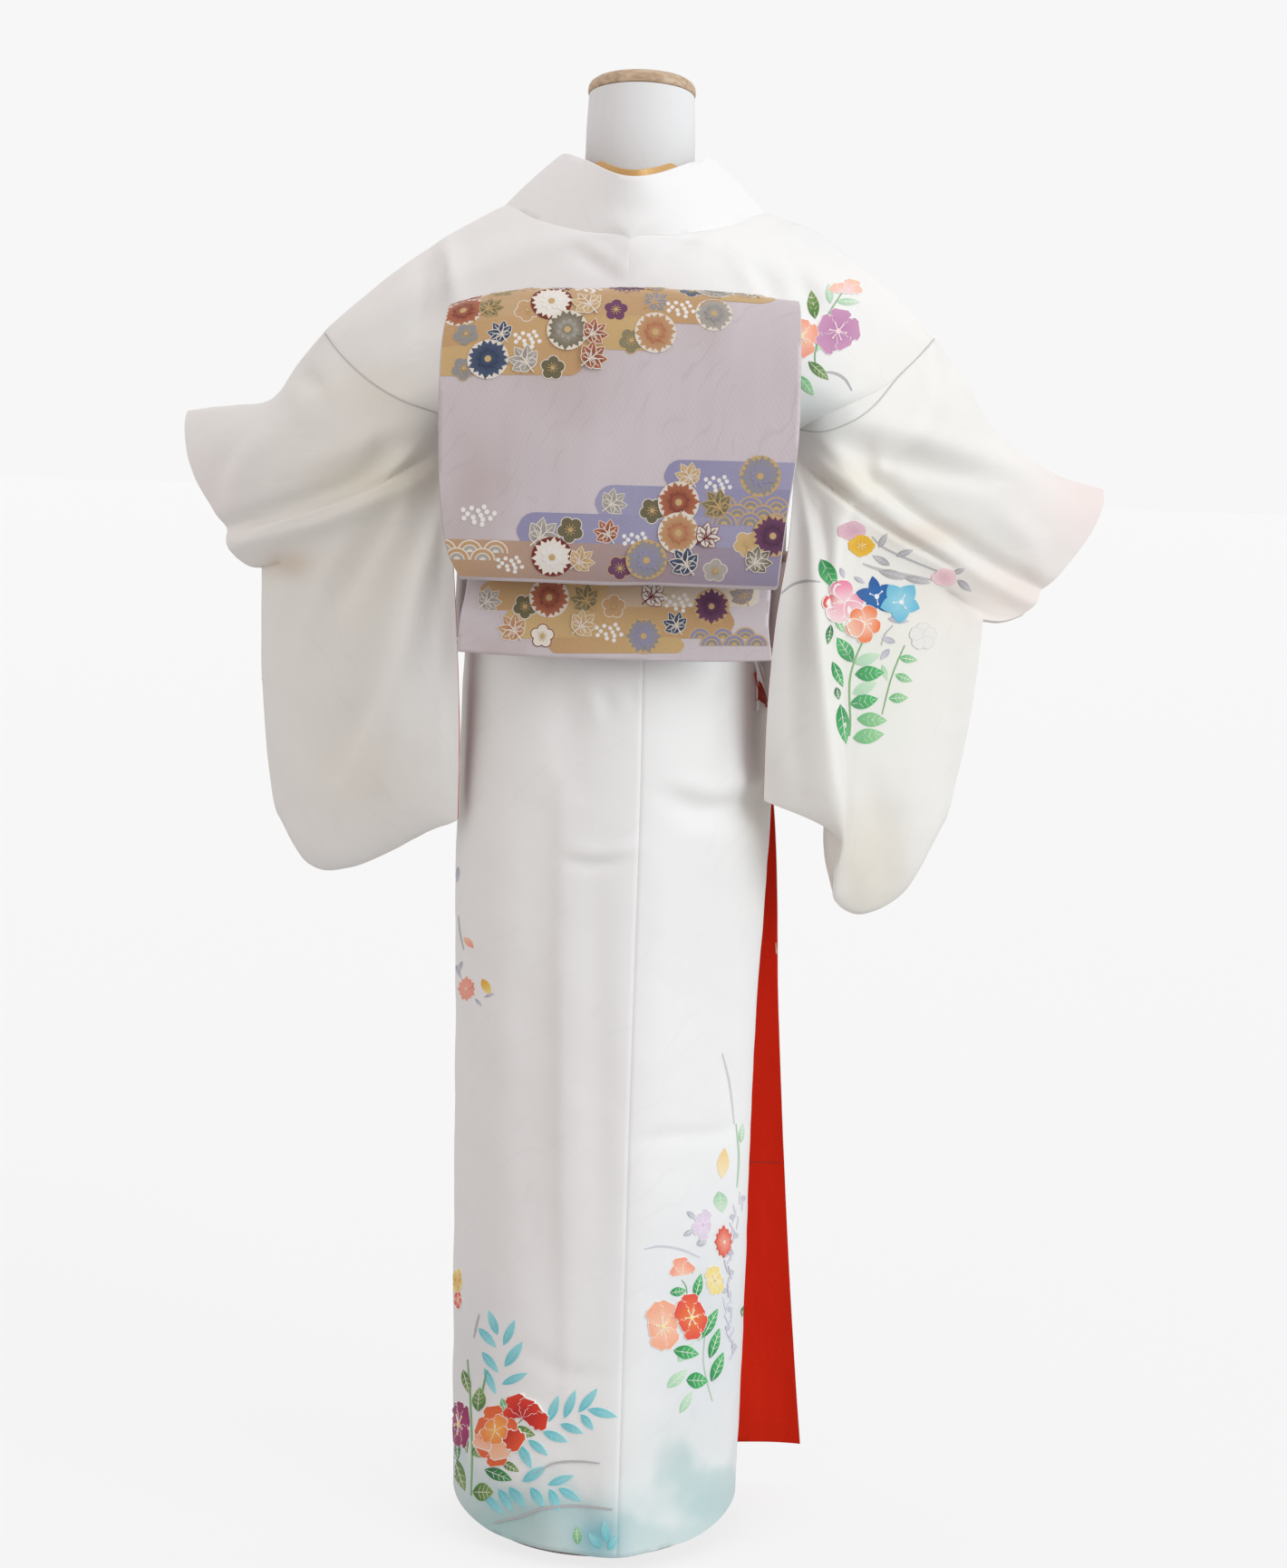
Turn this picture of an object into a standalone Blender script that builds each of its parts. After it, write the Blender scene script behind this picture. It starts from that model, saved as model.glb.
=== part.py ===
# Homongi kimono with a drum-knot obi, worn by a limbless dress form on a stand.
# Metres, +Z up. The garment's back faces -Y and the wearer's left is -X.
# The origin is the middle of the stand base's underside.

import math
from collections import namedtuple

import bmesh
import bpy
from mathutils import Matrix, Vector

# Cloth thicknesses and the gap at every seam
CLOTH = 0.0016
COLLAR_CLOTH = 0.0022
GOLD_CLOTH = 0.0012
OBI_CLOTH = 0.0024
SEAM = 0.0003
ARMHOLE_SEAM = 0.0004
LAYER_GAP = 0.0006
CORD_GAP = 0.0013
GOLD_GAP = 0.0014

# Body panels below the waist
WAIST = 0.868
SIDE_SEAM_ANGLE = math.radians(115)
BACK_SEAM_ANGLE = math.radians(9)
INNER_FRONT_END = math.radians(208)
FLAP_LEAVES_AT_WAIST = math.radians(138)
FLAP_LEAVES_AT_HEM = math.radians(152)
FLAP_EDGE_AT_WAIST = math.radians(128)
FRONT_TUCK = 0.0075

# Heights of the obi and of what is tied over it
OBI_BOTTOM = 0.845
OBI_TOP = 1.005
OBI_INNER = 0.005
OBI_OUTER = 0.009
CORD_HEIGHT = 0.925
TUCK_BOTTOM = 0.797

# Sleeve: real cut 490 mm tall and 330 mm wide, a tube with a 200 mm cuff mouth
SLEEVE_ARM_STEPS = 14
SLEEVE_FRONT_STEPS = 10
ROLL_STEPS = 2
BAG_STEPS = 8

# Dress form and stand
NECK_X = 0.006
NECK_TOP = 1.338
BASE_RADIUS = 0.105
BASE_THICK = 0.012
POLE_RADIUS = 0.0125

# Half widths to the wearer's left and right and depths to back and front, by height
Girth = namedtuple("Girth", "height left right back front keel")
GIRTHS = (
    Girth(0.00, 0.1365, 0.1335, 0.131, 0.118, 0.0100),
    Girth(0.20, 0.1405, 0.1365, 0.128, 0.120, 0.0070),
    Girth(0.45, 0.1440, 0.1370, 0.126, 0.122, 0.0050),
    Girth(0.62, 0.1475, 0.1430, 0.125, 0.123, 0.0040),
    Girth(0.70, 0.1468, 0.1465, 0.124, 0.122, 0.0035),
    Girth(0.78, 0.1450, 0.1425, 0.121, 0.119, 0.0030),
    Girth(0.85, 0.1425, 0.1400, 0.118, 0.116, 0.0010),
    Girth(0.92, 0.1410, 0.1400, 0.116, 0.114, 0.0000),
    Girth(1.00, 0.1410, 0.1405, 0.115, 0.116, 0.0000),
    Girth(1.10, 0.1450, 0.1460, 0.115, 0.121, 0.0000),
)
KEEL_HALF_ANGLE = math.radians(13)

# Height of the hem by angle from the centre back, and of the free edge of the outer front
Hem = namedtuple("Hem", "angle height")
HEM = (Hem(0, 0.0135), Hem(45, 0.0175), Hem(90, 0.034), Hem(135, 0.040), Hem(180, 0.036), Hem(250, 0.034))
FREE_EDGE_HEM = 0.041

# Where the outer front's free edge stands, by height
FreeEdge = namedtuple("FreeEdge", "height x y")
FREE_EDGE = (
    FreeEdge(0.000, 0.2060, 0.100),
    FreeEdge(0.110, 0.1945, 0.098),
    FreeEdge(0.280, 0.1790, 0.090),
    FreeEdge(0.480, 0.1640, 0.080),
    FreeEdge(0.690, 0.1510, 0.074),
    FreeEdge(0.750, 0.1330, 0.073),
    FreeEdge(0.870, 0.1110, 0.072),
)

# Large soft troughs and ridges of the skirt, between two places on its girth
Fold = namedtuple("Fold", "angle_top height_top angle_low height_low width depth")
SKIRT_FOLDS = (
    Fold(-42, 0.80, -34, 0.20, 0.030, 0.0030),
    Fold(-68, 0.62, -58, 0.05, 0.026, -0.0025),
    Fold(28, 0.705, 84, 0.690, 0.018, -0.0040),
    Fold(50, 0.60, 40, 0.10, 0.030, -0.0030),
    Fold(-22, 0.85, -14, 0.72, 0.016, -0.0030),
    Fold(48, 0.85, 44, 0.73, 0.016, -0.0030),
)

# Body panel rows from the back waist over the shoulder to the front waist.
# inner: seam with the other half, or with the collar. outer: side edge or armhole seam.
Row = namedtuple("Row", "name ix iy iz ox oy oz swell facing wrap")
BODY_ROWS = (
    Row("back waist", 0.000, -0.117, 0.874, 0.1410, -0.006, 0.874, 0.000, 0, 1.00),
    Row("back under obi", 0.000, -0.1155, 0.985, 0.1408, -0.008, 0.985, 0.000, 0, 1.00),
    Row("back underarm", 0.000, -0.1150, 1.034, 0.1470, -0.036, 1.028, 0.000, 0, 0.85),
    Row("low blade", 0.000, -0.115, 1.075, 0.1640, -0.074, 1.044, 0.006, 10, 0.40),
    Row("high blade", 0.000, -0.114, 1.120, 0.1930, -0.075, 1.056, 0.010, 20, 0.15),
    Row("low yoke", 0.000, -0.110, 1.165, 0.2240, -0.052, 1.070, 0.013, 35, 0.00),
    Row("nape seam", 0.000, -0.105, 1.202, 0.2480, -0.030, 1.089, 0.014, 50, 0.00),
    Row("neckline", 0.042, -0.090, 1.209, 0.2650, -0.014, 1.106, 0.013, 62, 0.00),
    Row("neckline side", 0.082, -0.056, 1.220, 0.2740, -0.005, 1.114, 0.011, 75, 0.00),
    Row("shoulder", 0.116, -0.002, 1.236, 0.2780, 0.002, 1.1185, 0.010, 90, 0.00),
    Row("front shoulder", 0.106, 0.044, 1.206, 0.2680, 0.026, 1.110, 0.011, 110, 0.00),
    Row("front yoke", 0.090, 0.080, 1.166, 0.2360, 0.052, 1.088, 0.012, 130, 0.00),
    Row("high chest", 0.062, 0.107, 1.121, 0.1940, 0.070, 1.064, 0.010, 150, 0.15),
    Row("chest", 0.022, 0.120, 1.078, 0.1630, 0.062, 1.048, 0.004, 170, 0.40),
    Row("front underarm", -0.033, 0.1155, 1.038, 0.1470, 0.020, 1.030, 0.000, 180, 0.85),
    Row("front under obi", -0.080, 0.0945, 0.985, 0.1408, 0.006, 0.985, 0.000, 180, 1.00),
    Row("front waist", -0.095, 0.087, 0.874, 0.1410, 0.006, 0.874, 0.000, 180, 1.00),
)
ROW_NAMES = [row.name for row in BODY_ROWS]
BODY_COLUMNS = 8
ROW_SPLIT = 2

# How far the wearer's right shoulder stands higher and its neckline further out than the left
Lean = namedtuple("Lean", "rise shift")
RIGHT_LEAN = {
    "low blade": Lean(0.004, 0.000),
    "high blade": Lean(0.008, 0.000),
    "low yoke": Lean(0.010, 0.000),
    "nape seam": Lean(0.010, 0.000),
    "neckline": Lean(0.009, 0.004),
    "neckline side": Lean(0.009, 0.006),
    "shoulder": Lean(0.009, 0.007),
    "front shoulder": Lean(0.009, 0.006),
    "front yoke": Lean(0.007, 0.003),
    "high chest": Lean(0.004, 0.000),
}
NO_LEAN = Lean(0.0, 0.0)

# Folded top edge of the collar beside the rows that it is sewn to
Edge = namedtuple("Edge", "row x y z tuck")
COLLAR_EDGE = (
    Edge("nape seam", 0.000, -0.110, 1.2515, 0.0),
    Edge("neckline", 0.024, -0.084, 1.2630, 0.0),
    Edge("neckline side", 0.045, -0.048, 1.2755, 0.0),
    Edge("shoulder", 0.066, 0.000, 1.2830, 0.0),
    Edge("front shoulder", 0.060, 0.044, 1.2600, 0.15),
    Edge("front yoke", 0.046, 0.080, 1.2120, 0.5),
    Edge("high chest", 0.020, 0.108, 1.1630, 1.0),
    Edge("chest", -0.020, 0.119, 1.1200, 1.0),
    Edge("front underarm", -0.076, 0.104, 1.0740, 1.0),
    Edge("front under obi", -0.1165, 0.0640, 1.0100, 1.0),
)
GOLD_SHOWS = 0.0065
GOLD_HIDDEN = 0.018

# Sleeve sections across its width. roll: low edge of the roll under the arm tube.
# bag: top of the hanging bag behind the roll. hem: lowest point. x is outward.
Section = namedtuple(
    "Section",
    "top_x top_y top_z roll_x roll_y roll_z bag_x bag_y bag_z hem_x hem_y hem_z "
    "belly facing bag_facing hem_facing arm_gap bag_gap hem_gap",
)
LEFT_SECTIONS = (
    Section(
        .305, .030, 1.090, .205, -.066, .974, .192, -.055, .962, .172, -.040, .664,
        .020, 20, 20, 20, .070, .018, .018,
    ),
    Section(
        .335, .070, 1.057, .262, -.028, .949, .249, -.016, .938, .217, .002, .638,
        .022, 40, 40, 40, .080, .024, .024,
    ),
    Section(
        .378, .132, 1.051, .312, .022, .929, .297, .030, .918, .262, .040, .615,
        .022, 48, 48, 48, .080, .024, .024,
    ),
    Section(
        .412, .182, 1.048, .345, .070, .914, .326, .068, .903, .300, .072, .612,
        .020, 52, 52, 52, .078, .020, .020,
    ),
    Section(
        .4385, .220, 1.045, .373, .116, .905, .347, .102, .897, .331, .102, .655,
        .018, 55, 55, 55, .075, .012, .012,
    ),
)
RIGHT_SECTIONS = (
    Section(
        .300, .020, 1.108, .198, -.072, .978, .184, -.080, .960, .203, -.108, .680,
        .022, 24, 10, 10, .065, .030, .036,
    ),
    Section(
        .315, .035, 1.090, .216, -.052, .966, .202, -.058, .955, .212, -.060, .640,
        .022, 30, 30, 66, .070, .020, .020,
    ),
    Section(
        .338, .065, 1.057, .243, -.020, .946, .232, -.014, .935, .218, -.006, .604,
        .022, 34, 34, 60, .078, .022, .022,
    ),
    Section(
        .372, .105, 1.032, .290, .028, .922, .278, .036, .912, .247, .020, .588,
        .022, 44, 44, 46, .080, .026, .026,
    ),
    Section(
        .420, .165, 1.008, .340, .078, .896, .318, .070, .888, .285, .050, .607,
        .020, 50, 50, 50, .078, .020, .020,
    ),
    Section(
        .4755, .220, .993, .389, .122, .872, .346, .086, .868, .318, .078, .668,
        .018, 52, 52, 52, .075, .012, .012,
    ),
)
SECTION_SPLIT = 2

# Free inner edges of each sleeve, from the underarm down to the bottom corner
Point = namedtuple("Point", "x y z")
LEFT_FURI_BACK = (
    Point(.1530, -.050, 1.006), Point(.154, -.062, .940), Point(.148, -.066, .850), Point(.143, -.067, .770),
    Point(.1427, -.060, .6786),
)
LEFT_FURI_FRONT = (
    Point(.1545, .006, 1.010), Point(.159, -.030, .940), Point(.158, -.038, .850), Point(.155, -.041, .770),
    Point(.151, -.046, .705), Point(.1427, -.060, .6786),
)
RIGHT_FURI_BACK = (
    Point(.1530, -.050, 1.006), Point(.150, -.076, .940), Point(.140, -.092, .870), Point(.135, -.094, .790),
    Point(.135, -.083, .708),
)
RIGHT_FURI_FRONT = (
    Point(.1545, .006, 1.010), Point(.159, -.032, .940), Point(.153, -.050, .870), Point(.149, -.060, .790),
    Point(.144, -.068, .735), Point(.135, -.083, .708),
)

# Drum knot of the obi: its path seen from the side, with its left and right edges
Wrap = namedtuple("Wrap", "y z left right left_drop right_drop")
DRUM_PATH = (
    Wrap(-0.1215, 1.075, -0.140, 0.138, 0.000, 0.000),
    Wrap(-0.1225, 1.120, -0.146, 0.142, 0.004, 0.002),
    Wrap(-0.1360, 1.146, -0.150, 0.145, 0.014, 0.004),
    Wrap(-0.1600, 1.156, -0.151, 0.146, 0.018, 0.005),
    Wrap(-0.1840, 1.144, -0.153, 0.147, 0.016, 0.004),
    Wrap(-0.1980, 1.100, -0.156, 0.148, 0.006, 0.001),
    Wrap(-0.2040, 1.030, -0.156, 0.148, 0.000, 0.000),
    Wrap(-0.2050, 0.970, -0.153, 0.141, 0.000, 0.000),
    Wrap(-0.2020, 0.930, -0.147, 0.137, 0.000, 0.000),
    Wrap(-0.1930, 0.9055, -0.136, 0.135, 0.000, 0.000),
    Wrap(-0.1810, 0.909, -0.138, 0.133, 0.000, 0.000),
    Wrap(-0.1745, 0.935, -0.140, 0.132, 0.000, 0.000),
    Wrap(-0.1730, 0.985, -0.140, 0.132, 0.000, 0.000),
)
PAD_Y = -0.1560
PAD_Z = 1.1250
PAD_HALF_DEPTH = 0.0255
PAD_HALF_HEIGHT = 0.0265
CORD_BEHIND = ((0.1300, -0.1000), (0.1365, -0.1250), (0.1368, -0.1500), (0.1260, -0.1690), (0.0800, -0.1700))
TAIL_PATH = (
    Wrap(-0.1243, 1.086, -0.132, 0.128, 0.0, 0.0),
    Wrap(-0.1243, 1.000, -0.134, 0.131, 0.0, 0.0),
    Wrap(-0.1370, 0.945, -0.130, 0.130, 0.0, 0.0),
    Wrap(-0.1490, 0.900, -0.132, 0.131, 0.0, 0.0),
    Wrap(-0.1545, 0.870, -0.137, 0.130, 0.0, 0.0),
    Wrap(-0.1560, 0.838, -0.1395, 0.134, -0.003, -0.003),
)

# Dress form sections: half width, half depth, middle in y
Bust = namedtuple("Bust", "height half_width half_depth x y")
BUST = (
    Bust(0.735, 0.120, 0.095, 0.000, -0.002),
    Bust(0.745, 0.128, 0.103, 0.000, -0.002),
    Bust(0.800, 0.1330, 0.1085, 0.000, -0.003),
    Bust(0.870, 0.1315, 0.1100, 0.000, -0.0045),
    Bust(0.940, 0.1300, 0.1092, 0.000, -0.0040),
    Bust(1.000, 0.1265, 0.1040, 0.000, -0.0040),
    Bust(1.040, 0.1250, 0.0980, 0.000, -0.002),
    Bust(1.090, 0.132, 0.090, 0.001, 0.001),
    Bust(1.135, 0.145, 0.076, 0.002, 0.000),
    Bust(1.165, 0.150, 0.062, 0.003, 0.000),
    Bust(1.190, 0.136, 0.054, 0.004, 0.002),
    Bust(1.210, 0.108, 0.050, 0.005, 0.004),
    Bust(1.228, 0.074, 0.048, 0.006, 0.006),
    Bust(1.246, 0.056, 0.047, 0.006, 0.008),
    Bust(1.275, 0.0505, 0.047, 0.006, 0.009),
    Bust(1.310, 0.0495, 0.046, 0.006, 0.009),
)
NECK_TILT = math.radians(10)


def smooth(value):
    """Ease a value from 0 to 1."""
    value = min(max(value, 0.0), 1.0)
    return value * value * (3.0 - 2.0 * value)


def read(table, key, field):
    """Read a field of a table at a key of its first column, on a smooth curve."""
    keys = [row[0] for row in table]
    values = [getattr(row, field) for row in table]
    last = len(keys) - 1
    key = min(max(key, keys[0]), keys[last])
    place = max(i for i in range(last) if keys[i] <= key)

    def slope(i):
        low, high = max(i - 1, 0), min(i + 1, last)
        return (values[high] - values[low]) / (keys[high] - keys[low])

    span = keys[place + 1] - keys[place]
    t = (key - keys[place]) / span
    start, end = values[place], values[place + 1]
    rise_start, rise_end = slope(place) * span, slope(place + 1) * span
    return (
        start * (2 * t**3 - 3 * t**2 + 1)
        + rise_start * (t**3 - 2 * t**2 + t)
        + end * (3 * t**2 - 2 * t**3)
        + rise_end * (t**3 - t**2)
    )


def refine(points, split):
    """Put split steps between neighbours, on a smooth curve through them all."""
    result = []
    last = len(points) - 1
    for i in range(last):
        p1, p2 = points[i], points[i + 1]
        p0 = points[i - 1] if i else p1 * 2 - p2
        p3 = points[i + 2] if i + 2 <= last else p2 * 2 - p1
        for step in range(split):
            t = step / split
            bend = p0 * 2 - p1 * 5 + p2 * 4 - p3
            twist = p1 * 3 - p0 - p2 * 3 + p3
            result.append((p1 * 2 + (p2 - p0) * t + bend * t**2 + twist * t**3) / 2)
    result.append(points[last].copy())
    return result


def refine_rows(grid, split):
    """Add rows between the rows of a grid."""
    columns = [refine([row[c] for row in grid], split) for c in range(len(grid[0]))]
    return [[column[r] for column in columns] for r in range(len(columns[0]))]


def along(points, shares):
    """Points at shares of the length of a smooth curve."""
    curve = refine(points, 12)
    lengths = [0.0]
    for a, b in zip(curve, curve[1:]):
        lengths.append(lengths[-1] + (b - a).length)
    result = []
    for share in shares:
        want = lengths[-1] * share
        place = max(i for i in range(len(curve) - 1) if lengths[i] <= want or not i)
        span = lengths[place + 1] - lengths[place]
        result.append(curve[place].lerp(curve[place + 1], (want - lengths[place]) / span))
    return result


def normals_of(grid, closed=False, flip=False):
    """Unit normals of a grid of points, from its neighbours along and across."""
    rows, columns = len(grid), len(grid[0])
    result = []
    for r in range(rows):
        line = []
        for c in range(columns):
            before = grid[r][(c - 1) % columns] if closed else grid[r][max(c - 1, 0)]
            after = grid[r][(c + 1) % columns] if closed else grid[r][min(c + 1, columns - 1)]
            down = grid[min(r + 1, rows - 1)][c] - grid[max(r - 1, 0)][c]
            normal = (after - before).cross(down).normalized()
            line.append(-normal if flip else normal)
        result.append(line)
    return result


def moved(grid, normals, distance):
    """The grid moved along its normals."""
    return [[p + n * distance for p, n in zip(line, ns)] for line, ns in zip(grid, normals)]


def material(name, color, roughness, metallic=0.0):
    """A plain material that pieces share."""
    found = bpy.data.materials.get(name)
    if found:
        return found
    made = bpy.data.materials.new(name)
    made.use_nodes = True
    shader = made.node_tree.nodes["Principled BSDF"]
    shader.inputs["Base Color"].default_value = (*color, 1.0)
    shader.inputs["Roughness"].default_value = roughness
    shader.inputs["Metallic"].default_value = metallic
    return made


def add_piece(name, points, faces, finish):
    """Make one closed solid out of points and faces, with its faces pointing out."""
    mesh = bpy.data.meshes.new(name)
    mesh.from_pydata([tuple(p) for p in points], [], faces)
    work = bmesh.new()
    work.from_mesh(mesh)
    bmesh.ops.recalc_face_normals(work, faces=work.faces)
    work.to_mesh(mesh)
    work.free()
    mesh.materials.append(finish)
    mesh.shade_smooth()
    mesh.set_sharp_from_angle(angle=math.radians(40))
    piece = bpy.data.objects.new(name, mesh)
    bpy.context.scene.collection.objects.link(piece)
    return piece


def add_wall_cell(faces, cell, half):
    """Two triangles on the outer side of a wall and the same two on its inner side."""
    a, b, c, d = cell
    for corner in ((a, b, c), (a, c, d)):
        faces.append(corner)
        faces.append(tuple(half + i for i in reversed(corner)))


def shell(name, outer, inner, finish, closed=False):
    """A wall between two grids of the same size; closed grids wrap round their columns."""
    rows, columns = len(outer), len(outer[0])
    points = [p for line in outer for p in line] + [p for line in inner for p in line]
    half = rows * columns
    faces = []

    def at(r, c):
        return r * columns + c % columns

    for r in range(rows - 1):
        for c in range(columns if closed else columns - 1):
            add_wall_cell(faces, (at(r, c), at(r, c + 1), at(r + 1, c + 1), at(r + 1, c)), half)
    for r in (0, rows - 1):
        for c in range(columns if closed else columns - 1):
            faces.append((at(r, c), half + at(r, c), half + at(r, c + 1), at(r, c + 1)))
    if not closed:
        for c in (0, columns - 1):
            for r in range(rows - 1):
                faces.append((at(r, c), at(r + 1, c), half + at(r + 1, c), half + at(r, c)))
    return add_piece(name, points, faces, finish)


def lathe(name, sections, finish, steps=28):
    """A closed solid through level rings, each a list of points, with flat ends."""
    points = [p for ring in sections for p in ring]
    faces = []
    for r in range(len(sections) - 1):
        for c in range(steps):
            d = (c + 1) % steps
            faces.append((r * steps + c, r * steps + d, (r + 1) * steps + d, (r + 1) * steps + c))
    faces.append(tuple(range(steps)))
    faces.append(tuple((len(sections) - 1) * steps + c for c in range(steps)))
    return add_piece(name, points, faces, finish)


def ellipse(x, y, z, half_width, half_depth, steps=28):
    """A level ring of points."""
    turn = [math.tau * i / steps for i in range(steps)]
    return [Vector((x + half_width * math.cos(a), y + half_depth * math.sin(a), z)) for a in turn]


# Girth of the wrapped garment

def fold_relief(angle, height):
    """How far the skirt's large folds stand out at a place on its girth."""
    radius = 0.137
    place = Vector((angle * radius, height))
    total = 0.0
    for fold in SKIRT_FOLDS:
        top = Vector((math.radians(fold.angle_top) * radius, fold.height_top))
        low = Vector((math.radians(fold.angle_low) * radius, fold.height_low))
        run = low - top
        t = min(max((place - top).dot(run) / run.length_squared, 0.0), 1.0)
        away = (place - top - run * t).length
        fade = math.sin(math.pi * (0.08 + 0.84 * t)) ** 0.5
        total += fold.depth * fade * math.exp(-((away / fold.width) ** 2))
    return total


def girth_point(angle, height, out=0.0):
    """A point of the wrapped body, by angle from the centre back towards +X."""
    sine, cosine = math.sin(angle), math.cos(angle)
    half = read(GIRTHS, height, "right" if sine > 0 else "left")
    depth = read(GIRTHS, height, "back" if cosine > 0 else "front")
    normal = Vector((sine / half, -cosine / depth, 0)).normalized()
    turn = (angle + math.pi) % math.tau - math.pi
    keel = read(GIRTHS, height, "keel") * math.exp(-(((turn - BACK_SEAM_ANGLE) / KEEL_HALF_ANGLE) ** 2))
    relief = keel + fold_relief(turn, height)
    return Vector((half * sine, -depth * cosine, height)) + normal * (out + relief)


def girth_angle(place, side):
    """Angle from the centre back of a place beside the girth, counted towards one side."""
    half = read(GIRTHS, place.z, "right" if place.x > 0 else "left")
    depth = read(GIRTHS, place.z, "back" if place.y < 0 else "front")
    return math.atan2(side * place.x / half, -place.y / depth) % math.tau


def hem_height(angle):
    """Height of the hem at an angle from the centre back."""
    return read(HEM, abs(math.degrees(angle)), "height")


def girth_panel(name, start, end, columns, rows, finish, top=WAIST, offset=lambda angle: 0.0, lift=0.0):
    """A skirt panel between two angles, from the waist to the hem."""
    outer, inner = [], []
    for r in range(rows + 1):
        outer_line, inner_line = [], []
        for c in range(columns + 1):
            angle = start + (end - start) * c / columns
            height = top + (hem_height(angle) + lift - top) * r / rows
            out = offset(angle)
            outer_line.append(girth_point(angle, height, out))
            inner_line.append(girth_point(angle, height, out - CLOTH))
        outer.append(outer_line)
        inner.append(inner_line)
    return shell(name, outer, inner, finish)


def inner_front_offset(angle):
    """The inner front dips under the outer front just past its side seam."""
    return -FRONT_TUCK * 0.6 * smooth((angle - SIDE_SEAM_ANGLE) / math.radians(16))


def outer_front(name, finish, wrap_columns=10, flap_columns=6, rows=14):
    """The outer front: wrapped round the front, then standing free to its edge."""
    start = math.tau - SIDE_SEAM_ANGLE - SEAM / 0.137
    held_share = (WAIST - TUCK_BOTTOM + 0.012) / (WAIST - FREE_EDGE_HEM)
    shares = [0.0, held_share * 0.5] + [held_share + (1 - held_share) * r / rows for r in range(rows + 1)]
    outer = []
    for t in shares:
        line = []
        leave = FLAP_LEAVES_AT_WAIST + (FLAP_LEAVES_AT_HEM - FLAP_LEAVES_AT_WAIST) * t
        for c in range(wrap_columns + 1):
            angle = start + (leave - start) * c / wrap_columns
            height = WAIST + (hem_height(angle) - WAIST) * t
            line.append(girth_point(angle, height))
        edge_height = WAIST + (FREE_EDGE_HEM - WAIST) * t
        edge = Vector((read(FREE_EDGE, edge_height, "x"), read(FREE_EDGE, edge_height, "y"), edge_height))
        base = line[-1]
        reach = (edge - base).length
        tangent = (line[-1] - line[-2]).normalized()
        side = Vector((1.0, -0.25, 0.0)).normalized()
        first, second = base + tangent * reach * 0.35, edge - side * reach * 0.35
        for c in range(1, flap_columns + 1):
            s = c / flap_columns
            free = base * (1 - s) ** 3 + first * 3 * s * (1 - s) ** 2
            free += second * 3 * s**2 * (1 - s) + edge * s**3
            held = girth_point(leave + (FLAP_EDGE_AT_WAIST - leave) * s, free.z)
            line.append(held.lerp(free, smooth((TUCK_BOTTOM - 0.011 - free.z) / 0.075)))
        outer.append(line)
    normals = normals_of(outer)
    seam = [girth_point(start, p.z, -CLOTH) - p for p in (line[0] for line in outer)]
    inner = moved(outer, normals, CLOTH)
    if (inner[0][0] - outer[0][0]).dot(seam[0]) < 0:
        inner = moved(outer, normals, -CLOTH)
    for line, first_line, step in zip(inner, outer, seam):
        line[0] = first_line[0] + step
    return shell(name, outer, inner, finish)


def skirt_panels():
    """Two backs, the inner front and the outer front, from the waist to the hem."""
    silk = material("silk", (0.86, 0.85, 0.83), 0.55)
    half_seam = SEAM / 2 / 0.130
    girth_panel("skirt_back_left", -SIDE_SEAM_ANGLE, BACK_SEAM_ANGLE - half_seam, 11, 15, silk)
    girth_panel("skirt_back_right", BACK_SEAM_ANGLE + half_seam, SIDE_SEAM_ANGLE, 11, 15, silk)
    start = SIDE_SEAM_ANGLE + SEAM / 0.137
    name = "skirt_inner_front_right"
    girth_panel(name, start, INNER_FRONT_END, 9, 12, silk, offset=inner_front_offset, lift=0.006)
    outer_front("skirt_outer_front_left", silk)


# Body panels above the waist, and the collar

def mirrored(x, y, z, side):
    """A point of a half garment, on the wearer's left (-1) or right (1)."""
    return Vector((x * side, y, z))


def tuck_of(name):
    """Share of the tuck by which the right side lies under the left."""
    for edge in COLLAR_EDGE:
        if edge.row == name:
            return edge.tuck
    return 1.0 if name == "front waist" else 0.0


def body_grid(side):
    """Rows of the body panel on one side, from the back waist to the front waist."""
    grid = []
    for row in BODY_ROWS:
        tuck = FRONT_TUCK * tuck_of(row.name) if side > 0 else 0.0
        lean = RIGHT_LEAN.get(row.name, NO_LEAN) if side > 0 else NO_LEAN
        inner = mirrored(row.ix + lean.shift, row.iy, row.iz, side)
        outer = mirrored(row.ox + lean.rise * 0.4, row.oy, row.oz + lean.rise, side)
        start = girth_angle(inner, side)
        end = girth_angle(outer, side)
        face = math.radians(row.facing)
        up = Vector((0, -math.cos(face), math.sin(face)))
        swell = row.swell * (1.6 if side > 0 and row.wrap == 0 else 1.0)
        round_start = girth_point(side * start, inner.z)
        round_end = girth_point(side * end, outer.z)
        line = []
        for c in range(BODY_COLUMNS + 1):
            u = c / BODY_COLUMNS
            flat = inner.lerp(outer, u) + up * swell * math.sin(math.pi * u) ** 0.8
            angle = start + (end - start) * u
            wrapped = girth_point(side * angle, inner.z + (outer.z - inner.z) * u)
            wrapped += (inner - round_start) * (1 - u) + (outer - round_end) * u
            point = flat.lerp(wrapped, row.wrap)
            inward = girth_point(side * angle, inner.z, -1.0) - girth_point(side * angle, inner.z)
            line.append(point + inward * tuck * (1 - smooth((u - 0.72) / 0.24)))
        grid.append(line)
    return refine_rows(grid, ROW_SPLIT)


def row_index(name):
    """Index of a named row once rows are split."""
    return ROW_NAMES.index(name) * ROW_SPLIT


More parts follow.
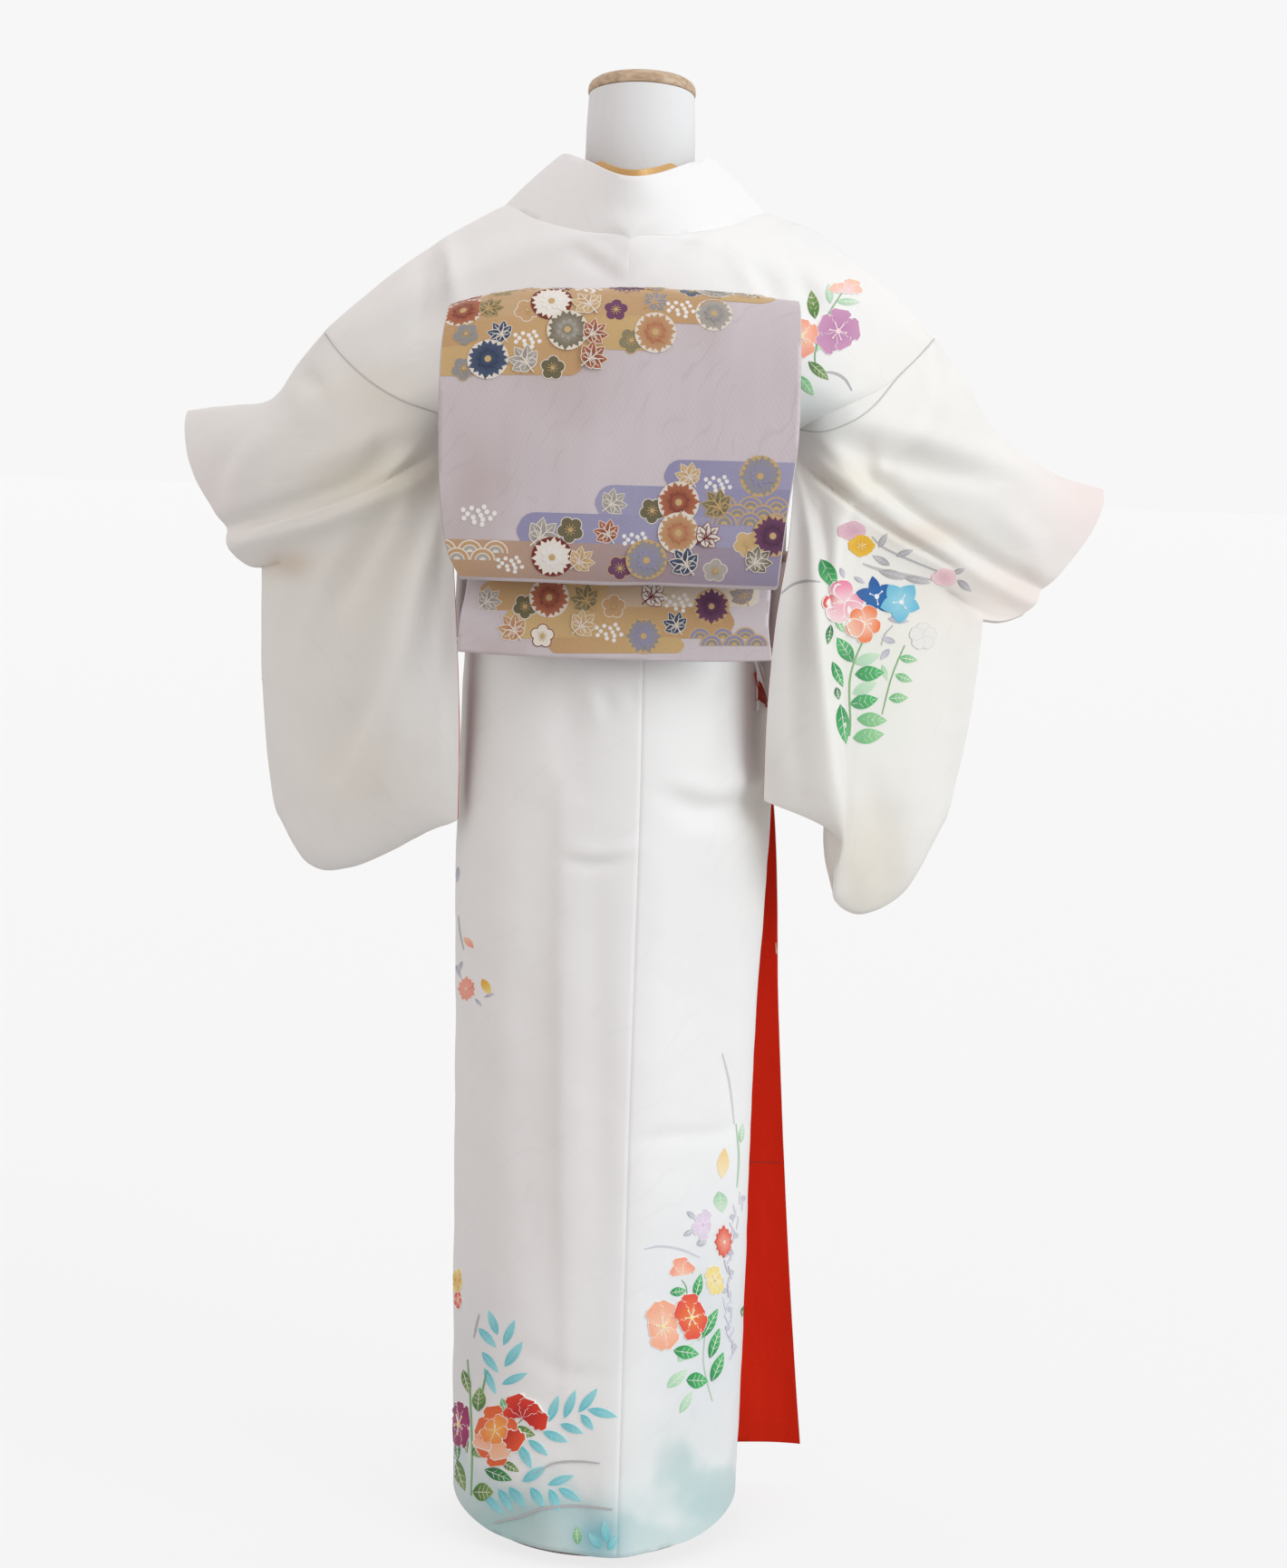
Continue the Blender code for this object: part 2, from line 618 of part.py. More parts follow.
def body_half(side):
    """Outer points and normals of one body panel."""
    grid = body_grid(side)
    normals = normals_of(grid, flip=side < 0)
    if normals[0][0].y > 0:
        normals = [[-n for n in line] for line in normals]
    for r in range(row_index("nape seam") + 1):
        normals[r][0].x = 0.0
        normals[r][0].normalize()
        grid[r][0].x = side * SEAM / 2
    return grid, normals


def collar_grids(halves):
    """Outer points and normals of the collar, from the left front round the nape to the right."""
    first = row_index("nape seam")
    last = row_index("front under obi")
    sides = {}
    for side in (-1, 1):
        grid, normals = halves[side]
        edge = []
        for row in COLLAR_EDGE:
            lean = RIGHT_LEAN.get(row.row, NO_LEAN) if side > 0 else NO_LEAN
            point = mirrored(row.x + lean.shift * 1.4, row.y, row.z, side)
            point.y -= FRONT_TUCK * row.tuck if side > 0 else 0.0
            edge.append(point)
        edge = refine(edge, ROW_SPLIT)
        lines, tilts = [], []
        for r in range(first, last + 1):
            seam, fold = grid[r][0].copy(), edge[r - first]
            if r == first:
                seam.x = 0.0
            up = (fold - seam).normalized()
            seam = seam + up * SEAM
            middle = seam.lerp(fold, 0.5) + normals[r][0] * 0.0015
            lines.append([seam, middle, fold])
            tilts.append(normals[r][0])
        sides[side] = (lines, tilts)
    lines = list(reversed(sides[-1][0])) + sides[1][0][1:]
    tilts = list(reversed(sides[-1][1])) + sides[1][1][1:]
    normals = normals_of(lines)
    middle = len(lines) // 2
    if normals[middle][1].y > 0:
        normals = normals_of(lines, flip=True)
    for line, tilt in zip(normals, tilts):
        line[0] = (tilt + line[0]).normalized()
    for side in (-1, 1):
        for r in range(first, last + 1):
            place = middle + side * (r - first)
            halves[side][1][r][0] = normals[place][0]
    return lines, normals


def upper_body(halves):
    """Left and right body panels, over the shoulders, and what is sewn to the neckline."""
    silk = material("silk", (0.86, 0.85, 0.83), 0.55)
    lines, normals = collar_grids(halves)
    for side, name in ((-1, "body_left"), (1, "body_right")):
        grid, panel_normals = halves[side]
        shell(name, grid, moved(grid, panel_normals, -CLOTH), silk)
    lining = moved(lines, normals, -COLLAR_CLOTH)
    shell("collar", lines, lining, silk)
    gold = material("gold_silk", (0.70, 0.50, 0.27), 0.45)
    strip = []
    for line, ns in zip(lining, normals):
        up = (line[2] - line[1]).normalized()
        clear = ns[2] * GOLD_GAP
        strip.append([line[2] - up * GOLD_HIDDEN - clear, line[2] - clear, line[2] + up * GOLD_SHOWS - clear])
    trim = row_index("front under obi") - row_index("chest")
    strip = strip[trim:-trim]
    strip_normals = [[ns[2]] * 3 for ns in normals[trim:-trim]]
    shell("gold_collar_strip", strip, moved(strip, strip_normals, -GOLD_CLOTH), gold)


# Sleeves

def arm_shares(steps):
    """Shares of the way from the top fold down to the roll, closer near both."""
    return [smooth(i / steps) * 0.45 + i / steps * 0.55 for i in range(steps + 1)]


def bag_shares():
    """Shares of the way from the bag's top down to its hem, closer near the hem."""
    return [1 - (1 - step / BAG_STEPS) ** 1.35 for step in range(1, BAG_STEPS + 1)]


def sleeve_layer(section, side, steps, front):
    """Points of one layer of a sleeve section, from the top fold down to the hem."""
    top = mirrored(section.top_x, section.top_y, section.top_z, side)
    roll = mirrored(section.roll_x, section.roll_y, section.roll_z, side)
    bag = mirrored(section.bag_x, section.bag_y, section.bag_z, side)
    hem = mirrored(section.hem_x, section.hem_y, section.hem_z, side)
    face = math.radians(section.facing)
    out = Vector((side * math.sin(face), -math.cos(face), 0))
    points = []
    for share in arm_shares(steps):
        bulge = section.belly * math.sin(math.pi * share**0.75)
        crease = -0.007 * math.exp(-(((share - 0.80) / 0.055) ** 2)) if not front else 0.0
        roll_swell = 0.003 * math.exp(-(((share - 0.93) / 0.05) ** 2)) if not front else 0.0
        gap = section.arm_gap * math.sqrt(1 - (1 - min(share / 0.25, 1.0)) ** 2)
        gap += (section.bag_gap + 0.012 - section.arm_gap) * smooth((share - 0.55) / 0.45)
        point = top.lerp(roll, share) + out * (bulge + crease + roll_swell)
        points.append(point - out * gap if front else point)
    start = roll - out * (section.bag_gap + 0.012) if front else roll
    turn = math.radians(section.bag_facing)
    under = bag - Vector((side * math.sin(turn), -math.cos(turn), 0)) * section.bag_gap if front else bag
    for step in range(1, ROLL_STEPS + 1):
        share = step / ROLL_STEPS
        sag = Vector((0, 0, -0.004)) * math.sin(math.pi * share)
        points.append(start.lerp(under, share) + sag)
    for share in bag_shares():
        turn = math.radians(section.bag_facing + (section.hem_facing - section.bag_facing) * share)
        out = Vector((side * math.sin(turn), -math.cos(turn), 0))
        close = math.sqrt(max(1 - max(share - 0.86, 0.0) ** 2 / 0.14**2, 0.0))
        gap = section.bag_gap + (section.hem_gap - section.bag_gap) * share
        swell = 0.006 * math.sin(math.pi * share) - gap * 0.5 * (1 - close)
        point = bag.lerp(hem, share) + out * swell
        points.append(point - out * (gap * close + swell * 1.2 * close) if front else point)
    return points


def free_edge(points):
    """An inner edge below the underarm, split as the sections are."""
    short = [0.07 * step / ROLL_STEPS for step in range(1, ROLL_STEPS + 1)]
    return along(points, short + [0.07 + 0.93 * share for share in bag_shares()])


def sleeve_rings(side, halves, sections, furi_back, furi_front):
    """Closed loops across a sleeve's width: back layer down, front layer up."""
    grid, normals = halves[side]
    ridge = row_index("shoulder")
    low_back = row_index("back underarm")
    low_front = row_index("front underarm")

    def seam_point(r):
        run = (grid[r + 1][-1] - grid[r - 1][-1]).normalized()
        away = grid[r][-1] - grid[r][-2]
        away -= run * away.dot(run)
        return grid[r][-1] + away.normalized() * ARMHOLE_SEAM

    back = [seam_point(r) for r in range(ridge, low_back - 1, -1)]
    front = [seam_point(r) for r in range(ridge, low_front + 1)]
    back_normals = [normals[r][-1] for r in range(ridge, low_back - 1, -1)]
    front_normals = [normals[r][-1] for r in range(ridge, low_front + 1)]
    back_edge = [back[-1]] + [mirrored(*p, side) for p in furi_back]
    front_edge = [front[-1]] + [mirrored(*p, side) for p in furi_front]
    back += free_edge(back_edge)
    front += free_edge(front_edge)
    loops = [back + list(reversed(front[1:-1]))]
    for section in sections:
        rear = sleeve_layer(section, side, SLEEVE_ARM_STEPS, False)
        fore = sleeve_layer(section, side, SLEEVE_FRONT_STEPS, True)
        loops.append(rear + list(reversed(fore[1:-1])))
    fixed = {i: n for i, n in enumerate(back_normals)}
    count = len(loops[0])
    fixed.update({(count - i) % count: n for i, n in enumerate(front_normals) if i})
    return refine_rows(loops, SECTION_SPLIT), fixed


def sleeve(name, side, halves, sections, furi_back, furi_front):
    """A hollow sleeve: open at the armhole, the inner edge and the cuff, closed below the cuff."""
    silk = material("silk", (0.86, 0.85, 0.83), 0.55)
    rings, fixed = sleeve_rings(side, halves, sections, furi_back, furi_front)
    normals = normals_of(rings, closed=True)
    hem = SLEEVE_ARM_STEPS + ROLL_STEPS + BAG_STEPS
    middle_ring = len(rings) // 2
    if normals[middle_ring][hem // 2].y > 0:
        normals = normals_of(rings, closed=True, flip=True)
    for index, normal in fixed.items():
        own = normals[0][index]
        normals[0][index] = normal if normal.dot(own) > 0.25 else (normal + own).normalized()
    for line in normals:
        line[hem] = (line[hem - 1] + line[hem + 1] + Vector((0, 0, -2))).normalized()
    count = len(rings[0])
    cuff_back = SLEEVE_ARM_STEPS
    cuff_front = 2 * hem - cuff_back
    inner = moved(rings, normals, -CLOTH)
    last = len(rings) - 1
    for i in range(cuff_back, cuff_front + 1):
        inner[last][i] += (rings[last - 1][i] - rings[last][i]).normalized() * CLOTH * 1.5
    points = [p for ring in rings for p in ring] + [p for ring in inner for p in ring]
    half = len(rings) * count
    faces = []

    def at(r, c):
        return r * count + c % count

    for r in range(last):
        for c in range(count):
            add_wall_cell(faces, (at(r, c), at(r, c + 1), at(r + 1, c + 1), at(r + 1, c)), half)
    for c in range(count):
        faces.append((at(0, c), half + at(0, c), half + at(0, c + 1), at(0, c + 1)))
    for c in list(range(cuff_back)) + list(range(cuff_front, count)):
        faces.append((at(last, c), at(last, c + 1), half + at(last, c + 1), half + at(last, c)))
    for i in range(cuff_back, hem):
        twin = 2 * hem - i
        ladder = [at(last, i), at(last, i + 1), at(last, twin - 1), at(last, twin)]
        if i + 1 == twin - 1:
            ladder.pop(1)
        faces.append(tuple(ladder))
        faces.append(tuple(half + p for p in reversed(ladder)))
    low, high = at(last, cuff_back), at(last, cuff_front)
    faces.append((low, high, half + high, half + low))
    return add_piece(name, points, faces, silk)


# Obi and what is tied with it

def girth_band(name, start, end, columns, heights, inner_out, outer_out, finish, closed=False):
    """A band round the girth, with its edges eased inwards."""
    outer, inner = [], []
    for height, ease in heights:
        outer_line, inner_line = [], []
        for c in range(columns if closed else columns + 1):
            angle = start + (end - start) * c / columns
            level = height(angle) if callable(height) else height
            outer_line.append(girth_point(angle, level, outer_out - ease))
            inner_line.append(girth_point(angle, level, inner_out))
        outer.append(outer_line)
        inner.append(inner_line)
    return shell(name, outer, inner, finish, closed)


def wrap_grid(path, columns, split=2):
    """A strip of cloth as wide as the obi, along a path seen from the side."""
    grid = []
    for step in path:
        line = []
        for c in range(columns + 1):
            x = step.left + (step.right - step.left) * c / columns
            share = 2 * c / columns - 1
            drop = (step.left_drop if share < 0 else step.right_drop) * abs(share) ** 3
            line.append(Vector((x, step.y, step.z - drop)))
        grid.append(line)
    return refine_rows(grid, split)


def wrap_piece(name, path, columns, finish, flip=False):
    """An obi layer of its own thickness along a path."""
    grid = wrap_grid(path, columns)
    return shell(name, grid, moved(grid, normals_of(grid, flip=flip), -OBI_CLOTH), finish)


def obi_pieces():
    """Band, drum, tail, tucked hand end, pillow, scarf and cord."""
    brocade = material("obi_brocade", (0.62, 0.58, 0.60), 0.40)
    heights = (
        (OBI_TOP, 0.001),
        (OBI_TOP - 0.006, 0.0),
        (CORD_HEIGHT, 0.0),
        (OBI_BOTTOM + 0.006, 0.0),
        (OBI_BOTTOM, 0.001),
    )
    girth_band("obi_band", 0.0, math.tau, 48, heights, OBI_INNER, OBI_OUTER, brocade, closed=True)
    wrap_piece("obi_drum", DRUM_PATH, 8, brocade, flip=True)
    wrap_piece("obi_tail", TAIL_PATH, 8, brocade, flip=False)
    hand_path = (Wrap(-0.1640, 0.985, -0.120, 0.116, 0, 0), Wrap(-0.1640, 0.905, -0.120, 0.116, 0, 0))
    wrap_piece("obi_hand_end", hand_path, 4, brocade, flip=False)


def pillow():
    """The pad that fills the top of the drum."""
    finish = material("pad_cloth", (0.85, 0.80, 0.78), 0.8)
    sections = []
    half_length = 0.112
    for i in range(13):
        share = -1 + 2 * i / 12
        x = half_length * math.sin(share * math.pi / 2)
        size = max(math.sqrt(max(1 - (x / (half_length + 0.001)) ** 2, 0.0)), 0.08) ** 0.6
        ring = []
        for s in range(16):
            turn = math.tau * s / 16
            y = PAD_Y + PAD_HALF_DEPTH * size * math.cos(turn)
            z = PAD_Z + PAD_HALF_HEIGHT * size * math.sin(turn) - 0.010 * (x / half_length) ** 2
            ring.append(Vector((x - 0.002, y, z)))
        sections.append(ring)
    return lathe("obi_pillow", sections, finish, steps=16)


def sweep(name, path, half_tall, half_thick, finish, closed, steps=8, sizes=None):
    """A soft cord or roll of oval section along a path, standing on edge."""
    count = len(path)
    sizes = sizes or [1.0] * count
    rings = []
    for i, point in enumerate(path):
        before = path[(i - 1) % count] if closed or i else path[0]
        after = path[(i + 1) % count] if closed or i < count - 1 else path[-1]
        run = (after - before).normalized()
        up = (Vector((0, 0, 1)) - run * run.z).normalized()
        side = run.cross(up)
        ring = []
        for s in range(steps):
            turn = math.tau * s / steps
            reach = up * half_tall * math.sin(turn) + side * half_thick * math.cos(turn)
            ring.append(point + reach * sizes[i])
        rings.append(ring)
    points = [p for ring in rings for p in ring]
    faces = []
    for r in range(count if closed else count - 1):
        q = (r + 1) % count
        for s in range(steps):
            t = (s + 1) % steps
            faces.append((r * steps + s, r * steps + t, q * steps + t, q * steps + s))
    if not closed:
        faces.append(tuple(range(steps)))
        faces.append(tuple((count - 1) * steps + s for s in range(steps)))
    return add_piece(name, points, faces, finish)


def cord_and_scarf():
    """The braided cord round the obi, its flat knot, and the scarf at the obi's top."""
    braid = material("braid", (0.80, 0.72, 0.60), 0.6)
    half_thick = 0.0025
    around = [math.radians(52 + 256 * i / 24) for i in range(25)]
    path = [girth_point(angle, CORD_HEIGHT, OBI_OUTER + half_thick + CORD_GAP) for angle in around]
    behind = [Vector((x, y, CORD_HEIGHT)) for x, y in CORD_BEHIND]
    path += [Vector((-p.x, p.y, p.z)) for p in behind] + [Vector((0, CORD_BEHIND[-1][1], CORD_HEIGHT))]
    path += list(reversed(behind))
    sweep("obi_cord", path, 0.005, half_thick, braid, closed=True)
    front = girth_point(math.pi, CORD_HEIGHT, OBI_OUTER + 2 * half_thick + CORD_GAP + LAYER_GAP + 0.0045)
    humps = ((-0.013, -0.002), (-0.005, 0.001), (0.005, 0.001), (0.013, -0.002))
    knot = [front + Vector((x, 0, z)) for x, z in humps]
    sweep("obi_cord_knot", knot, 0.0085, 0.0045, braid, closed=False)
    scarf = material("scarf_silk", (0.88, 0.86, 0.84), 0.5)
    path, sizes = [], []
    for i in range(25):
        share = i / 24
        angle = math.radians(108 + 144 * share)
        risen = smooth(math.sin(math.pi * share) / 0.3)
        full = smooth((math.sin(math.pi * share) - 0.3) / 0.4)
        sizes.append(0.20 + 0.80 * full)
        height = OBI_TOP - 0.006 + 0.0120 * risen + 0.0085 * full
        path.append(girth_point(angle, height, 0.0026 + 0.0125 * full))
    sweep("obi_scarf", path, 0.0105, 0.0062, scarf, closed=False, sizes=sizes)


def waist_tuck():
    """The tuck of spare length that hangs below the obi across the front."""
    silk = material("silk", (0.86, 0.85, 0.83), 0.55)

    def bottom(angle):
        dip = 0.008 * smooth((math.radians(80) - angle) / math.radians(20))
        return TUCK_BOTTOM - dip + 0.002 * math.sin(angle * 5)

    def above(angle):
        return bottom(angle) + 0.004

    heights = ((WAIST - 0.002, 0.0), (0.835, 0.0), (above, 0.0), (bottom, 0.001))
    start, end = math.radians(62), math.radians(248)
    girth_band("waist_tuck", start, end, 26, heights, LAYER_GAP + 0.0006, OBI_INNER - 0.0008, silk)


# Dress form and stand

def dress_form():
    """Limbless torso with its neck, wooden neck cap, pole and round base."""
    cover = material("form_cloth", (0.88, 0.88, 0.87), 0.75)
    wood = material("wood", (0.66, 0.50, 0.34), 0.5)
    metal = material("stand_metal", (0.75, 0.75, 0.74), 0.35, 0.6)
    rings = [ellipse(b.x, b.y, b.height, b.half_width, b.half_depth) for b in BUST]
    tilt = Matrix.Rotation(-NECK_TILT, 3, "X")
    middle = Vector((NECK_X, BUST[-1].y, NECK_TOP))

    def tilted(radius_x, radius_y, rise):
        flat = ellipse(0, 0, rise, radius_x, radius_y)
        return [middle + tilt @ p for p in flat]

    rings.append(tilted(0.0480, 0.0455, 0.0))
    lathe("form_torso", rings, cover)
    cap = (
        (0.0475, 0.0450, 0.0003), (0.0490, 0.0465, 0.002), (0.0485, 0.0460, 0.008), (0.0440, 0.0415, 0.0125),
        (0.0340, 0.0320, 0.0150),
    )
    lathe("form_neck_cap", [tilted(a, b, rise) for a, b, rise in cap], wood)
    pole = [ellipse(0, 0, z, POLE_RADIUS, POLE_RADIUS) for z in (BASE_THICK + SEAM, BUST[0].height - SEAM)]
    lathe("stand_pole", pole, metal)
    base = ((0.002, 0.0), (0.0, 0.003), (0.002, 0.009), (0.012, BASE_THICK))
    radii = [(BASE_RADIUS - inset, z) for inset, z in base]
    lathe("stand_base", [ellipse(0, 0, z, radius, radius) for radius, z in radii], metal)


def main():
    for old in list(bpy.data.objects):
        bpy.data.objects.remove(old, do_unlink=True)
    halves = {side: body_half(side) for side in (-1, 1)}
    skirt_panels()
    upper_body(halves)
    sleeve("sleeve_left", -1, halves, LEFT_SECTIONS, LEFT_FURI_BACK, LEFT_FURI_FRONT)
    sleeve("sleeve_right", 1, halves, RIGHT_SECTIONS, RIGHT_FURI_BACK, RIGHT_FURI_FRONT)
    waist_tuck()
    obi_pieces()
    pillow()
    cord_and_scarf()
    dress_form()


main()
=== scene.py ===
import math
from collections import namedtuple

import bmesh
import bpy
import numpy as np
from mathutils import Matrix, Vector, noise
from mathutils.bvhtree import BVHTree


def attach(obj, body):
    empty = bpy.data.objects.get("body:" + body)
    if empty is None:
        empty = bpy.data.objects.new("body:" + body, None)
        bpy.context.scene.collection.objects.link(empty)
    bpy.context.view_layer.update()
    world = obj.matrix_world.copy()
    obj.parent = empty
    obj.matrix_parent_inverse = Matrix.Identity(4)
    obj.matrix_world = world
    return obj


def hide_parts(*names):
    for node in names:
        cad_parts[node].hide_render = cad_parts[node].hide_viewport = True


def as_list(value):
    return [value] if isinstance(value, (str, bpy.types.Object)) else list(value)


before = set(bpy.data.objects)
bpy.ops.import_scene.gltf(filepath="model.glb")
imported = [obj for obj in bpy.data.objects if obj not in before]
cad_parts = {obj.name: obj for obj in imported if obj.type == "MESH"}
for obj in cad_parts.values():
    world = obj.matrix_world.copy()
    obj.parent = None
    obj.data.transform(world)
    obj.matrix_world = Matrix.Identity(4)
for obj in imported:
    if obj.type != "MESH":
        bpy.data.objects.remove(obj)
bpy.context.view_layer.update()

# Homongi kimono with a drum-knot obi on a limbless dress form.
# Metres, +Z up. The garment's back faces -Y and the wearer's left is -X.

TAU = math.tau

# Cloth thicknesses and gaps
CLOTH = 0.0010
COLLAR_CLOTH = 0.0022
GOLD_CLOTH = 0.0012
OBI_CLOTH = 0.0024
SEAM = 0.0001
LAYER_GAP = 0.0006
CORD_GAP = 0.0013
GOLD_GAP = 0.0014

# Body panels below the waist
WAIST = 0.868
PANEL_RADIUS = 0.137
BACK_RADIUS = 0.130
SIDE_SEAM_ANGLE = math.radians(115)
BACK_SEAM_ANGLE = math.radians(9)
INNER_FRONT_END = math.radians(208)
FLAP_LEAVES_AT_WAIST = math.radians(138)
FLAP_LEAVES_AT_HEM = math.radians(152)
FLAP_EDGE_AT_WAIST = math.radians(128)
FRONT_TUCK = 0.0075

# Obi and what is tied over it
OBI_BOTTOM = 0.845
OBI_TOP = 1.005
OBI_INNER = 0.005
OBI_OUTER = 0.009
CORD_HEIGHT = 0.925
TUCK_BOTTOM = 0.797

# Steps of the fine cloth grids
ROW_SPLIT = 12
BODY_COLUMNS = 38
ARM_STEPS = 7 * ROW_SPLIT
FRONT_STEPS = 5 * ROW_SPLIT
ROLL_STEPS = 12
BAG_STEPS = 44
SECTION_SPLIT = 13

# Dress form and stand
NECK_X = 0.006
NECK_TOP = 1.338
BASE_THICK = 0.012
POLE_RADIUS = 0.0125

# Half widths to the wearer's left and right and depths to back and front, by height
Girth = namedtuple("Girth", "height left right back front keel")
GIRTHS = (
    Girth(0.00, 0.1365, 0.1335, 0.131, 0.118, 0.0100),
    Girth(0.20, 0.1405, 0.1365, 0.128, 0.120, 0.0070),
    Girth(0.45, 0.1440, 0.1370, 0.126, 0.122, 0.0050),
    Girth(0.62, 0.1475, 0.1430, 0.125, 0.123, 0.0040),
    Girth(0.70, 0.1468, 0.1465, 0.124, 0.122, 0.0035),
    Girth(0.78, 0.1450, 0.1425, 0.121, 0.119, 0.0030),
    Girth(0.85, 0.1425, 0.1400, 0.118, 0.116, 0.0010),
    Girth(0.92, 0.1410, 0.1400, 0.116, 0.114, 0.0000),
    Girth(1.00, 0.1410, 0.1405, 0.115, 0.116, 0.0000),
    Girth(1.10, 0.1450, 0.1460, 0.115, 0.121, 0.0000),
)
KEEL_HALF_ANGLE = math.radians(13)

Hem = namedtuple("Hem", "angle height")
HEM = (Hem(0, 0.0135), Hem(45, 0.0175), Hem(90, 0.034), Hem(135, 0.040), Hem(180, 0.036), Hem(250, 0.034))
FREE_EDGE_HEM = 0.041

FreeEdge = namedtuple("FreeEdge", "height x y")
FREE_EDGE = (
    FreeEdge(0.000, 0.2060, 0.100),
    FreeEdge(0.110, 0.1945, 0.098),
    FreeEdge(0.280, 0.1790, 0.090),
    FreeEdge(0.480, 0.1640, 0.080),
    FreeEdge(0.690, 0.1510, 0.074),
    FreeEdge(0.750, 0.1330, 0.073),
    FreeEdge(0.870, 0.1110, 0.072),
)

Fold = namedtuple("Fold", "angle_top height_top angle_low height_low width depth")
SKIRT_FOLDS = (
    Fold(-42, 0.80, -34, 0.20, 0.030, 0.0030),
    Fold(-68, 0.62, -58, 0.05, 0.026, -0.0025),
    Fold(28, 0.705, 84, 0.690, 0.018, -0.0040),
    Fold(50, 0.60, 40, 0.10, 0.030, -0.0030),
    Fold(-22, 0.85, -14, 0.72, 0.016, -0.0030),
    Fold(48, 0.85, 44, 0.73, 0.016, -0.0030),
)

# Body panel rows from the back waist over the shoulder to the front waist
Row = namedtuple("Row", "name ix iy iz ox oy oz swell facing wrap")
BODY_ROWS = (
    Row("back waist", 0.000, -0.117, 0.874, 0.1410, -0.006, 0.874, 0.000, 0, 1.00),
    Row("back under obi", 0.000, -0.1155, 0.985, 0.1408, -0.008, 0.985, 0.000, 0, 1.00),
    Row("back underarm", 0.000, -0.1150, 1.034, 0.1470, -0.036, 1.028, 0.000, 0, 0.85),
    Row("low blade", 0.000, -0.115, 1.075, 0.1640, -0.074, 1.044, 0.006, 10, 0.40),
    Row("high blade", 0.000, -0.114, 1.120, 0.1930, -0.075, 1.056, 0.010, 20, 0.15),
    Row("low yoke", 0.000, -0.110, 1.165, 0.2240, -0.052, 1.070, 0.013, 35, 0.00),
    Row("nape seam", 0.000, -0.105, 1.202, 0.2480, -0.030, 1.089, 0.014, 50, 0.00),
    Row("neckline", 0.042, -0.090, 1.209, 0.2650, -0.014, 1.106, 0.013, 62, 0.00),
    Row("neckline side", 0.082, -0.056, 1.220, 0.2740, -0.005, 1.114, 0.011, 75, 0.00),
    Row("shoulder", 0.116, -0.002, 1.236, 0.2780, 0.002, 1.1185, 0.010, 90, 0.00),
    Row("front shoulder", 0.106, 0.044, 1.206, 0.2680, 0.026, 1.110, 0.011, 110, 0.00),
    Row("front yoke", 0.090, 0.080, 1.166, 0.2360, 0.052, 1.088, 0.012, 130, 0.00),
    Row("high chest", 0.062, 0.107, 1.121, 0.1940, 0.070, 1.064, 0.010, 150, 0.15),
    Row("chest", 0.022, 0.120, 1.078, 0.1630, 0.062, 1.048, 0.004, 170, 0.40),
    Row("front underarm", -0.033, 0.1155, 1.038, 0.1470, 0.020, 1.030, 0.000, 180, 0.85),
    Row("front under obi", -0.080, 0.0945, 0.985, 0.1408, 0.006, 0.985, 0.000, 180, 1.00),
    Row("front waist", -0.095, 0.087, 0.874, 0.1410, 0.006, 0.874, 0.000, 180, 1.00),
)
ROW_NAMES = [row.name for row in BODY_ROWS]

Lean = namedtuple("Lean", "rise shift")
RIGHT_LEAN = {
    "low blade": Lean(0.004, 0.000),
    "high blade": Lean(0.008, 0.000),
    "low yoke": Lean(0.010, 0.000),
    "nape seam": Lean(0.010, 0.000),
    "neckline": Lean(0.009, 0.004),
    "neckline side": Lean(0.009, 0.006),
    "shoulder": Lean(0.009, 0.007),
    "front shoulder": Lean(0.009, 0.006),
    "front yoke": Lean(0.007, 0.003),
    "high chest": Lean(0.004, 0.000),
}
NO_LEAN = Lean(0.0, 0.0)

Edge = namedtuple("Edge", "row x y z tuck")
COLLAR_EDGE = (
    Edge("nape seam", 0.000, -0.110, 1.2515, 0.0),
    Edge("neckline", 0.024, -0.084, 1.2630, 0.0),
    Edge("neckline side", 0.045, -0.048, 1.2755, 0.0),
    Edge("shoulder", 0.066, 0.000, 1.2830, 0.0),
    Edge("front shoulder", 0.060, 0.044, 1.2600, 0.15),
    Edge("front yoke", 0.046, 0.080, 1.2120, 0.5),
    Edge("high chest", 0.020, 0.108, 1.1630, 1.0),
    Edge("chest", -0.020, 0.119, 1.1200, 1.0),
    Edge("front underarm", -0.076, 0.104, 1.0740, 1.0),
    Edge("front under obi", -0.1165, 0.0640, 1.0100, 1.0),
)
GOLD_SHOWS = 0.0065
GOLD_HIDDEN = 0.018

# Sleeve sections across its width
Section = namedtuple(
    "Section",
    "top_x top_y top_z roll_x roll_y roll_z bag_x bag_y bag_z hem_x hem_y hem_z "
    "belly facing bag_facing hem_facing arm_gap bag_gap hem_gap",
)
LEFT_SECTIONS = (
    Section(
        .305, .030, 1.090, .205, -.066, .974, .192, -.055, .962, .172, -.040, .664,
        .020, 20, 20, 20, .070, .018, .018,
    ),
    Section(
        .335, .070, 1.057, .262, -.028, .949, .249, -.016, .938, .217, .002, .638,
        .022, 40, 40, 40, .080, .024, .024,
    ),
    Section(
        .378, .132, 1.051, .312, .022, .929, .297, .030, .918, .262, .040, .615,
        .022, 48, 48, 48, .080, .024, .024,
    ),
    Section(
        .412, .182, 1.048, .345, .070, .914, .326, .068, .903, .300, .072, .612,
        .020, 52, 52, 52, .078, .020, .020,
    ),
    Section(
        .4385, .220, 1.045, .373, .116, .905, .347, .102, .897, .331, .102, .655,
        .018, 55, 55, 55, .075, .012, .012,
    ),
)
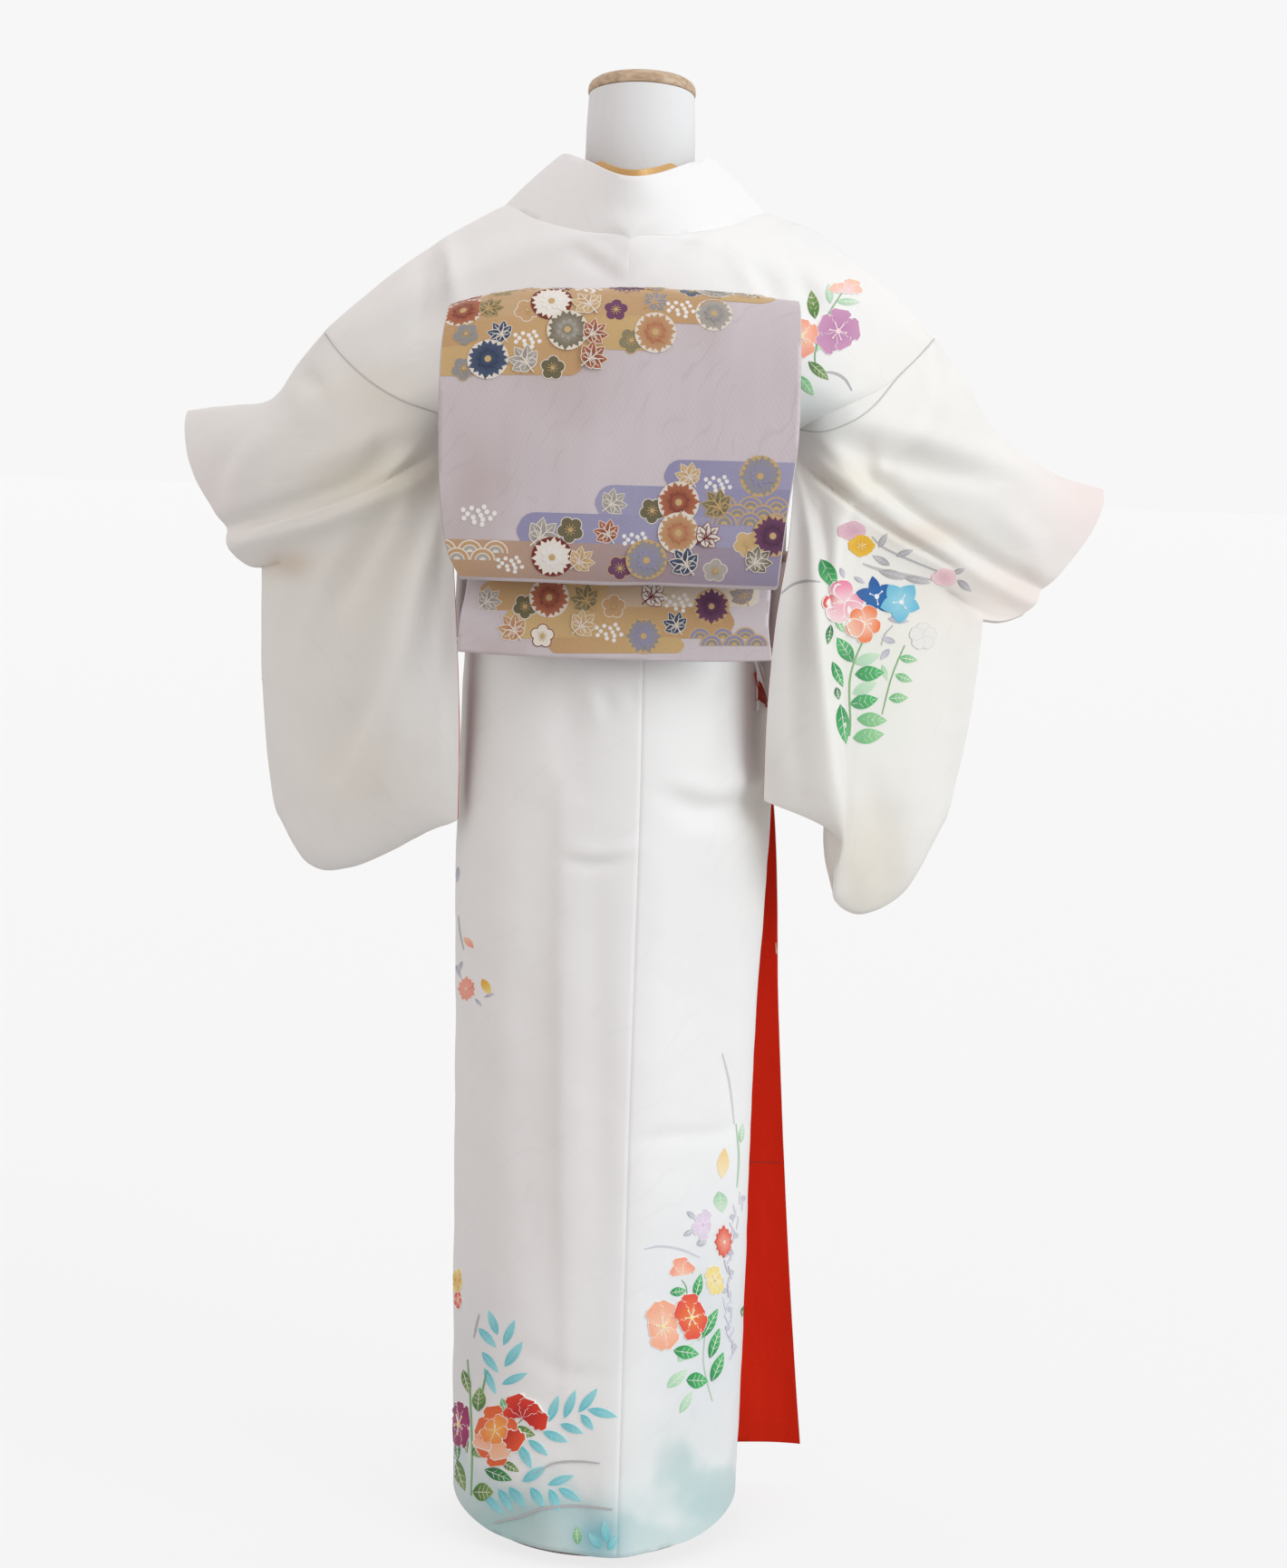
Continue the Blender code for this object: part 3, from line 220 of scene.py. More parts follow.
RIGHT_SECTIONS = (
    Section(
        .300, .020, 1.108, .198, -.072, .978, .184, -.080, .960, .203, -.108, .680,
        .022, 24, 10, 10, .065, .030, .036,
    ),
    Section(
        .315, .035, 1.090, .216, -.052, .966, .202, -.058, .955, .212, -.060, .640,
        .022, 30, 30, 66, .070, .020, .020,
    ),
    Section(
        .338, .065, 1.057, .243, -.020, .946, .232, -.014, .935, .218, -.006, .604,
        .022, 34, 34, 60, .078, .022, .022,
    ),
    Section(
        .372, .105, 1.032, .290, .028, .922, .278, .036, .912, .247, .020, .588,
        .022, 44, 44, 46, .080, .026, .026,
    ),
    Section(
        .420, .165, 1.008, .340, .078, .896, .318, .070, .888, .285, .050, .607,
        .020, 50, 50, 50, .078, .020, .020,
    ),
    Section(
        .4755, .220, .993, .389, .122, .872, .346, .086, .868, .318, .078, .668,
        .018, 52, 52, 52, .075, .012, .012,
    ),
)
LEFT_FURI_BACK = ((.1530, -.050, 1.006), (.153, -.062, .940), (.147, -.066, .850), (.143, -.067, .770),
                  (.1427, -.060, .6786))
LEFT_FURI_FRONT = ((.1545, .006, 1.010), (.157, -.030, .940), (.150, -.038, .850), (.144, -.041, .770),
                   (.1435, -.046, .705), (.1427, -.060, .6786))
RIGHT_FURI_BACK = ((.1530, -.050, 1.006), (.150, -.076, .940), (.140, -.092, .870), (.135, -.094, .790),
                   (.135, -.083, .708))
RIGHT_FURI_FRONT = ((.1545, .006, 1.010), (.159, -.032, .940), (.153, -.050, .870), (.149, -.060, .790),
                    (.144, -.068, .735), (.135, -.083, .708))

# Drum knot of the obi: its path seen from the side, with its left and right edges
Wrap = namedtuple("Wrap", "y z left right left_drop right_drop")
DRUM_PATH = (
    Wrap(-0.1215, 1.075, -0.140, 0.138, 0.000, 0.000),
    Wrap(-0.1225, 1.120, -0.146, 0.142, 0.004, 0.002),
    Wrap(-0.1360, 1.146, -0.150, 0.145, 0.014, 0.004),
    Wrap(-0.1600, 1.156, -0.151, 0.146, 0.018, 0.005),
    Wrap(-0.1840, 1.144, -0.153, 0.147, 0.016, 0.004),
    Wrap(-0.1980, 1.100, -0.156, 0.148, 0.006, 0.001),
    Wrap(-0.2040, 1.030, -0.156, 0.148, 0.000, 0.000),
    Wrap(-0.2050, 0.970, -0.153, 0.141, 0.000, 0.000),
    Wrap(-0.2020, 0.930, -0.147, 0.137, 0.000, 0.000),
    Wrap(-0.1930, 0.9055, -0.136, 0.135, 0.000, 0.000),
    Wrap(-0.1810, 0.909, -0.138, 0.133, 0.000, 0.000),
    Wrap(-0.1745, 0.935, -0.140, 0.132, 0.000, 0.000),
    Wrap(-0.1730, 0.985, -0.140, 0.132, 0.000, 0.000),
)
PAD_Y = -0.1560
PAD_Z = 1.1250
PAD_HALF_LENGTH = 0.112
PAD_HALF_DEPTH = 0.0255
PAD_HALF_HEIGHT = 0.0265
CORD_BEHIND = ((0.1300, -0.1000), (0.1365, -0.1250), (0.1368, -0.1500), (0.1260, -0.1690), (0.0800, -0.1700))
TAIL_PATH = (
    Wrap(-0.1243, 1.086, -0.132, 0.128, 0.0, 0.0),
    Wrap(-0.1243, 1.000, -0.134, 0.131, 0.0, 0.0),
    Wrap(-0.1370, 0.945, -0.130, 0.130, 0.0, 0.0),
    Wrap(-0.1490, 0.900, -0.132, 0.131, 0.0, 0.0),
    Wrap(-0.1545, 0.870, -0.137, 0.130, 0.0, 0.0),
    Wrap(-0.1560, 0.838, -0.1395, 0.134, -0.003, -0.003),
)
HAND_PATH = (Wrap(-0.1640, 0.985, -0.120, 0.116, 0, 0), Wrap(-0.1640, 0.905, -0.120, 0.116, 0, 0))

Bust = namedtuple("Bust", "height half_width half_depth x y")
BUST = (
    Bust(0.735, 0.120, 0.095, 0.000, -0.002),
    Bust(0.745, 0.128, 0.103, 0.000, -0.002),
    Bust(0.800, 0.1330, 0.1085, 0.000, -0.003),
    Bust(0.870, 0.1315, 0.1100, 0.000, -0.0045),
    Bust(0.940, 0.1300, 0.1092, 0.000, -0.0040),
    Bust(1.000, 0.1265, 0.1040, 0.000, -0.0040),
    Bust(1.040, 0.1250, 0.0980, 0.000, -0.002),
    Bust(1.090, 0.132, 0.090, 0.001, 0.001),
    Bust(1.135, 0.145, 0.076, 0.002, 0.000),
    Bust(1.165, 0.150, 0.062, 0.003, 0.000),
    Bust(1.190, 0.136, 0.054, 0.004, 0.002),
    Bust(1.210, 0.108, 0.050, 0.005, 0.004),
    Bust(1.228, 0.074, 0.048, 0.006, 0.006),
    Bust(1.246, 0.056, 0.047, 0.006, 0.008),
    Bust(1.275, 0.0505, 0.047, 0.006, 0.009),
    Bust(1.310, 0.0495, 0.046, 0.006, 0.009),
)
NECK_TILT = math.radians(10)

# The photograph's pixels at the form's middle, the top of level drawings, and the camera
SCALE = 0.00084
DRAWING_TOP = 1.455
PICTURE_WIDTH = 1420
PICTURE_HEIGHT = 1730
FOCAL_PIXELS = 2.6 / SCALE
CAMERA_PLACE = np.array((0.026, -2.6, 1.02))
PITCH = math.radians(6.803)
ROLL = math.radians(1.7)
FORWARD = np.array((0, math.cos(PITCH), -math.sin(PITCH)))
LEVEL_UP = np.array((0, math.sin(PITCH), math.cos(PITCH)))
LEVEL_RIGHT = np.array((1.0, 0, 0))
CAMERA_UP = LEVEL_UP * math.cos(ROLL) - LEVEL_RIGHT * math.sin(ROLL)
CAMERA_RIGHT = LEVEL_RIGHT * math.cos(ROLL) + LEVEL_UP * math.sin(ROLL)


def smooth(value):
    """Ease values from 0 to 1."""
    value = np.clip(value, 0.0, 1.0)
    return value * value * (3.0 - 2.0 * value)


def read(table, keys, field):
    """Read a field of a table at keys of its first column, on a smooth curve."""
    places = np.array([row[0] for row in table], float)
    values = np.array([getattr(row, field) for row in table], float)
    last = len(places) - 1
    keys = np.clip(keys, places[0], places[last])
    i = np.clip(np.searchsorted(places, keys, side="right") - 1, 0, last - 1)
    index = np.arange(last + 1)
    low, high = np.maximum(index - 1, 0), np.minimum(index + 1, last)
    slopes = (values[high] - values[low]) / (places[high] - places[low])
    span = places[i + 1] - places[i]
    t = (keys - places[i]) / span
    return (
        values[i] * (2 * t**3 - 3 * t**2 + 1)
        + slopes[i] * span * (t**3 - 2 * t**2 + t)
        + values[i + 1] * (3 * t**2 - 2 * t**3)
        + slopes[i + 1] * span * (t**3 - t**2)
    )


def refine(points, split):
    """Put split steps between neighbours, on a smooth curve through them all."""
    p = np.asarray(points, float)
    start, end = p[:-1, None], p[1:, None]
    before = np.concatenate([p[:1] * 2 - p[1:2], p[:-2]])[:, None]
    after = np.concatenate([p[2:], p[-1:] * 2 - p[-2:-1]])[:, None]
    t = (np.arange(split) / split).reshape((1, split) + (1,) * (p.ndim - 1))
    bend = before * 2 - start * 5 + end * 4 - after
    twist = start * 3 - before - end * 3 + after
    curve = (start * 2 + (end - before) * t + bend * t**2 + twist * t**3) / 2
    return np.concatenate([curve.reshape((-1,) + p.shape[1:]), p[-1:]])


def run_of(points):
    """Distance along a line at each of its points."""
    return np.concatenate([[0], np.cumsum(np.linalg.norm(np.diff(points, axis=0), axis=1))])


def turns(steps):
    """Angles of equal steps round a whole turn."""
    return TAU * np.arange(steps) / steps


def along(points, shares):
    """Points at shares of the length of a smooth curve."""
    curve = refine(points, 24)
    lengths = run_of(curve)
    want = np.asarray(shares) * lengths[-1]
    return np.stack([np.interp(want, lengths, curve[:, i]) for i in range(3)], -1)


def unit(vectors):
    """Vectors of length one."""
    return vectors / np.maximum(np.linalg.norm(vectors, axis=-1, keepdims=True), 1e-12)


def differences(grid, axis):
    """Central differences of a grid, one-sided at its ends."""
    grid = np.moveaxis(grid, axis, 0)
    step = np.concatenate([grid[1:2] - grid[:1], grid[2:] - grid[:-2], grid[-1:] - grid[-2:-1]])
    return np.moveaxis(step, 0, axis)


def normals_of(grid, closed=False, flip=False):
    """Unit normals of a grid of points, from its neighbours along and across."""
    across = np.roll(grid, -1, 1) - np.roll(grid, 1, 1) if closed else differences(grid, 1)
    normals = unit(np.cross(across, differences(grid, 0)))
    return -normals if flip else normals


# Places in the photograph's frame and in a level view from the front

def photo_places(points):
    """Pixels of the photograph at which points are seen."""
    away = points - CAMERA_PLACE
    depth = away @ FORWARD
    x = PICTURE_WIDTH / 2 + FOCAL_PIXELS * (away @ CAMERA_RIGHT) / depth
    y = PICTURE_HEIGHT / 2 - FOCAL_PIXELS * (away @ CAMERA_UP) / depth
    return np.stack([x, y], -1)


def front_places(points):
    """Places on a level drawing from the front, in units of the photograph's scale."""
    x = PICTURE_WIDTH / 2 - points[..., 0] / SCALE
    y = (DRAWING_TOP - points[..., 2]) / SCALE
    return np.stack([x, y], -1)


Crease = namedtuple("Crease", "width depth lean points")
BACK_CREASES = (
    # nape and yoke
    Crease(7, -2.3, 0.3, ((633, 276), (660, 292), (689, 312))),
    Crease(7, -2.3, 0.3, ((781, 251), (740, 284), (694, 314))),
    Crease(5, 1.7, 0.0, ((640, 262), (668, 280), (690, 300))),
    Crease(4, 2.0, 0.0, ((689, 262), (688, 320))),
    Crease(10, -4.3, -0.4, ((826, 296), (840, 309), (856, 330))),
    Crease(12, 3.6, 0.0, ((815, 288), (838, 318))),
    Crease(13, -4.9, 0.4, ((880, 296), (892, 318), (905, 350))),
    Crease(12, 3.8, 0.0, ((868, 300), (880, 345))),
    Crease(7, 4.9, 0.2, ((872, 250), (893, 254), (918, 272))),
    Crease(9, -2.6, 0.0, ((880, 266), (905, 275), (930, 296))),
    Crease(11, 6.1, -0.3, ((489, 268), (496, 300), (499, 345))),
    Crease(18, -5.2, -0.4, ((470, 280), (472, 320), (462, 372))),
    Crease(16, 2.3, 0.0, ((560, 262), (520, 290), (470, 330))),
    Crease(20, 2.6, 0.0, ((980, 330), (965, 390), (930, 450))),
    # left sleeve
    Crease(4.5, -6.5, 0.2, ((489, 497), (440, 523), (405, 537), (352, 557), (280, 577))),
    Crease(11, 5.2, -0.3, ((492, 514), (442, 542), (402, 557), (352, 577), (268, 600))),
    Crease(14, -3.0, 0.0, ((484, 478), (430, 500), (378, 522))),
    Crease(16, 3.4, 0.2, ((484, 458), (440, 470), (395, 492), (330, 520))),
    Crease(11, -4.2, 0.3, ((338, 408), (343, 418), (354, 430))),
    Crease(13, 2.9, 0.0, ((322, 420), (334, 440), (338, 470))),
    Crease(16, 3.2, 0.0, ((300, 470), (268, 505), (252, 560))),
    Crease(14, -3.2, 0.0, ((275, 470), (238, 520), (230, 590))),
    Crease(16, -8.5, 0.3, ((480, 552), (438, 650), (407, 769), (372, 850))),
    Crease(15, 8.0, 0.0, ((486, 560), (462, 660), (440, 770), (420, 860))),
    Crease(14, -7.0, 0.2, ((436, 552), (402, 610), (372, 670))),
    Crease(16, 3.8, 0.0, ((400, 575), (360, 640), (330, 720))),
    Crease(18, -3.8, 0.0, ((330, 620), (318, 720), (330, 830))),
    Crease(12, 3.5, 0.0, ((500, 600), (494, 700), (488, 820))),
    # right sleeve
    Crease(4.5, -6.5, -0.2, ((870, 498), (898, 524), (928, 547), (960, 571), (998, 596), (1050, 626))),
    Crease(11, 5.0, 0.3, ((880, 486), (912, 514), (944, 538), (978, 560), (1020, 584), (1066, 606))),
    Crease(16, -5.4, -0.2, ((892, 470), (950, 498), (1010, 515), (1090, 530))),
    Crease(17, 4.6, 0.0, ((930, 462), (990, 473), (1060, 497), (1140, 520))),
    Crease(14, -3.5, 0.0, ((1037, 385), (1050, 420), (1066, 455))),
    Crease(14, 3.2, 0.0, ((1052, 372), (1074, 420), (1100, 470))),
    Crease(13, -2.9, 0.0, ((1105, 480), (1150, 515), (1200, 545))),
    Crease(15, 2.9, 0.0, ((1100, 560), (1140, 600), (1150, 655))),
    Crease(9, 4.2, 0.5, ((872, 510), (885, 545), (896, 600), (903, 700), (912, 790), (920, 870))),
    Crease(8, -4.8, -0.4, ((903, 560), (911, 600), (918, 700), (927, 790), (937, 870))),
    Crease(13, -3.8, 0.0, ((870, 560), (868, 680), (872, 800), (882, 880))),
    Crease(17, -4.2, 0.0, ((960, 850), (972, 920), (975, 985))),
    Crease(17, 3.8, 0.0, ((1010, 760), (1005, 860), (996, 950))),
    Crease(16, -2.9, 0.0, ((1050, 690), (1046, 790), (1035, 880))),
    # skirt
    Crease(7, -2.5, 0.3, ((622, 948), (650, 953), (672, 951), (702, 944))),
    Crease(9, 2.0, 0.0, ((630, 938), (664, 942), (700, 934))),
    Crease(13, -3.6, 0.3, ((738, 878), (772, 893), (812, 890), (850, 868))),
    Crease(12, 2.8, 0.0, ((745, 862), (790, 874), (845, 852))),
    Crease(8, -2.5, 0.0, ((657, 728), (662, 750), (674, 782))),
    Crease(7, -2.0, 0.0, ((690, 730), (694, 752), (700, 775))),
    Crease(8, -2.2, 0.0, ((806, 728), (801, 752), (790, 784))),
    Crease(8, 1.8, 0.0, ((646, 730), (650, 760), (660, 800))),
    Crease(20, 3.1, -0.5, ((622, 860), (620, 1050), (621, 1300), (628, 1560))),
    Crease(24, -2.2, 0.0, ((590, 900), (586, 1150), (588, 1440))),
    Crease(20, -2.2, 0.0, ((655, 960), (660, 1200), (664, 1500))),
    Crease(22, 2.0, 0.0, ((540, 820), (536, 1050), (540, 1300))),
    Crease(26, -2.8, 0.0, ((770, 960), (768, 1130), (762, 1290), (752, 1480))),
    Crease(20, 2.2, 0.0, ((806, 940), (812, 1100), (806, 1300))),
    Crease(9, -1.7, 0.0, ((800, 1168), (808, 1205), (812, 1240))),
    Crease(10, -1.8, 0.3, ((702, 1258), (740, 1252), (790, 1250), (822, 1240))),
    Crease(12, -1.7, 0.0, ((575, 1490), (620, 1515), (672, 1520))),
    Crease(30, -3.4, 0.0, ((560, 1640), (556, 1690))),
    Crease(22, 2.8, 0.0, ((600, 1640), (606, 1700))),
    Crease(22, -2.5, 0.0, ((640, 1650), (645, 1705))),
)
FRONT_CREASES = (
    Crease(16, -2.6, 0.3, ((520, 330), (560, 380), (600, 460))),
    Crease(15, 2.2, 0.0, ((500, 350), (535, 410), (570, 480))),
    Crease(18, -2.4, 0.0, ((470, 380), (520, 440), (540, 500))),
    Crease(16, -2.6, -0.3, ((900, 330), (862, 390), (840, 470))),
    Crease(15, 2.2, 0.0, ((920, 350), (890, 420), (866, 490))),
    Crease(18, -2.2, 0.0, ((950, 380), (905, 440), (880, 505))),
    Crease(20, -3.4, 0.2, ((880, 520), (960, 600), (1040, 660), (1120, 690))),
    Crease(18, 2.6, 0.0, ((890, 500), (980, 560), (1070, 610))),
    Crease(20, -3.0, 0.0, ((890, 560), (930, 700), (960, 860))),
    Crease(22, 2.6, 0.0, ((960, 620), (990, 760), (1000, 880))),
    Crease(20, -2.4, 0.0, ((1050, 700), (1060, 800), (1050, 920))),
    Crease(20, -3.4, -0.2, ((540, 520), (460, 590), (380, 640), (300, 670))),
    Crease(18, 2.6, 0.0, ((530, 500), (450, 550), (360, 600))),
    Crease(20, -3.0, 0.0, ((530, 560), (500, 700), (470, 860))),
    Crease(22, 2.6, 0.0, ((460, 640), (440, 780), (440, 900))),
    Crease(20, -2.2, 0.0, ((390, 700), (380, 820), (390, 930))),
    Crease(18, -2.2, 0.0, ((600, 830), (640, 1000), (620, 1300))),
    Crease(24, 2.0, 0.0, ((640, 850), (690, 1050), (680, 1400))),
    Crease(20, -2.4, 0.0, ((720, 830), (760, 1010), (790, 1300), (800, 1560))),
    Crease(24, 1.8, 0.0, ((790, 840), (830, 1100), (840, 1450))),
    Crease(9, -1.6, 0.2, ((590, 940), (650, 955), (720, 948))),
    Crease(10, -1.4, 0.0, ((700, 900), (760, 912), (830, 900))),
)


def crease_depth(places, creases):
    """Sum of soft creases at flat places, in metres."""
    flat = places.reshape(-1, 2)
    total = np.zeros(len(flat))
    for crease in creases:
        line = np.array(crease.points, float)
        runs = np.diff(line, axis=0)
        lengths = np.linalg.norm(runs, axis=1)
        starts = run_of(line)
        best = np.full(len(flat), 1e9)
        share = np.zeros(len(flat))
        side = np.zeros(len(flat))
        for a, run, length, start in zip(line, runs, lengths, starts):
            offset = flat - a
            t = np.clip(offset @ run / length**2, 0, 1)
            gap = offset - t[:, None] * run
            away = np.hypot(gap[:, 0], gap[:, 1])
            nearer = away < best
            best = np.where(nearer, away, best)
            share = np.where(nearer, (start + t * length) / starts[-1], share)
            side = np.where(nearer, np.sign(run[0] * offset[:, 1] - run[1] * offset[:, 0]), side)
        fade = np.sin(math.pi * (0.05 + 0.90 * share)) ** 0.6
        width = crease.width * (1 + crease.lean * side)
        total += crease.depth * 0.001 * fade * np.exp(-((best / width) ** 2))
    return total.reshape(places.shape[:-1])


def ripple(points, size, height, seed):
    """A soft random relief that depends on the place alone."""
    flat = points.reshape(-1, 3) / size + seed
    values = np.array([noise.noise(Vector(p)) for p in flat])
    return values.reshape(points.shape[:-1]) * height


def creased(grid, normals, strength=1.0, ripples=0.0010):
    """The grid with listed creases and a soft unevenness, seen from the back and from the front."""
    to_camera = unit(CAMERA_PLACE - grid)
    back = smooth((normals * to_camera).sum(-1) * 2.2 + 0.2)
    front = smooth(normals[..., 1] * 2.2 + 0.1)
    relief = crease_depth(photo_places(grid), BACK_CREASES) * back
    relief += crease_depth(front_places(grid), FRONT_CREASES) * front
    relief += ripple(grid, 0.055, ripples, 3.7) + ripple(grid, 0.021, ripples * 0.35, 9.1)
    return grid + normals * (relief * strength)[..., None]


# Making cloth meshes

def finish_piece(name, points, faces, finishes, slots=None, uv=None, tint_and_painted_light=None, sharp=50):
    """Make a mesh object with its materials, flat coordinates and a colour attribute of dyed tints with
    painted shade and light.
    """
    mesh = bpy.data.meshes.new(name)
    mesh.from_pydata(np.asarray(points).tolist(), [], faces)
    for item in finishes:
        mesh.materials.append(item)
    if slots is not None:
        mesh.polygons.foreach_set("material_index", np.asarray(slots, np.int32))
    corners = np.zeros(len(mesh.loops), np.int32)
    mesh.loops.foreach_get("vertex_index", corners)
    if uv is not None:
        layer = mesh.uv_layers.new(name="flat")
        layer.data.foreach_set("uv", np.asarray(uv, np.float32)[corners].ravel())
    if tint_and_painted_light is not None:
        layer = mesh.color_attributes.new("tint_and_painted_light", "FLOAT_COLOR", "POINT")
        layer.data.foreach_set("color", np.asarray(tint_and_painted_light, np.float32).ravel())
    work = bmesh.new()
    work.from_mesh(mesh)
    bmesh.ops.recalc_face_normals(work, faces=work.faces)
    work.to_mesh(mesh)
    work.free()
    mesh.shade_smooth()
    mesh.set_sharp_from_angle(angle=math.radians(sharp))
    piece = bpy.data.objects.new(name, mesh)
    bpy.context.scene.collection.objects.link(piece)
    return piece


def grid_faces(rows, columns, start=0, closed=False, flip=False):
    """Quads of a grid of points."""
    r, c = np.meshgrid(np.arange(rows - 1), np.arange(columns if closed else columns - 1), indexing="ij")
    a, b = r * columns + c, r * columns + (c + 1) % columns
    quads = np.stack([a, b, b + columns, a + columns], -1).reshape(-1, 4) + start
    return (quads[:, ::-1] if flip else quads).tolist()


def flat_coordinates(grid):
    """Coordinates of a grid on the flat cloth, in metres."""
    down, across = (np.linalg.norm(np.diff(grid, axis=i), axis=-1).mean() for i in (0, 1))
    r, c = np.meshgrid(np.arange(grid.shape[0]) * down, np.arange(grid.shape[1]) * across, indexing="ij")
    return np.stack([c, r], -1).reshape(-1, 2)


RIM_REACH = 0.42


class Wall:
    """A wall between two grids of points, to which rims are added."""

    def __init__(self, outer, inner, closed, finishes):
        rows, columns = outer.shape[:2]
        self.count = rows * columns
        self.outer, self.inner = outer.reshape(-1, 3), inner.reshape(-1, 3)
        self.flat = flat_coordinates(outer)
        self.points = [self.outer, self.inner]
        self.uvs = [self.flat, self.flat]
        self.total = 2 * self.count
        self.faces = grid_faces(rows, columns, 0, closed)
        self.slots = [0] * len(self.faces) + [len(finishes) - 1] * len(self.faces)
        self.faces += grid_faces(rows, columns, self.count, closed, flip=True)
        self.finishes = finishes

    def add(self, points, near):
        """Add points, with the flat coordinates of outer points near them, and give their numbers."""
        self.points.append(points)
        self.uvs.append(self.flat[near])
        self.total += len(points)
        return range(self.total - len(points), self.total)

    def rim_points(self, border, inside):
        """Points between the two faces of a border, pushed out for a rounded rim."""
        a, b = self.outer[border], self.inner[border]
        thick = np.linalg.norm(a - b, axis=-1, keepdims=True)
        return (a + b) / 2 + unit(a - self.outer[inside]) * thick * RIM_REACH

    def close(self, border, rim, loops, slots):
        """Faces from a border of the outer grid over its rim to the inner grid."""
        for i in range(len(border) if loops else len(border) - 1):
            j = (i + 1) % len(border)
            a, b = int(border[i]), int(border[j])
            self.faces += [(a, b, rim[j], rim[i]), (rim[i], rim[j], b + self.count, a + self.count)]
            self.slots += slots

    def piece(self, name):
        """The finished piece, with its dyed tints and painted shade and light where it is silk."""
        points = np.concatenate(self.points)
        colours = None
        if self.finishes[0] is SILK:
            colours = np.ones((len(points), 4))
            colours[:, :3] = tint_and_painted_light_colours(points)
        flat = np.concatenate(self.uvs)
        return finish_piece(name, points, self.faces, self.finishes, self.slots, flat, colours)


def cloth(name, outer, inner, finishes, closed=False, rim_slot=0):
    """A wall between two grids, with rounded rims. The first finish is outside and the last inside."""
    wall = Wall(outer, inner, closed, finishes)
    index = np.arange(wall.count).reshape(outer.shape[:2])
    borders = [(index[0], index[1]), (index[-1], index[-2])]
    if not closed:
        borders += [(index[:, 0], index[:, 1]), (index[:, -1], index[:, -2])]
    numbers = {}
    for border, inside in borders:
        new = np.array([place not in numbers for place in border.tolist()])
        fresh = wall.add(wall.rim_points(border, inside)[new], border[new])
        numbers.update(zip(border[new].tolist(), fresh))
        wall.close(border, [numbers[place] for place in border.tolist()], closed, [rim_slot, rim_slot])
    return wall.piece(name)


# Dyed tints, painted shade and painted light on the silk

# Soft blobs that multiply the silk's colour, each at a pixel place with its reach and strength. Dyed tints
# among them: the pale blues at the right shoulder and armhole, the pinks at both cuffs and the aqua at the
# hem.
ToneBlob = namedtuple("ToneBlob", "x y reach_x reach_y colour strength")
# Painted shade among them: the warm darkening in the sleeves' folds, at the left armhole, under the rolls and
# in the hollows beside the right sleeve (318, 622; 420, 430; 430, 530; 450, 490; 440, 620; 400, 860; 930,
# 530; 1020, 590; 882, 740; 958, 958; 845, 900), and the grey band of a skirt fold (600, 1260). Painted light:
# the blobs above 1, which lighten shaded cloth (893, 560; 470, 705; 240, 540). The broad warm tones over both
# sleeves, the green on the right sleeve and the cooler greys low on the skirt darken the silk there.
TINTS_AND_PAINTED_LIGHT = (
    ToneBlob(890, 452, 46, 34, (0.66, 0.78, 0.80), 0.55),
    ToneBlob(930, 250, 60, 34, (0.80, 0.86, 0.90), 0.35),
    ToneBlob(1205, 555, 60, 70, (0.93, 0.72, 0.70), 0.50),
    ToneBlob(1120, 660, 80, 40, (0.93, 0.74, 0.70), 0.40),
    ToneBlob(225, 560, 50, 70, (0.93, 0.84, 0.82), 0.30),
    ToneBlob(318, 622, 26, 14, (0.74, 0.56, 0.42), 0.50),
    ToneBlob(390, 640, 190, 330, (0.985, 0.965, 0.895), 0.90),
    ToneBlob(1000, 640, 190, 330, (0.985, 0.960, 0.900), 0.90),
    ToneBlob(660, 1697, 26, 26, (0.20, 0.62, 0.74), 0.75),
    ToneBlob(545, 1690, 60, 26, (0.45, 0.70, 0.68), 0.60),
    ToneBlob(600, 1665, 80, 16, (0.60, 0.78, 0.78), 0.45),
    ToneBlob(760, 1660, 120, 30, (0.62, 0.80, 0.80), 0.45),
    ToneBlob(740, 1600, 60, 36, (0.74, 0.82, 0.80), 0.35),
    ToneBlob(960, 740, 60, 90, (0.80, 0.88, 0.78), 0.30),
    ToneBlob(790, 1460, 50, 90, (0.82, 0.84, 0.88), 0.30),
    ToneBlob(520, 1500, 34, 100, (0.78, 0.80, 0.81), 0.50),
    ToneBlob(430, 530, 80, 26, (0.93, 0.90, 0.79), 0.60),
    ToneBlob(440, 620, 50, 70, (0.97, 0.94, 0.86), 0.30),
    ToneBlob(400, 860, 70, 60, (0.94, 0.91, 0.84), 0.45),
    ToneBlob(420, 430, 70, 30, (0.94, 0.92, 0.83), 0.45),
    ToneBlob(930, 530, 50, 26, (0.93, 0.89, 0.77), 0.50),
    ToneBlob(958, 958, 50, 80, (0.87, 0.83, 0.75), 0.95),
    ToneBlob(893, 560, 26, 70, (1.12, 1.12, 1.13), 0.90),
    ToneBlob(470, 705, 44, 120, (1.10, 1.12, 1.15), 0.90),
    ToneBlob(240, 540, 50, 60, (1.05, 1.04, 1.06), 0.80),
    ToneBlob(882, 740, 20, 150, (0.97, 0.94, 0.88), 0.25),
    ToneBlob(845, 900, 22, 90, (0.90, 0.86, 0.80), 0.50),
    ToneBlob(600, 1260, 90, 260, (0.93, 0.90, 0.89), 0.75),
    ToneBlob(770, 1480, 74, 140, (0.83, 0.87, 0.89), 0.70),
    ToneBlob(450, 490, 60, 30, (0.93, 0.90, 0.80), 0.30),
    ToneBlob(1020, 590, 40, 14, (0.90, 0.74, 0.62), 0.40),
)
AQUA = np.array((0.56, 0.76, 0.76))


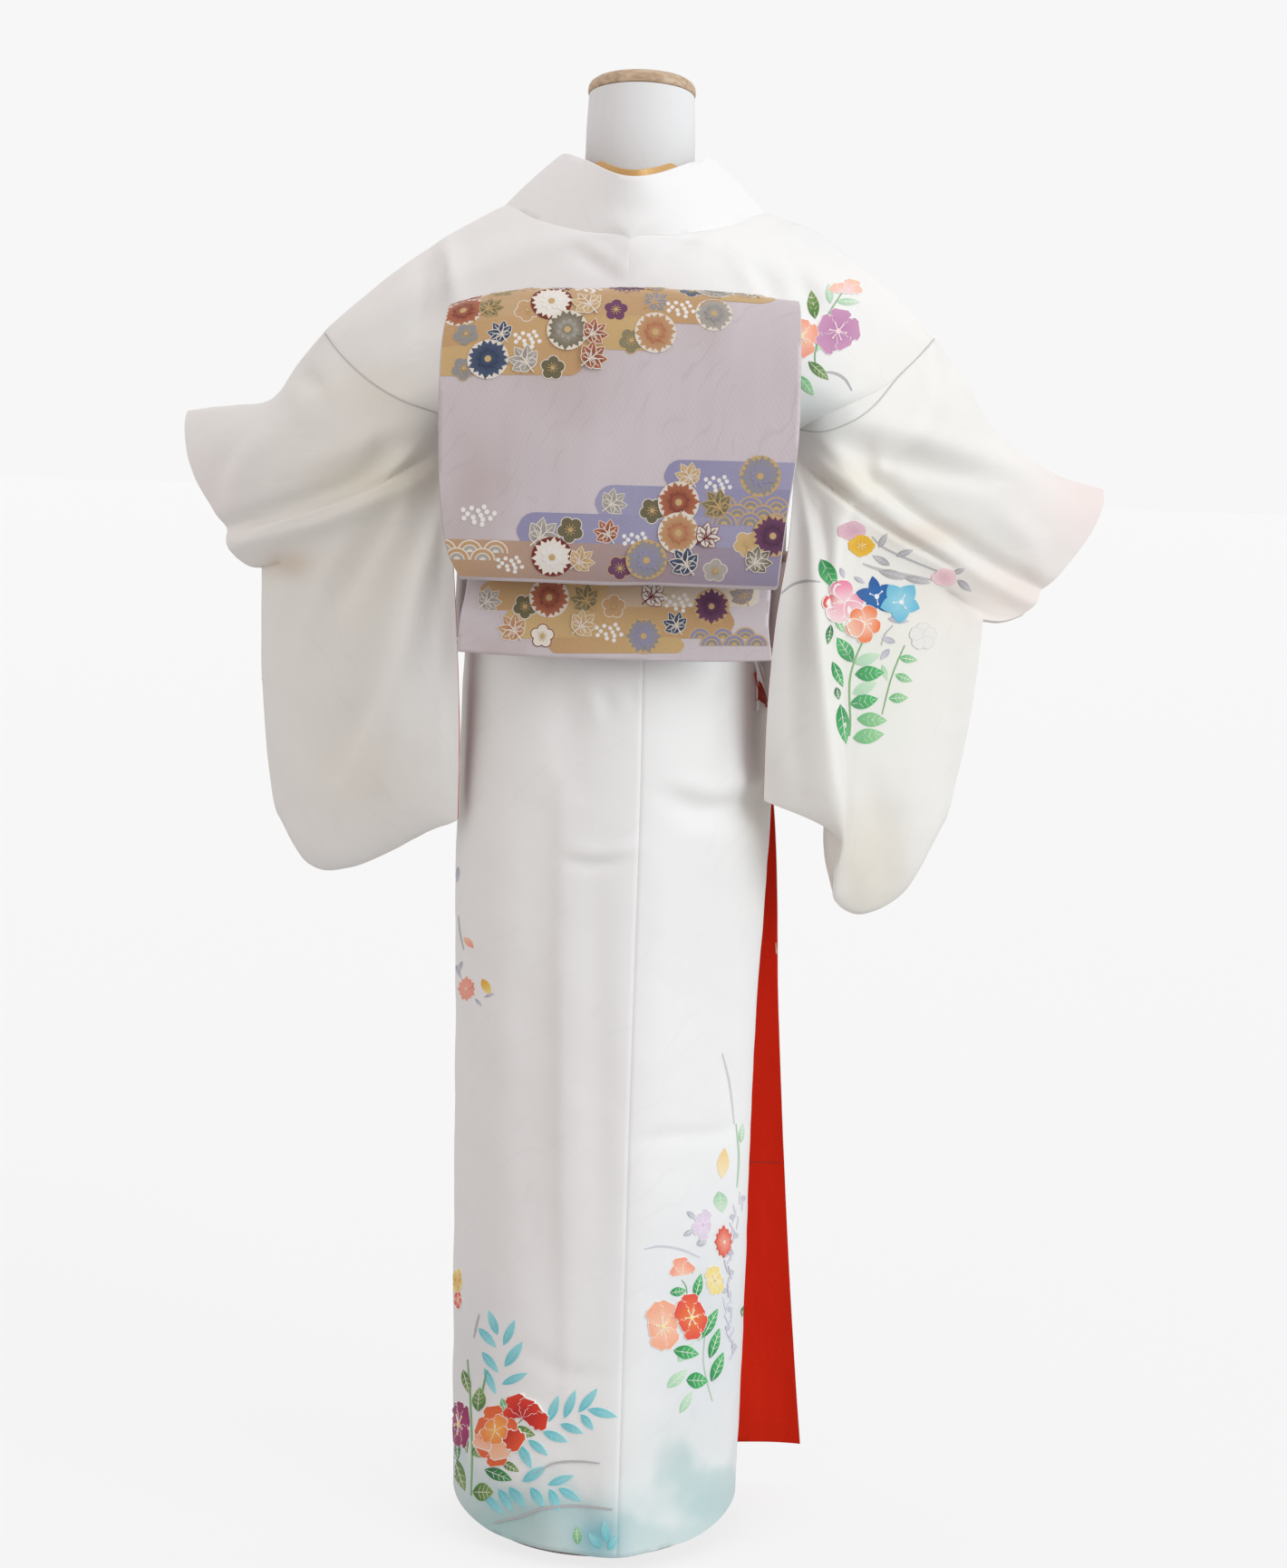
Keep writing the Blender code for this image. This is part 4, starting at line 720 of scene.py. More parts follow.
def tint_and_painted_light_colours(points):
    """Colour by which the silk is tinted at each point: dyed tints and the aqua dye at the hem, with painted
    shade and painted light.
    """
    colours = np.ones((len(points), 3))
    places = photo_places(points)
    behind = smooth(0.5 - points[:, 1] / 0.06)
    for tint_and_painted_light in TINTS_AND_PAINTED_LIGHT:
        away = ((places[:, 0] - tint_and_painted_light.x) / tint_and_painted_light.reach_x) ** 2 + ((places[:, 1] - tint_and_painted_light.y) / tint_and_painted_light.reach_y) ** 2
        share = np.exp(-away) * tint_and_painted_light.strength
        if tint_and_painted_light.x > 560 and tint_and_painted_light.y > 1200:
            share = share * behind
        colours += (np.array(tint_and_painted_light.colour) - 1) * share[:, None]
    edge = ripple(points, 0.060, 0.055, 21.3) + ripple(points, 0.018, 0.012, 5.2)
    aqua = smooth((0.085 + edge - points[:, 2]) / 0.035) * 0.62
    colours = colours * (1 - aqua[:, None]) + colours * AQUA * aqua[:, None]
    return np.clip(colours, 0, 1.15)


# Girth of the wrapped garment

def fold_relief(angle, height):
    """How far the skirt's large folds stand out at places on its girth."""
    total = np.zeros(np.shape(angle))
    for fold in SKIRT_FOLDS:
        top_x, low_x = (math.radians(fold[i]) * PANEL_RADIUS for i in (0, 2))
        run_x, run_y = low_x - top_x, fold.height_low - fold.height_top
        x, y = angle * PANEL_RADIUS - top_x, height - fold.height_top
        t = np.clip((x * run_x + y * run_y) / (run_x**2 + run_y**2), 0.0, 1.0)
        away = np.hypot(x - run_x * t, y - run_y * t)
        fade = np.sin(math.pi * (0.08 + 0.84 * t)) ** 0.5
        total += fold.depth * fade * np.exp(-((away / fold.width) ** 2))
    return total


def girth_point(angle, height, out=0.0):
    """Points of the wrapped body, by angle from the centre back towards +X."""
    angle, height, out = np.broadcast_arrays(*(np.asarray(v, float) for v in (angle, height, out)))
    sine, cosine = np.sin(angle), np.cos(angle)
    half = np.where(sine > 0, read(GIRTHS, height, "right"), read(GIRTHS, height, "left"))
    depth = np.where(cosine > 0, read(GIRTHS, height, "back"), read(GIRTHS, height, "front"))
    normal_x, normal_y = sine / half, -cosine / depth
    length = np.hypot(normal_x, normal_y)
    turn = (angle + math.pi) % TAU - math.pi
    keel = read(GIRTHS, height, "keel") * np.exp(-(((turn - BACK_SEAM_ANGLE) / KEEL_HALF_ANGLE) ** 2))
    reach = (out + keel + fold_relief(turn, height)) / length
    return np.stack([half * sine + normal_x * reach, -depth * cosine + normal_y * reach, height], -1)


def girth_angle(place, side):
    """Angle from the centre back of a place beside the girth, counted towards one side."""
    half = read(GIRTHS, place[2], "right" if place[0] > 0 else "left")
    depth = read(GIRTHS, place[2], "back" if place[1] < 0 else "front")
    return math.atan2(side * place[0] / half, -place[1] / depth) % TAU


def hem_height(angle):
    """Height of the hem at angles from the centre back."""
    return read(HEM, np.abs(np.degrees(angle)), "height")


def calm(heights):
    """Share of the creases that shows, none under the obi and its tuck."""
    return smooth((WAIST - 0.045 - heights) / 0.03)


def skirt_cloth(name, outer, flip=False):
    """A skirt panel from its smooth outer grid."""
    normals = normals_of(outer, flip=flip)
    shaped = creased(outer, normals, calm(outer[..., 2]))
    normals = normals_of(shaped, flip=flip)
    return cloth(name, shaped, shaped - normals * CLOTH, (SILK, LINING))


def girth_panel(name, start, end, columns, rows, top=WAIST, offset=0.0, lift=0.0):
    """A skirt panel between two angles, from the waist to the hem."""
    angles = np.linspace(start, end, columns + 1)
    shares = np.linspace(0, 1, rows + 1)
    angle, share = np.meshgrid(angles, shares)
    heights = top + (hem_height(angle) + lift - top) * share
    reach = offset(angle) if callable(offset) else offset
    return skirt_cloth(name, girth_point(angle, heights, reach), flip=True)


def inner_front_offset(angle):
    """The inner front dips under the outer front just past its side seam."""
    return -FRONT_TUCK * 0.6 * smooth((angle - SIDE_SEAM_ANGLE) / math.radians(16))


def outer_front(name, wrap_columns=66, flap_columns=36, rows=150):
    """The outer front: wrapped round the front, then standing free to its edge."""
    start = TAU - SIDE_SEAM_ANGLE - SEAM / PANEL_RADIUS
    outer = []
    for t in np.linspace(0, 1, rows + 1):
        leave = FLAP_LEAVES_AT_WAIST + (FLAP_LEAVES_AT_HEM - FLAP_LEAVES_AT_WAIST) * t
        angle = np.linspace(start, leave, wrap_columns + 1)
        line = girth_point(angle, WAIST + (hem_height(angle) - WAIST) * t)
        height = WAIST + (FREE_EDGE_HEM - WAIST) * t
        edge = np.array((float(read(FREE_EDGE, height, "x")), float(read(FREE_EDGE, height, "y")), height))
        base = line[-1]
        reach = np.linalg.norm(edge - base)
        tangent = unit(line[-1] - line[-2])
        side = unit(np.array((1.0, -0.25, 0.0)))
        first, second = base + tangent * reach * 0.35, edge - side * reach * 0.35
        s = (np.arange(1, flap_columns + 1) / flap_columns)[:, None]
        free = base * (1 - s) ** 3 + first * 3 * s * (1 - s) ** 2 + second * 3 * s**2 * (1 - s) + edge * s**3
        held = girth_point(leave + (FLAP_EDGE_AT_WAIST - leave) * s[:, 0], free[:, 2])
        share = smooth((TUCK_BOTTOM - 0.011 - free[:, 2]) / 0.075)[:, None]
        outer.append(np.concatenate([line, held + (free - held) * share]))
    outer = np.array(outer)
    normals = normals_of(outer)
    flip = normals[rows // 2, wrap_columns // 3] @ np.array((0, 1.0, 0)) < 0
    return skirt_cloth(name, outer, flip=flip)


# Body panels above the waist, and the collar

def mirrored(x, y, z, side):
    """A point of a half garment, on the wearer's left (-1) or right (1)."""
    return np.array((x * side, y, z), float)


def tuck_of(name):
    """Share of the tuck by which the right side lies under the left."""
    for edge in COLLAR_EDGE:
        if edge.row == name:
            return edge.tuck
    return 1.0 if name == "front waist" else 0.0


def body_grid(side):
    """Rows of the body panel on one side, from the back waist to the front waist."""
    grid = []
    u = np.linspace(0, 1, BODY_COLUMNS + 1)
    for row in BODY_ROWS:
        tuck = FRONT_TUCK * tuck_of(row.name) if side > 0 else 0.0
        lean = RIGHT_LEAN.get(row.name, NO_LEAN) if side > 0 else NO_LEAN
        inner = mirrored(row.ix + lean.shift, row.iy, row.iz, side)
        outer = mirrored(row.ox + lean.rise * 0.4, row.oy, row.oz + lean.rise, side)
        start, end = girth_angle(inner, side), girth_angle(outer, side)
        face = math.radians(row.facing)
        up = np.array((0, -math.cos(face), math.sin(face)))
        swell = row.swell * (1.6 if side > 0 and row.wrap == 0 else 1.0)
        round_start = girth_point(side * start, inner[2])
        round_end = girth_point(side * end, outer[2])
        across = u[:, None]
        flat = inner * (1 - across) + outer * across + up * swell * (np.sin(math.pi * across) ** 0.8)
        angle = start + (end - start) * u
        wrapped = girth_point(side * angle, inner[2] + (outer[2] - inner[2]) * u)
        wrapped = wrapped + (inner - round_start) * (1 - across) + (outer - round_end) * across
        inward = girth_point(side * angle, inner[2], -1.0) - girth_point(side * angle, inner[2])
        point = flat + (wrapped - flat) * row.wrap
        grid.append(point + inward * tuck * (1 - smooth((u - 0.72) / 0.24))[:, None])
    return refine(np.array(grid), ROW_SPLIT)


def row_index(name):
    """Index of a named row once rows are split."""
    return ROW_NAMES.index(name) * ROW_SPLIT


def body_half(side):
    """Outer points and normals of one body panel."""
    grid = body_grid(side)
    normals = normals_of(grid, flip=side < 0)
    if normals[0, 0, 1] > 0:
        normals = -normals
    last = row_index("nape seam") + 1
    normals[:last, 0, 0] = 0.0
    normals[:last, 0] = unit(normals[:last, 0])
    grid[:last, 0, 0] = side * SEAM / 2
    return grid, normals


COLLAR_BOW = 0.0015
NAPE_ROWS = 11.0
NAPE_PASSES = 60


def collar_lines(halves, columns=12):
    """Outer points and normals of the collar, from the left front round the nape to the right."""
    first, last = row_index("nape seam"), row_index("front under obi")
    edges, sides = {}, {}
    for side in (-1, 1):
        edge = []
        for row in COLLAR_EDGE:
            lean = RIGHT_LEAN.get(row.row, NO_LEAN) if side > 0 else NO_LEAN
            point = mirrored(row.x + lean.shift * 1.4, row.y, row.z, side)
            point[1] -= FRONT_TUCK * row.tuck if side > 0 else 0.0
            edge.append(point)
        edges[side] = np.array(edge)
    nape = (edges[-1][:1] + edges[1][:1]) / 2
    folds = refine(np.concatenate([edges[-1][:0:-1], nape, edges[1][1:]]), ROW_SPLIT)
    middle = len(folds) // 2
    folds = {-1: folds[:middle + 1][::-1], 1: folds[middle:]}
    s = np.linspace(0, 1, columns + 1)[None, :, None]
    for side in (-1, 1):
        grid, normals = halves[side]
        seam = grid[first:last + 1, 0].copy()
        seam[0, 0] = 0.0
        tilt = normals[first:last + 1, 0]
        seam = seam + unit(folds[side] - seam) * SEAM
        bow = tilt[:, None] * COLLAR_BOW * 4 * s * (1 - s)
        sides[side] = seam[:, None] * (1 - s) + folds[side][:, None] * s + bow
    lines = np.concatenate([sides[-1][::-1], sides[1][1:]])
    near_nape = np.exp(-((np.arange(len(lines)) - middle) / NAPE_ROWS) ** 2)[:, None, None] * smooth(s * 2)
    for _ in range(NAPE_PASSES):
        between = lines.copy()
        between[1:-1] = (lines[:-2] + lines[2:]) / 2
        lines = lines + (between - lines) * near_nape
    normals = normals_of(lines)
    middle = len(lines) // 2
    if normals[middle, columns // 2, 1] > 0:
        normals = -normals
    return lines, normals


def body_pieces(halves):
    """Left and right body panels, over the shoulders."""
    made = {}
    for side, name in ((-1, "body_left_cloth"), (1, "body_right_cloth")):
        grid, normals = halves[side]
        edge = np.minimum(np.arange(BODY_COLUMNS + 1) / 5, 1.0)[None, :]
        shaped = creased(grid, normals, smooth((grid[..., 2] - 1.00) / 0.05) * (0.35 + 0.65 * edge))
        shaped[:, -1] = grid[:, -1]
        flip = np.sign((normals_of(shaped) * normals).sum(-1).mean()) < 0
        turned = normals_of(shaped, flip=flip)
        made[name] = cloth(name, shaped, shaped - turned * CLOTH, (SILK, LINING))
    return made


# Sleeves

def arm_shares(steps):
    """Shares of the way from the top fold down to the roll, closer near both."""
    share = np.linspace(0, 1, 400)
    closeness = 1 + 1.6 * np.exp(-(((share - 0.84) / 0.11) ** 2)) + 0.8 * np.exp(-((share / 0.08) ** 2))
    run = np.concatenate([[0], np.cumsum((closeness[1:] + closeness[:-1]) / 2)])
    return np.interp(np.arange(steps + 1) / steps, run / run[-1], share)


def bag_shares():
    """Shares of the way from the bag's top down to its hem, closer near the hem."""
    return 1 - (1 - np.arange(1, BAG_STEPS + 1) / BAG_STEPS) ** 1.35


def facing_out(side, degrees):
    """Level direction that a layer faces."""
    turn = np.radians(degrees)
    return np.stack([side * np.sin(turn), -np.cos(turn), np.zeros_like(turn)], -1)


def sleeve_layer(section, side, steps, front):
    """Points of one layer of a sleeve section, from the top fold down to the hem."""
    top, roll, bag, hem = (mirrored(*section[i:i + 3], side) for i in (0, 3, 6, 9))
    out = facing_out(side, float(section.facing))
    share = arm_shares(steps)
    bulge = section.belly * np.sin(math.pi * share**0.75)
    if not front:
        bulge = bulge - 0.007 * np.exp(-(((share - 0.80) / 0.055) ** 2))
        bulge = bulge + 0.003 * np.exp(-(((share - 0.93) / 0.05) ** 2))
    gap = section.arm_gap * np.sqrt(1 - (1 - np.minimum(share / 0.25, 1.0)) ** 2)
    gap = gap + (section.bag_gap + 0.012 - section.arm_gap) * smooth((share - 0.55) / 0.45)
    points = top + (roll - top) * share[:, None] + out * bulge[:, None]
    if front:
        points = points - out * gap[:, None]
    parts = [points]
    start = roll - out * (section.bag_gap + 0.012) if front else roll
    turned = facing_out(side, float(section.bag_facing))
    under = bag - turned * section.bag_gap if front else bag
    share = (np.arange(1, ROLL_STEPS + 1) / ROLL_STEPS)[:, None]
    sag = np.array((0, 0, -0.004)) * np.sin(math.pi * share)
    parts.append(start + (under - start) * share + sag)
    share = bag_shares()
    out = facing_out(side, section.bag_facing + (section.hem_facing - section.bag_facing) * share)
    close = np.sqrt(np.maximum(1 - np.maximum(share - 0.86, 0.0) ** 2 / 0.14**2, 0.0))
    gap = section.bag_gap + (section.hem_gap - section.bag_gap) * share
    swell = 0.006 * np.sin(math.pi * share) - gap * 0.5 * (1 - close)
    points = bag + (hem - bag) * share[:, None] + out * swell[:, None]
    if front:
        points = points - out * (gap * close + swell * 1.2 * close)[:, None]
    parts.append(points)
    return np.concatenate(parts)


def free_edge(points):
    """An inner edge below the underarm, split as the sections are."""
    short = 0.07 * np.arange(1, ROLL_STEPS + 1) / ROLL_STEPS
    return along(points, np.concatenate([short, 0.07 + 0.93 * bag_shares()]))


def sleeve_rings(side, halves, sections, furi_back, furi_front):
    """Closed loops across a sleeve's width: back layer down, front layer up."""
    grid = halves[side][0]
    ridge = row_index("shoulder")
    low_back = row_index("back underarm")
    low_front = row_index("front underarm")

    def seam_points(indices):
        run = unit(grid[indices + 1, -1] - grid[indices - 1, -1])
        away = grid[indices, -1] - grid[indices, -2]
        away = away - run * (away * run).sum(-1, keepdims=True)
        return grid[indices, -1] + unit(away) * SEAM

    back_rows = np.arange(ridge, low_back - 1, -1)
    front_rows = np.arange(ridge, low_front + 1)
    back, front = seam_points(back_rows), seam_points(front_rows)
    back_edge = np.array([back[-1]] + [mirrored(*p, side) for p in furi_back])
    front_edge = np.array([front[-1]] + [mirrored(*p, side) for p in furi_front])
    back = np.concatenate([back, free_edge(back_edge)])
    front = np.concatenate([front, free_edge(front_edge)])
    loops = [np.concatenate([back, front[1:-1][::-1]])]
    for section in sections:
        rear = sleeve_layer(section, side, ARM_STEPS, False)
        fore = sleeve_layer(section, side, FRONT_STEPS, True)
        loops.append(np.concatenate([rear, fore[1:-1][::-1]]))
    return eased_roll(refine(np.array(loops), SECTION_SPLIT))


ROLL_PASSES = 110
ROLL_KEPT_FROM = 0.80


def eased_roll(rings):
    """Let the roll run out into the bag towards the body, and keep it near the cuff."""
    low, high = ARM_STEPS - 10, ARM_STEPS + ROLL_STEPS + 16
    index = np.arange(rings.shape[1])
    hold = smooth((index - low) / 8) * smooth((high - index) / 8)
    along_sleeve = np.arange(len(rings)) / (len(rings) - 1)
    share = smooth((ROLL_KEPT_FROM - along_sleeve) / 0.22) * smooth(along_sleeve / 0.10)
    weight = (share[:, None] * hold[None])[..., None] * 0.5
    for _ in range(ROLL_PASSES):
        mean = (np.roll(rings, 1, 1) + np.roll(rings, -1, 1)) / 2
        rings = rings + (mean - rings) * weight
    return rings


CUFF_STEPS = 4


def sleeve(name, side, halves, sections, furi_back, furi_front):
    """A hollow sleeve: open at the armhole, the inner edge and the cuff, closed below the cuff."""
    rings = sleeve_rings(side, halves, sections, furi_back, furi_front)
    last, count = len(rings) - 1, rings.shape[1]
    hem = ARM_STEPS + ROLL_STEPS + BAG_STEPS
    flip = normals_of(rings, closed=True)[last // 2, hem // 2, 1] > 0
    held = np.ones(rings.shape[:2]) * np.minimum(np.arange(last + 1) / 6, 1.0)[:, None]
    shaped = creased(rings, normals_of(rings, closed=True, flip=flip), held, ripples=0.0014)
    normals = normals_of(shaped, closed=True, flip=flip)
    normals[:, hem] = unit(normals[:, hem - 1] + normals[:, hem + 1] + np.array((0, 0, -2.0)))
    wall = Wall(shaped, shaped - normals * CLOTH, True, (SILK, LINING))
    ring = np.arange(count)
    wall.close(ring, wall.add(wall.rim_points(ring, ring + count), ring), True, [1, 1])
    base = last * count
    cuff = base + np.concatenate([np.arange(count - FRONT_STEPS, count), np.arange(ARM_STEPS + 1)])
    rim = wall.add(wall.rim_points(cuff, cuff - count), cuff)
    wall.close(cuff, rim, False, [0, 1])
    back = base + np.arange(ARM_STEPS, hem + 1)
    twins = base + np.round(np.linspace(count - FRONT_STEPS, hem, len(back))).astype(int)
    outward = unit(shaped[last] - shaped[last - 2])
    away = unit(outward[back - base] + outward[twins - base])
    rungs = []
    for layer, surface in enumerate((wall.outer, wall.inner)):
        a, b = surface[back], surface[twins]
        width = np.linalg.norm(a - b, axis=-1, keepdims=True)
        columns = [back + layer * wall.count]
        for k in range(1, CUFF_STEPS):
            t = k / CUFF_STEPS
            columns.append(wall.add(a + (b - a) * t + away * width * 0.35 * math.sin(math.pi * t), back))
        columns.append(twins + layer * wall.count)
        for left, right in zip(columns, columns[1:]):
            for i in range(len(back) - 1):
                quad = list(dict.fromkeys(int(v) for v in (left[i], left[i + 1], right[i + 1], right[i])))
                if len(quad) > 2:
                    wall.faces.append(tuple(quad if layer == 0 else reversed(quad)))
                    wall.slots.append(layer)
        rungs.append([int(column[0]) for column in columns])
    outer, inner = rungs
    wall.faces += [(outer[k], outer[k + 1], inner[k + 1], inner[k]) for k in range(CUFF_STEPS)]
    wall.faces += [(outer[0], rim[-1], inner[0]), (outer[-1], inner[-1], rim[0])]
    wall.slots += [0] * (CUFF_STEPS + 2)
    return wall.piece(name)


# Obi and what is tied with it

STRAND_SPACING = 0.0026
STRAND_ROW = 0.0022
STRAND_LEAN = math.radians(38)
STRAND_SIZE = (0.0032, 0.0031, 0.0013)
UPWARD = (0, 0, 1)


def strand_tree():
    """Slanting strands set along a curve in two mirrored rows."""
    tree, given, result = new_group("GeometryNodeTree", "braid_strands", (
        ("Geometry", "Geometry"), ("Spacing", "Float"), ("Row offset", "Float"), ("Lean", "Float"),
        ("Strand size", "Vector"), ("Finish", "Material"),
    ), (("Geometry", "Geometry"),))
    bead = node(tree, "GeometryNodeMeshIcoSphere", {"Radius": 1.0, "Subdivisions": 1}).outputs["Mesh"]
    rows = node(tree, "GeometryNodeJoinGeometry")
    turn_to = "FunctionNodeAlignRotationToVector"
    for way in (1, -1):
        spaced = {"Curve": given["Geometry"], "Length": given["Spacing"]}
        even = node(tree, "GeometryNodeResampleCurve", spaced, mode="LENGTH").outputs[0]
        run = node(tree, "GeometryNodeInputTangent").outputs[0]
        across = node(tree, "ShaderNodeVectorMath", {0: run, 1: UPWARD}, operation="CROSS_PRODUCT").outputs[0]
        rise = node(tree, "ShaderNodeCombineXYZ", {"Z": times(tree, given["Row offset"], way)}).outputs[0]
        place = node(tree, "GeometryNodeSetPosition", {"Geometry": even, "Offset": rise}).outputs[0]
        along_run = node(tree, turn_to, {"Vector": run}, axis="X").outputs[0]
        facing = {"Rotation": along_run, "Vector": across}
        flat_side = node(tree, turn_to, facing, axis="Y", pivot_axis="X").outputs[0]
        tilt = node(tree, "ShaderNodeCombineXYZ", {"Y": times(tree, given["Lean"], way)}).outputs[0]
        leaning = {"Rotation": flat_side, "Rotate By": tilt}
        turned_by = node(tree, "FunctionNodeRotateRotation", leaning, rotation_space="LOCAL").outputs[0]
        strand = {"Points": place, "Instance": bead, "Rotation": turned_by, "Scale": given["Strand size"]}
        feed(tree, rows, {0: node(tree, "GeometryNodeInstanceOnPoints", strand).outputs[0]})
    whole = node(tree, "GeometryNodeRealizeInstances", {0: rows.outputs[0]}).outputs[0]
    finished = {"Geometry": whole, "Material": given["Finish"]}
    feed(tree, result, {0: node(tree, "GeometryNodeSetMaterial", finished).outputs[0]})
    return tree


def braid_strands(name, line):
    """The braid's strands along the cord, laid by the strand tree."""
    curve = bpy.data.curves.new(name, "CURVE")
    curve.dimensions = "3D"
    spline = curve.splines.new("POLY")
    spline.points.add(len(line) - 1)
    for point, place in zip(spline.points, line):
        point.co = (*place, 1.0)
    spline.use_cyclic_u = True
    guide = bpy.data.objects.new(name + "_guide", curve)
    bpy.context.scene.collection.objects.link(guide)
    tree = strand_tree()
    modifier = guide.modifiers.new("strands", "NODES")
    modifier.node_group = tree
    sockets = {item.name: item.identifier for item in tree.interface.items_tree if item.in_out == "INPUT"}
    values = (("Spacing", STRAND_SPACING), ("Row offset", STRAND_ROW), ("Lean", STRAND_LEAN),
              ("Strand size", STRAND_SIZE), ("Finish", BRAID))
    for label, value in values:
        modifier[sockets[label]] = value
    bpy.context.view_layer.update()
    graph = bpy.context.evaluated_depsgraph_get()
    mesh = bpy.data.meshes.new_from_object(guide.evaluated_get(graph), depsgraph=graph)
    guide.modifiers.clear()
    bpy.data.objects.remove(guide)
    mesh.name = name
    mesh.shade_smooth()
    piece = bpy.data.objects.new(name, mesh)
    bpy.context.scene.collection.objects.link(piece)
    return piece


def girth_band(name, start, end, columns, heights, inner_out, outer_out, finishes, closed=False, rows=24,
               side_out=0.0):
    """A band round the girth, with its edges eased inwards."""
    steps = columns if closed else columns + 1
    angles = start + (end - start) * np.arange(steps) / columns
    levels = [[height(angles) if callable(height) else np.full(steps, height), np.full(steps, ease)]
              for height, ease in heights]
    levels = refine(np.moveaxis(np.array(levels), 1, 2), rows // (len(heights) - 1))
    level, ease = levels[..., 0], levels[..., 1]
    angle = np.broadcast_to(angles, level.shape)
    outer = girth_point(angle, level, outer_out - ease + side_out * np.abs(np.sin(angle)) ** 8)
    inner = girth_point(angle, level, inner_out)
    return cloth(name, outer, inner, finishes, closed=closed)


def wrap_grid(path, columns, split):
    """A strip of cloth as wide as the obi, along a path seen from the side."""
    grid = []
    share = np.linspace(-1, 1, columns + 1)
    for step in path:
        x = step.left + (step.right - step.left) * (share + 1) / 2
        drop = np.where(share < 0, step.left_drop, step.right_drop) * np.abs(share) ** 3
        grid.append(np.stack([x, np.full_like(x, step.y), step.z - drop], -1))
    return refine(np.array(grid), split)


def wrap_piece(name, path, columns, split, finishes, flip, relief=None):
    """An obi layer of its own thickness along a path."""
    grid = wrap_grid(path, columns, split)
    normals = normals_of(grid, flip=flip)
    if relief is not None:
        grid = grid + normals * relief(grid)[..., None]
        normals = normals_of(grid, flip=flip)
    return cloth(name, grid, grid - normals * OBI_CLOTH, finishes, rim_slot=0 if flip else 1), grid, normals


def drum_relief(grid):
    """Soft dents and the slack of the stiff sash."""
    return ripple(grid, 0.090, 0.0022, 14.0) + ripple(grid, 0.030, 0.0005, 2.0)


def swept(path, half_tall, half_thick, loops, steps, bumps):
    """Rings of an oval section along a path, standing on edge; bumps scale each point."""
    run = unit(np.roll(path, -1, 0) - np.roll(path, 1, 0) if loops else differences(path, 0))
    up = unit(np.array((0, 0, 1.0)) - run * run[:, 2:3])
    side = np.cross(run, up)
    turn = turns(steps)
    reach = up[:, None] * half_tall * np.sin(turn)[None, :, None]
    reach = reach + side[:, None] * half_thick * np.cos(turn)[None, :, None]
    return path[:, None] + reach * bumps[..., None]


def tube_piece(name, rings, finish, loops):
    """A closed tube through rings, with flat ends unless it is a loop."""
    count, steps = rings.shape[:2]
    faces = grid_faces(count, steps, 0, True)
    low, high = list(range(steps)), list(range((count - 1) * steps, count * steps))
    if loops:
        faces += [(high[s], high[s + 1 - steps], low[s + 1 - steps], low[s]) for s in range(steps)]
    else:
        faces += [low, high]
    return finish_piece(name, rings.reshape(-1, 3), faces, (finish,), uv=flat_coordinates(rings))


def cord_path():
    """Middle line of the braided cord round the obi."""
    around = np.radians(52 + 256 * np.arange(25) / 24)
    path = girth_point(around, CORD_HEIGHT, OBI_OUTER + 0.0025 + CORD_GAP)
    behind = np.array([(x, y, CORD_HEIGHT) for x, y in CORD_BEHIND])
    left = behind * np.array((-1, 1, 1))
    middle = np.array([(0, CORD_BEHIND[-1][1], CORD_HEIGHT)])
    return np.concatenate([path, left, middle, behind[::-1]])


def loop_refined(path, split):
    """A closed smooth curve through points."""
    wrapped = np.concatenate([path[-2:], path, path[:3]])
    fine = refine(wrapped, split)
    return fine[2 * split:(2 + len(path)) * split]


# Dress form and stand

def ellipse(x, y, z, half_width, half_depth, steps):
    """A level ring of points."""
    turn = turns(steps)
    ring = [x + half_width * np.cos(turn), y + half_depth * np.sin(turn), np.full(steps, float(z))]
    return np.stack(ring, -1)


def tilted_ring(radius_x, radius_y, rise, steps):
    """A ring on the slanting top of the neck."""
    tilt = np.array(Matrix.Rotation(-NECK_TILT, 3, "X"))
    middle = np.array((NECK_X, BUST[-1].y, NECK_TOP))
    return middle + ellipse(0, 0, rise, radius_x, radius_y, steps) @ tilt.T


def lathe(name, rings, finish):
    """A closed solid through rings, with a point in the middle of each end."""
    rings = np.asarray(rings)
    count, steps = rings.shape[:2]
    points = np.concatenate([rings.reshape(-1, 3), [rings[0].mean(0)], [rings[-1].mean(0)]])
    faces = grid_faces(count, steps, 0, True)
    low, high = count * steps, count * steps + 1
    for c in range(steps):
        d = (c + 1) % steps
        faces.append((low, d, c))
        faces.append((high, (count - 1) * steps + c, (count - 1) * steps + d))
    uv = np.concatenate([flat_coordinates(rings), np.zeros((2, 2))])
    return finish_piece(name, points, faces, (finish,), uv=uv, sharp=35)


# Materials

def feed(tree, made, inputs):
    """Set a node's inputs, by number or name, to plain values, or link them from sockets."""
    for key, value in inputs.items():
        socket = made.inputs[key]
        if isinstance(value, bpy.types.NodeSocket):
            tree.links.new(value, socket)
        else:
            socket.default_value = (*value, 1.0) if socket.type == "RGBA" else value


def node(tree, kind, inputs=None, **settings):
    """A node with its settings and inputs."""
    made = tree.nodes.new(kind)
    for key, value in settings.items():
        setattr(made, key, value)
    feed(tree, made, inputs or {})
    return made


def new_group(kind, name, inputs, outputs):
    """An empty node group with named sockets, and what it is given and gives."""
    tree = bpy.data.node_groups.new(name, kind)
    for way, sockets in (("INPUT", inputs), ("OUTPUT", outputs)):
        for label, value_kind in sockets:
            tree.interface.new_socket(label, in_out=way, socket_type="NodeSocket" + value_kind)
    return tree, tree.nodes.new("NodeGroupInput").outputs, tree.nodes.new("NodeGroupOutput")


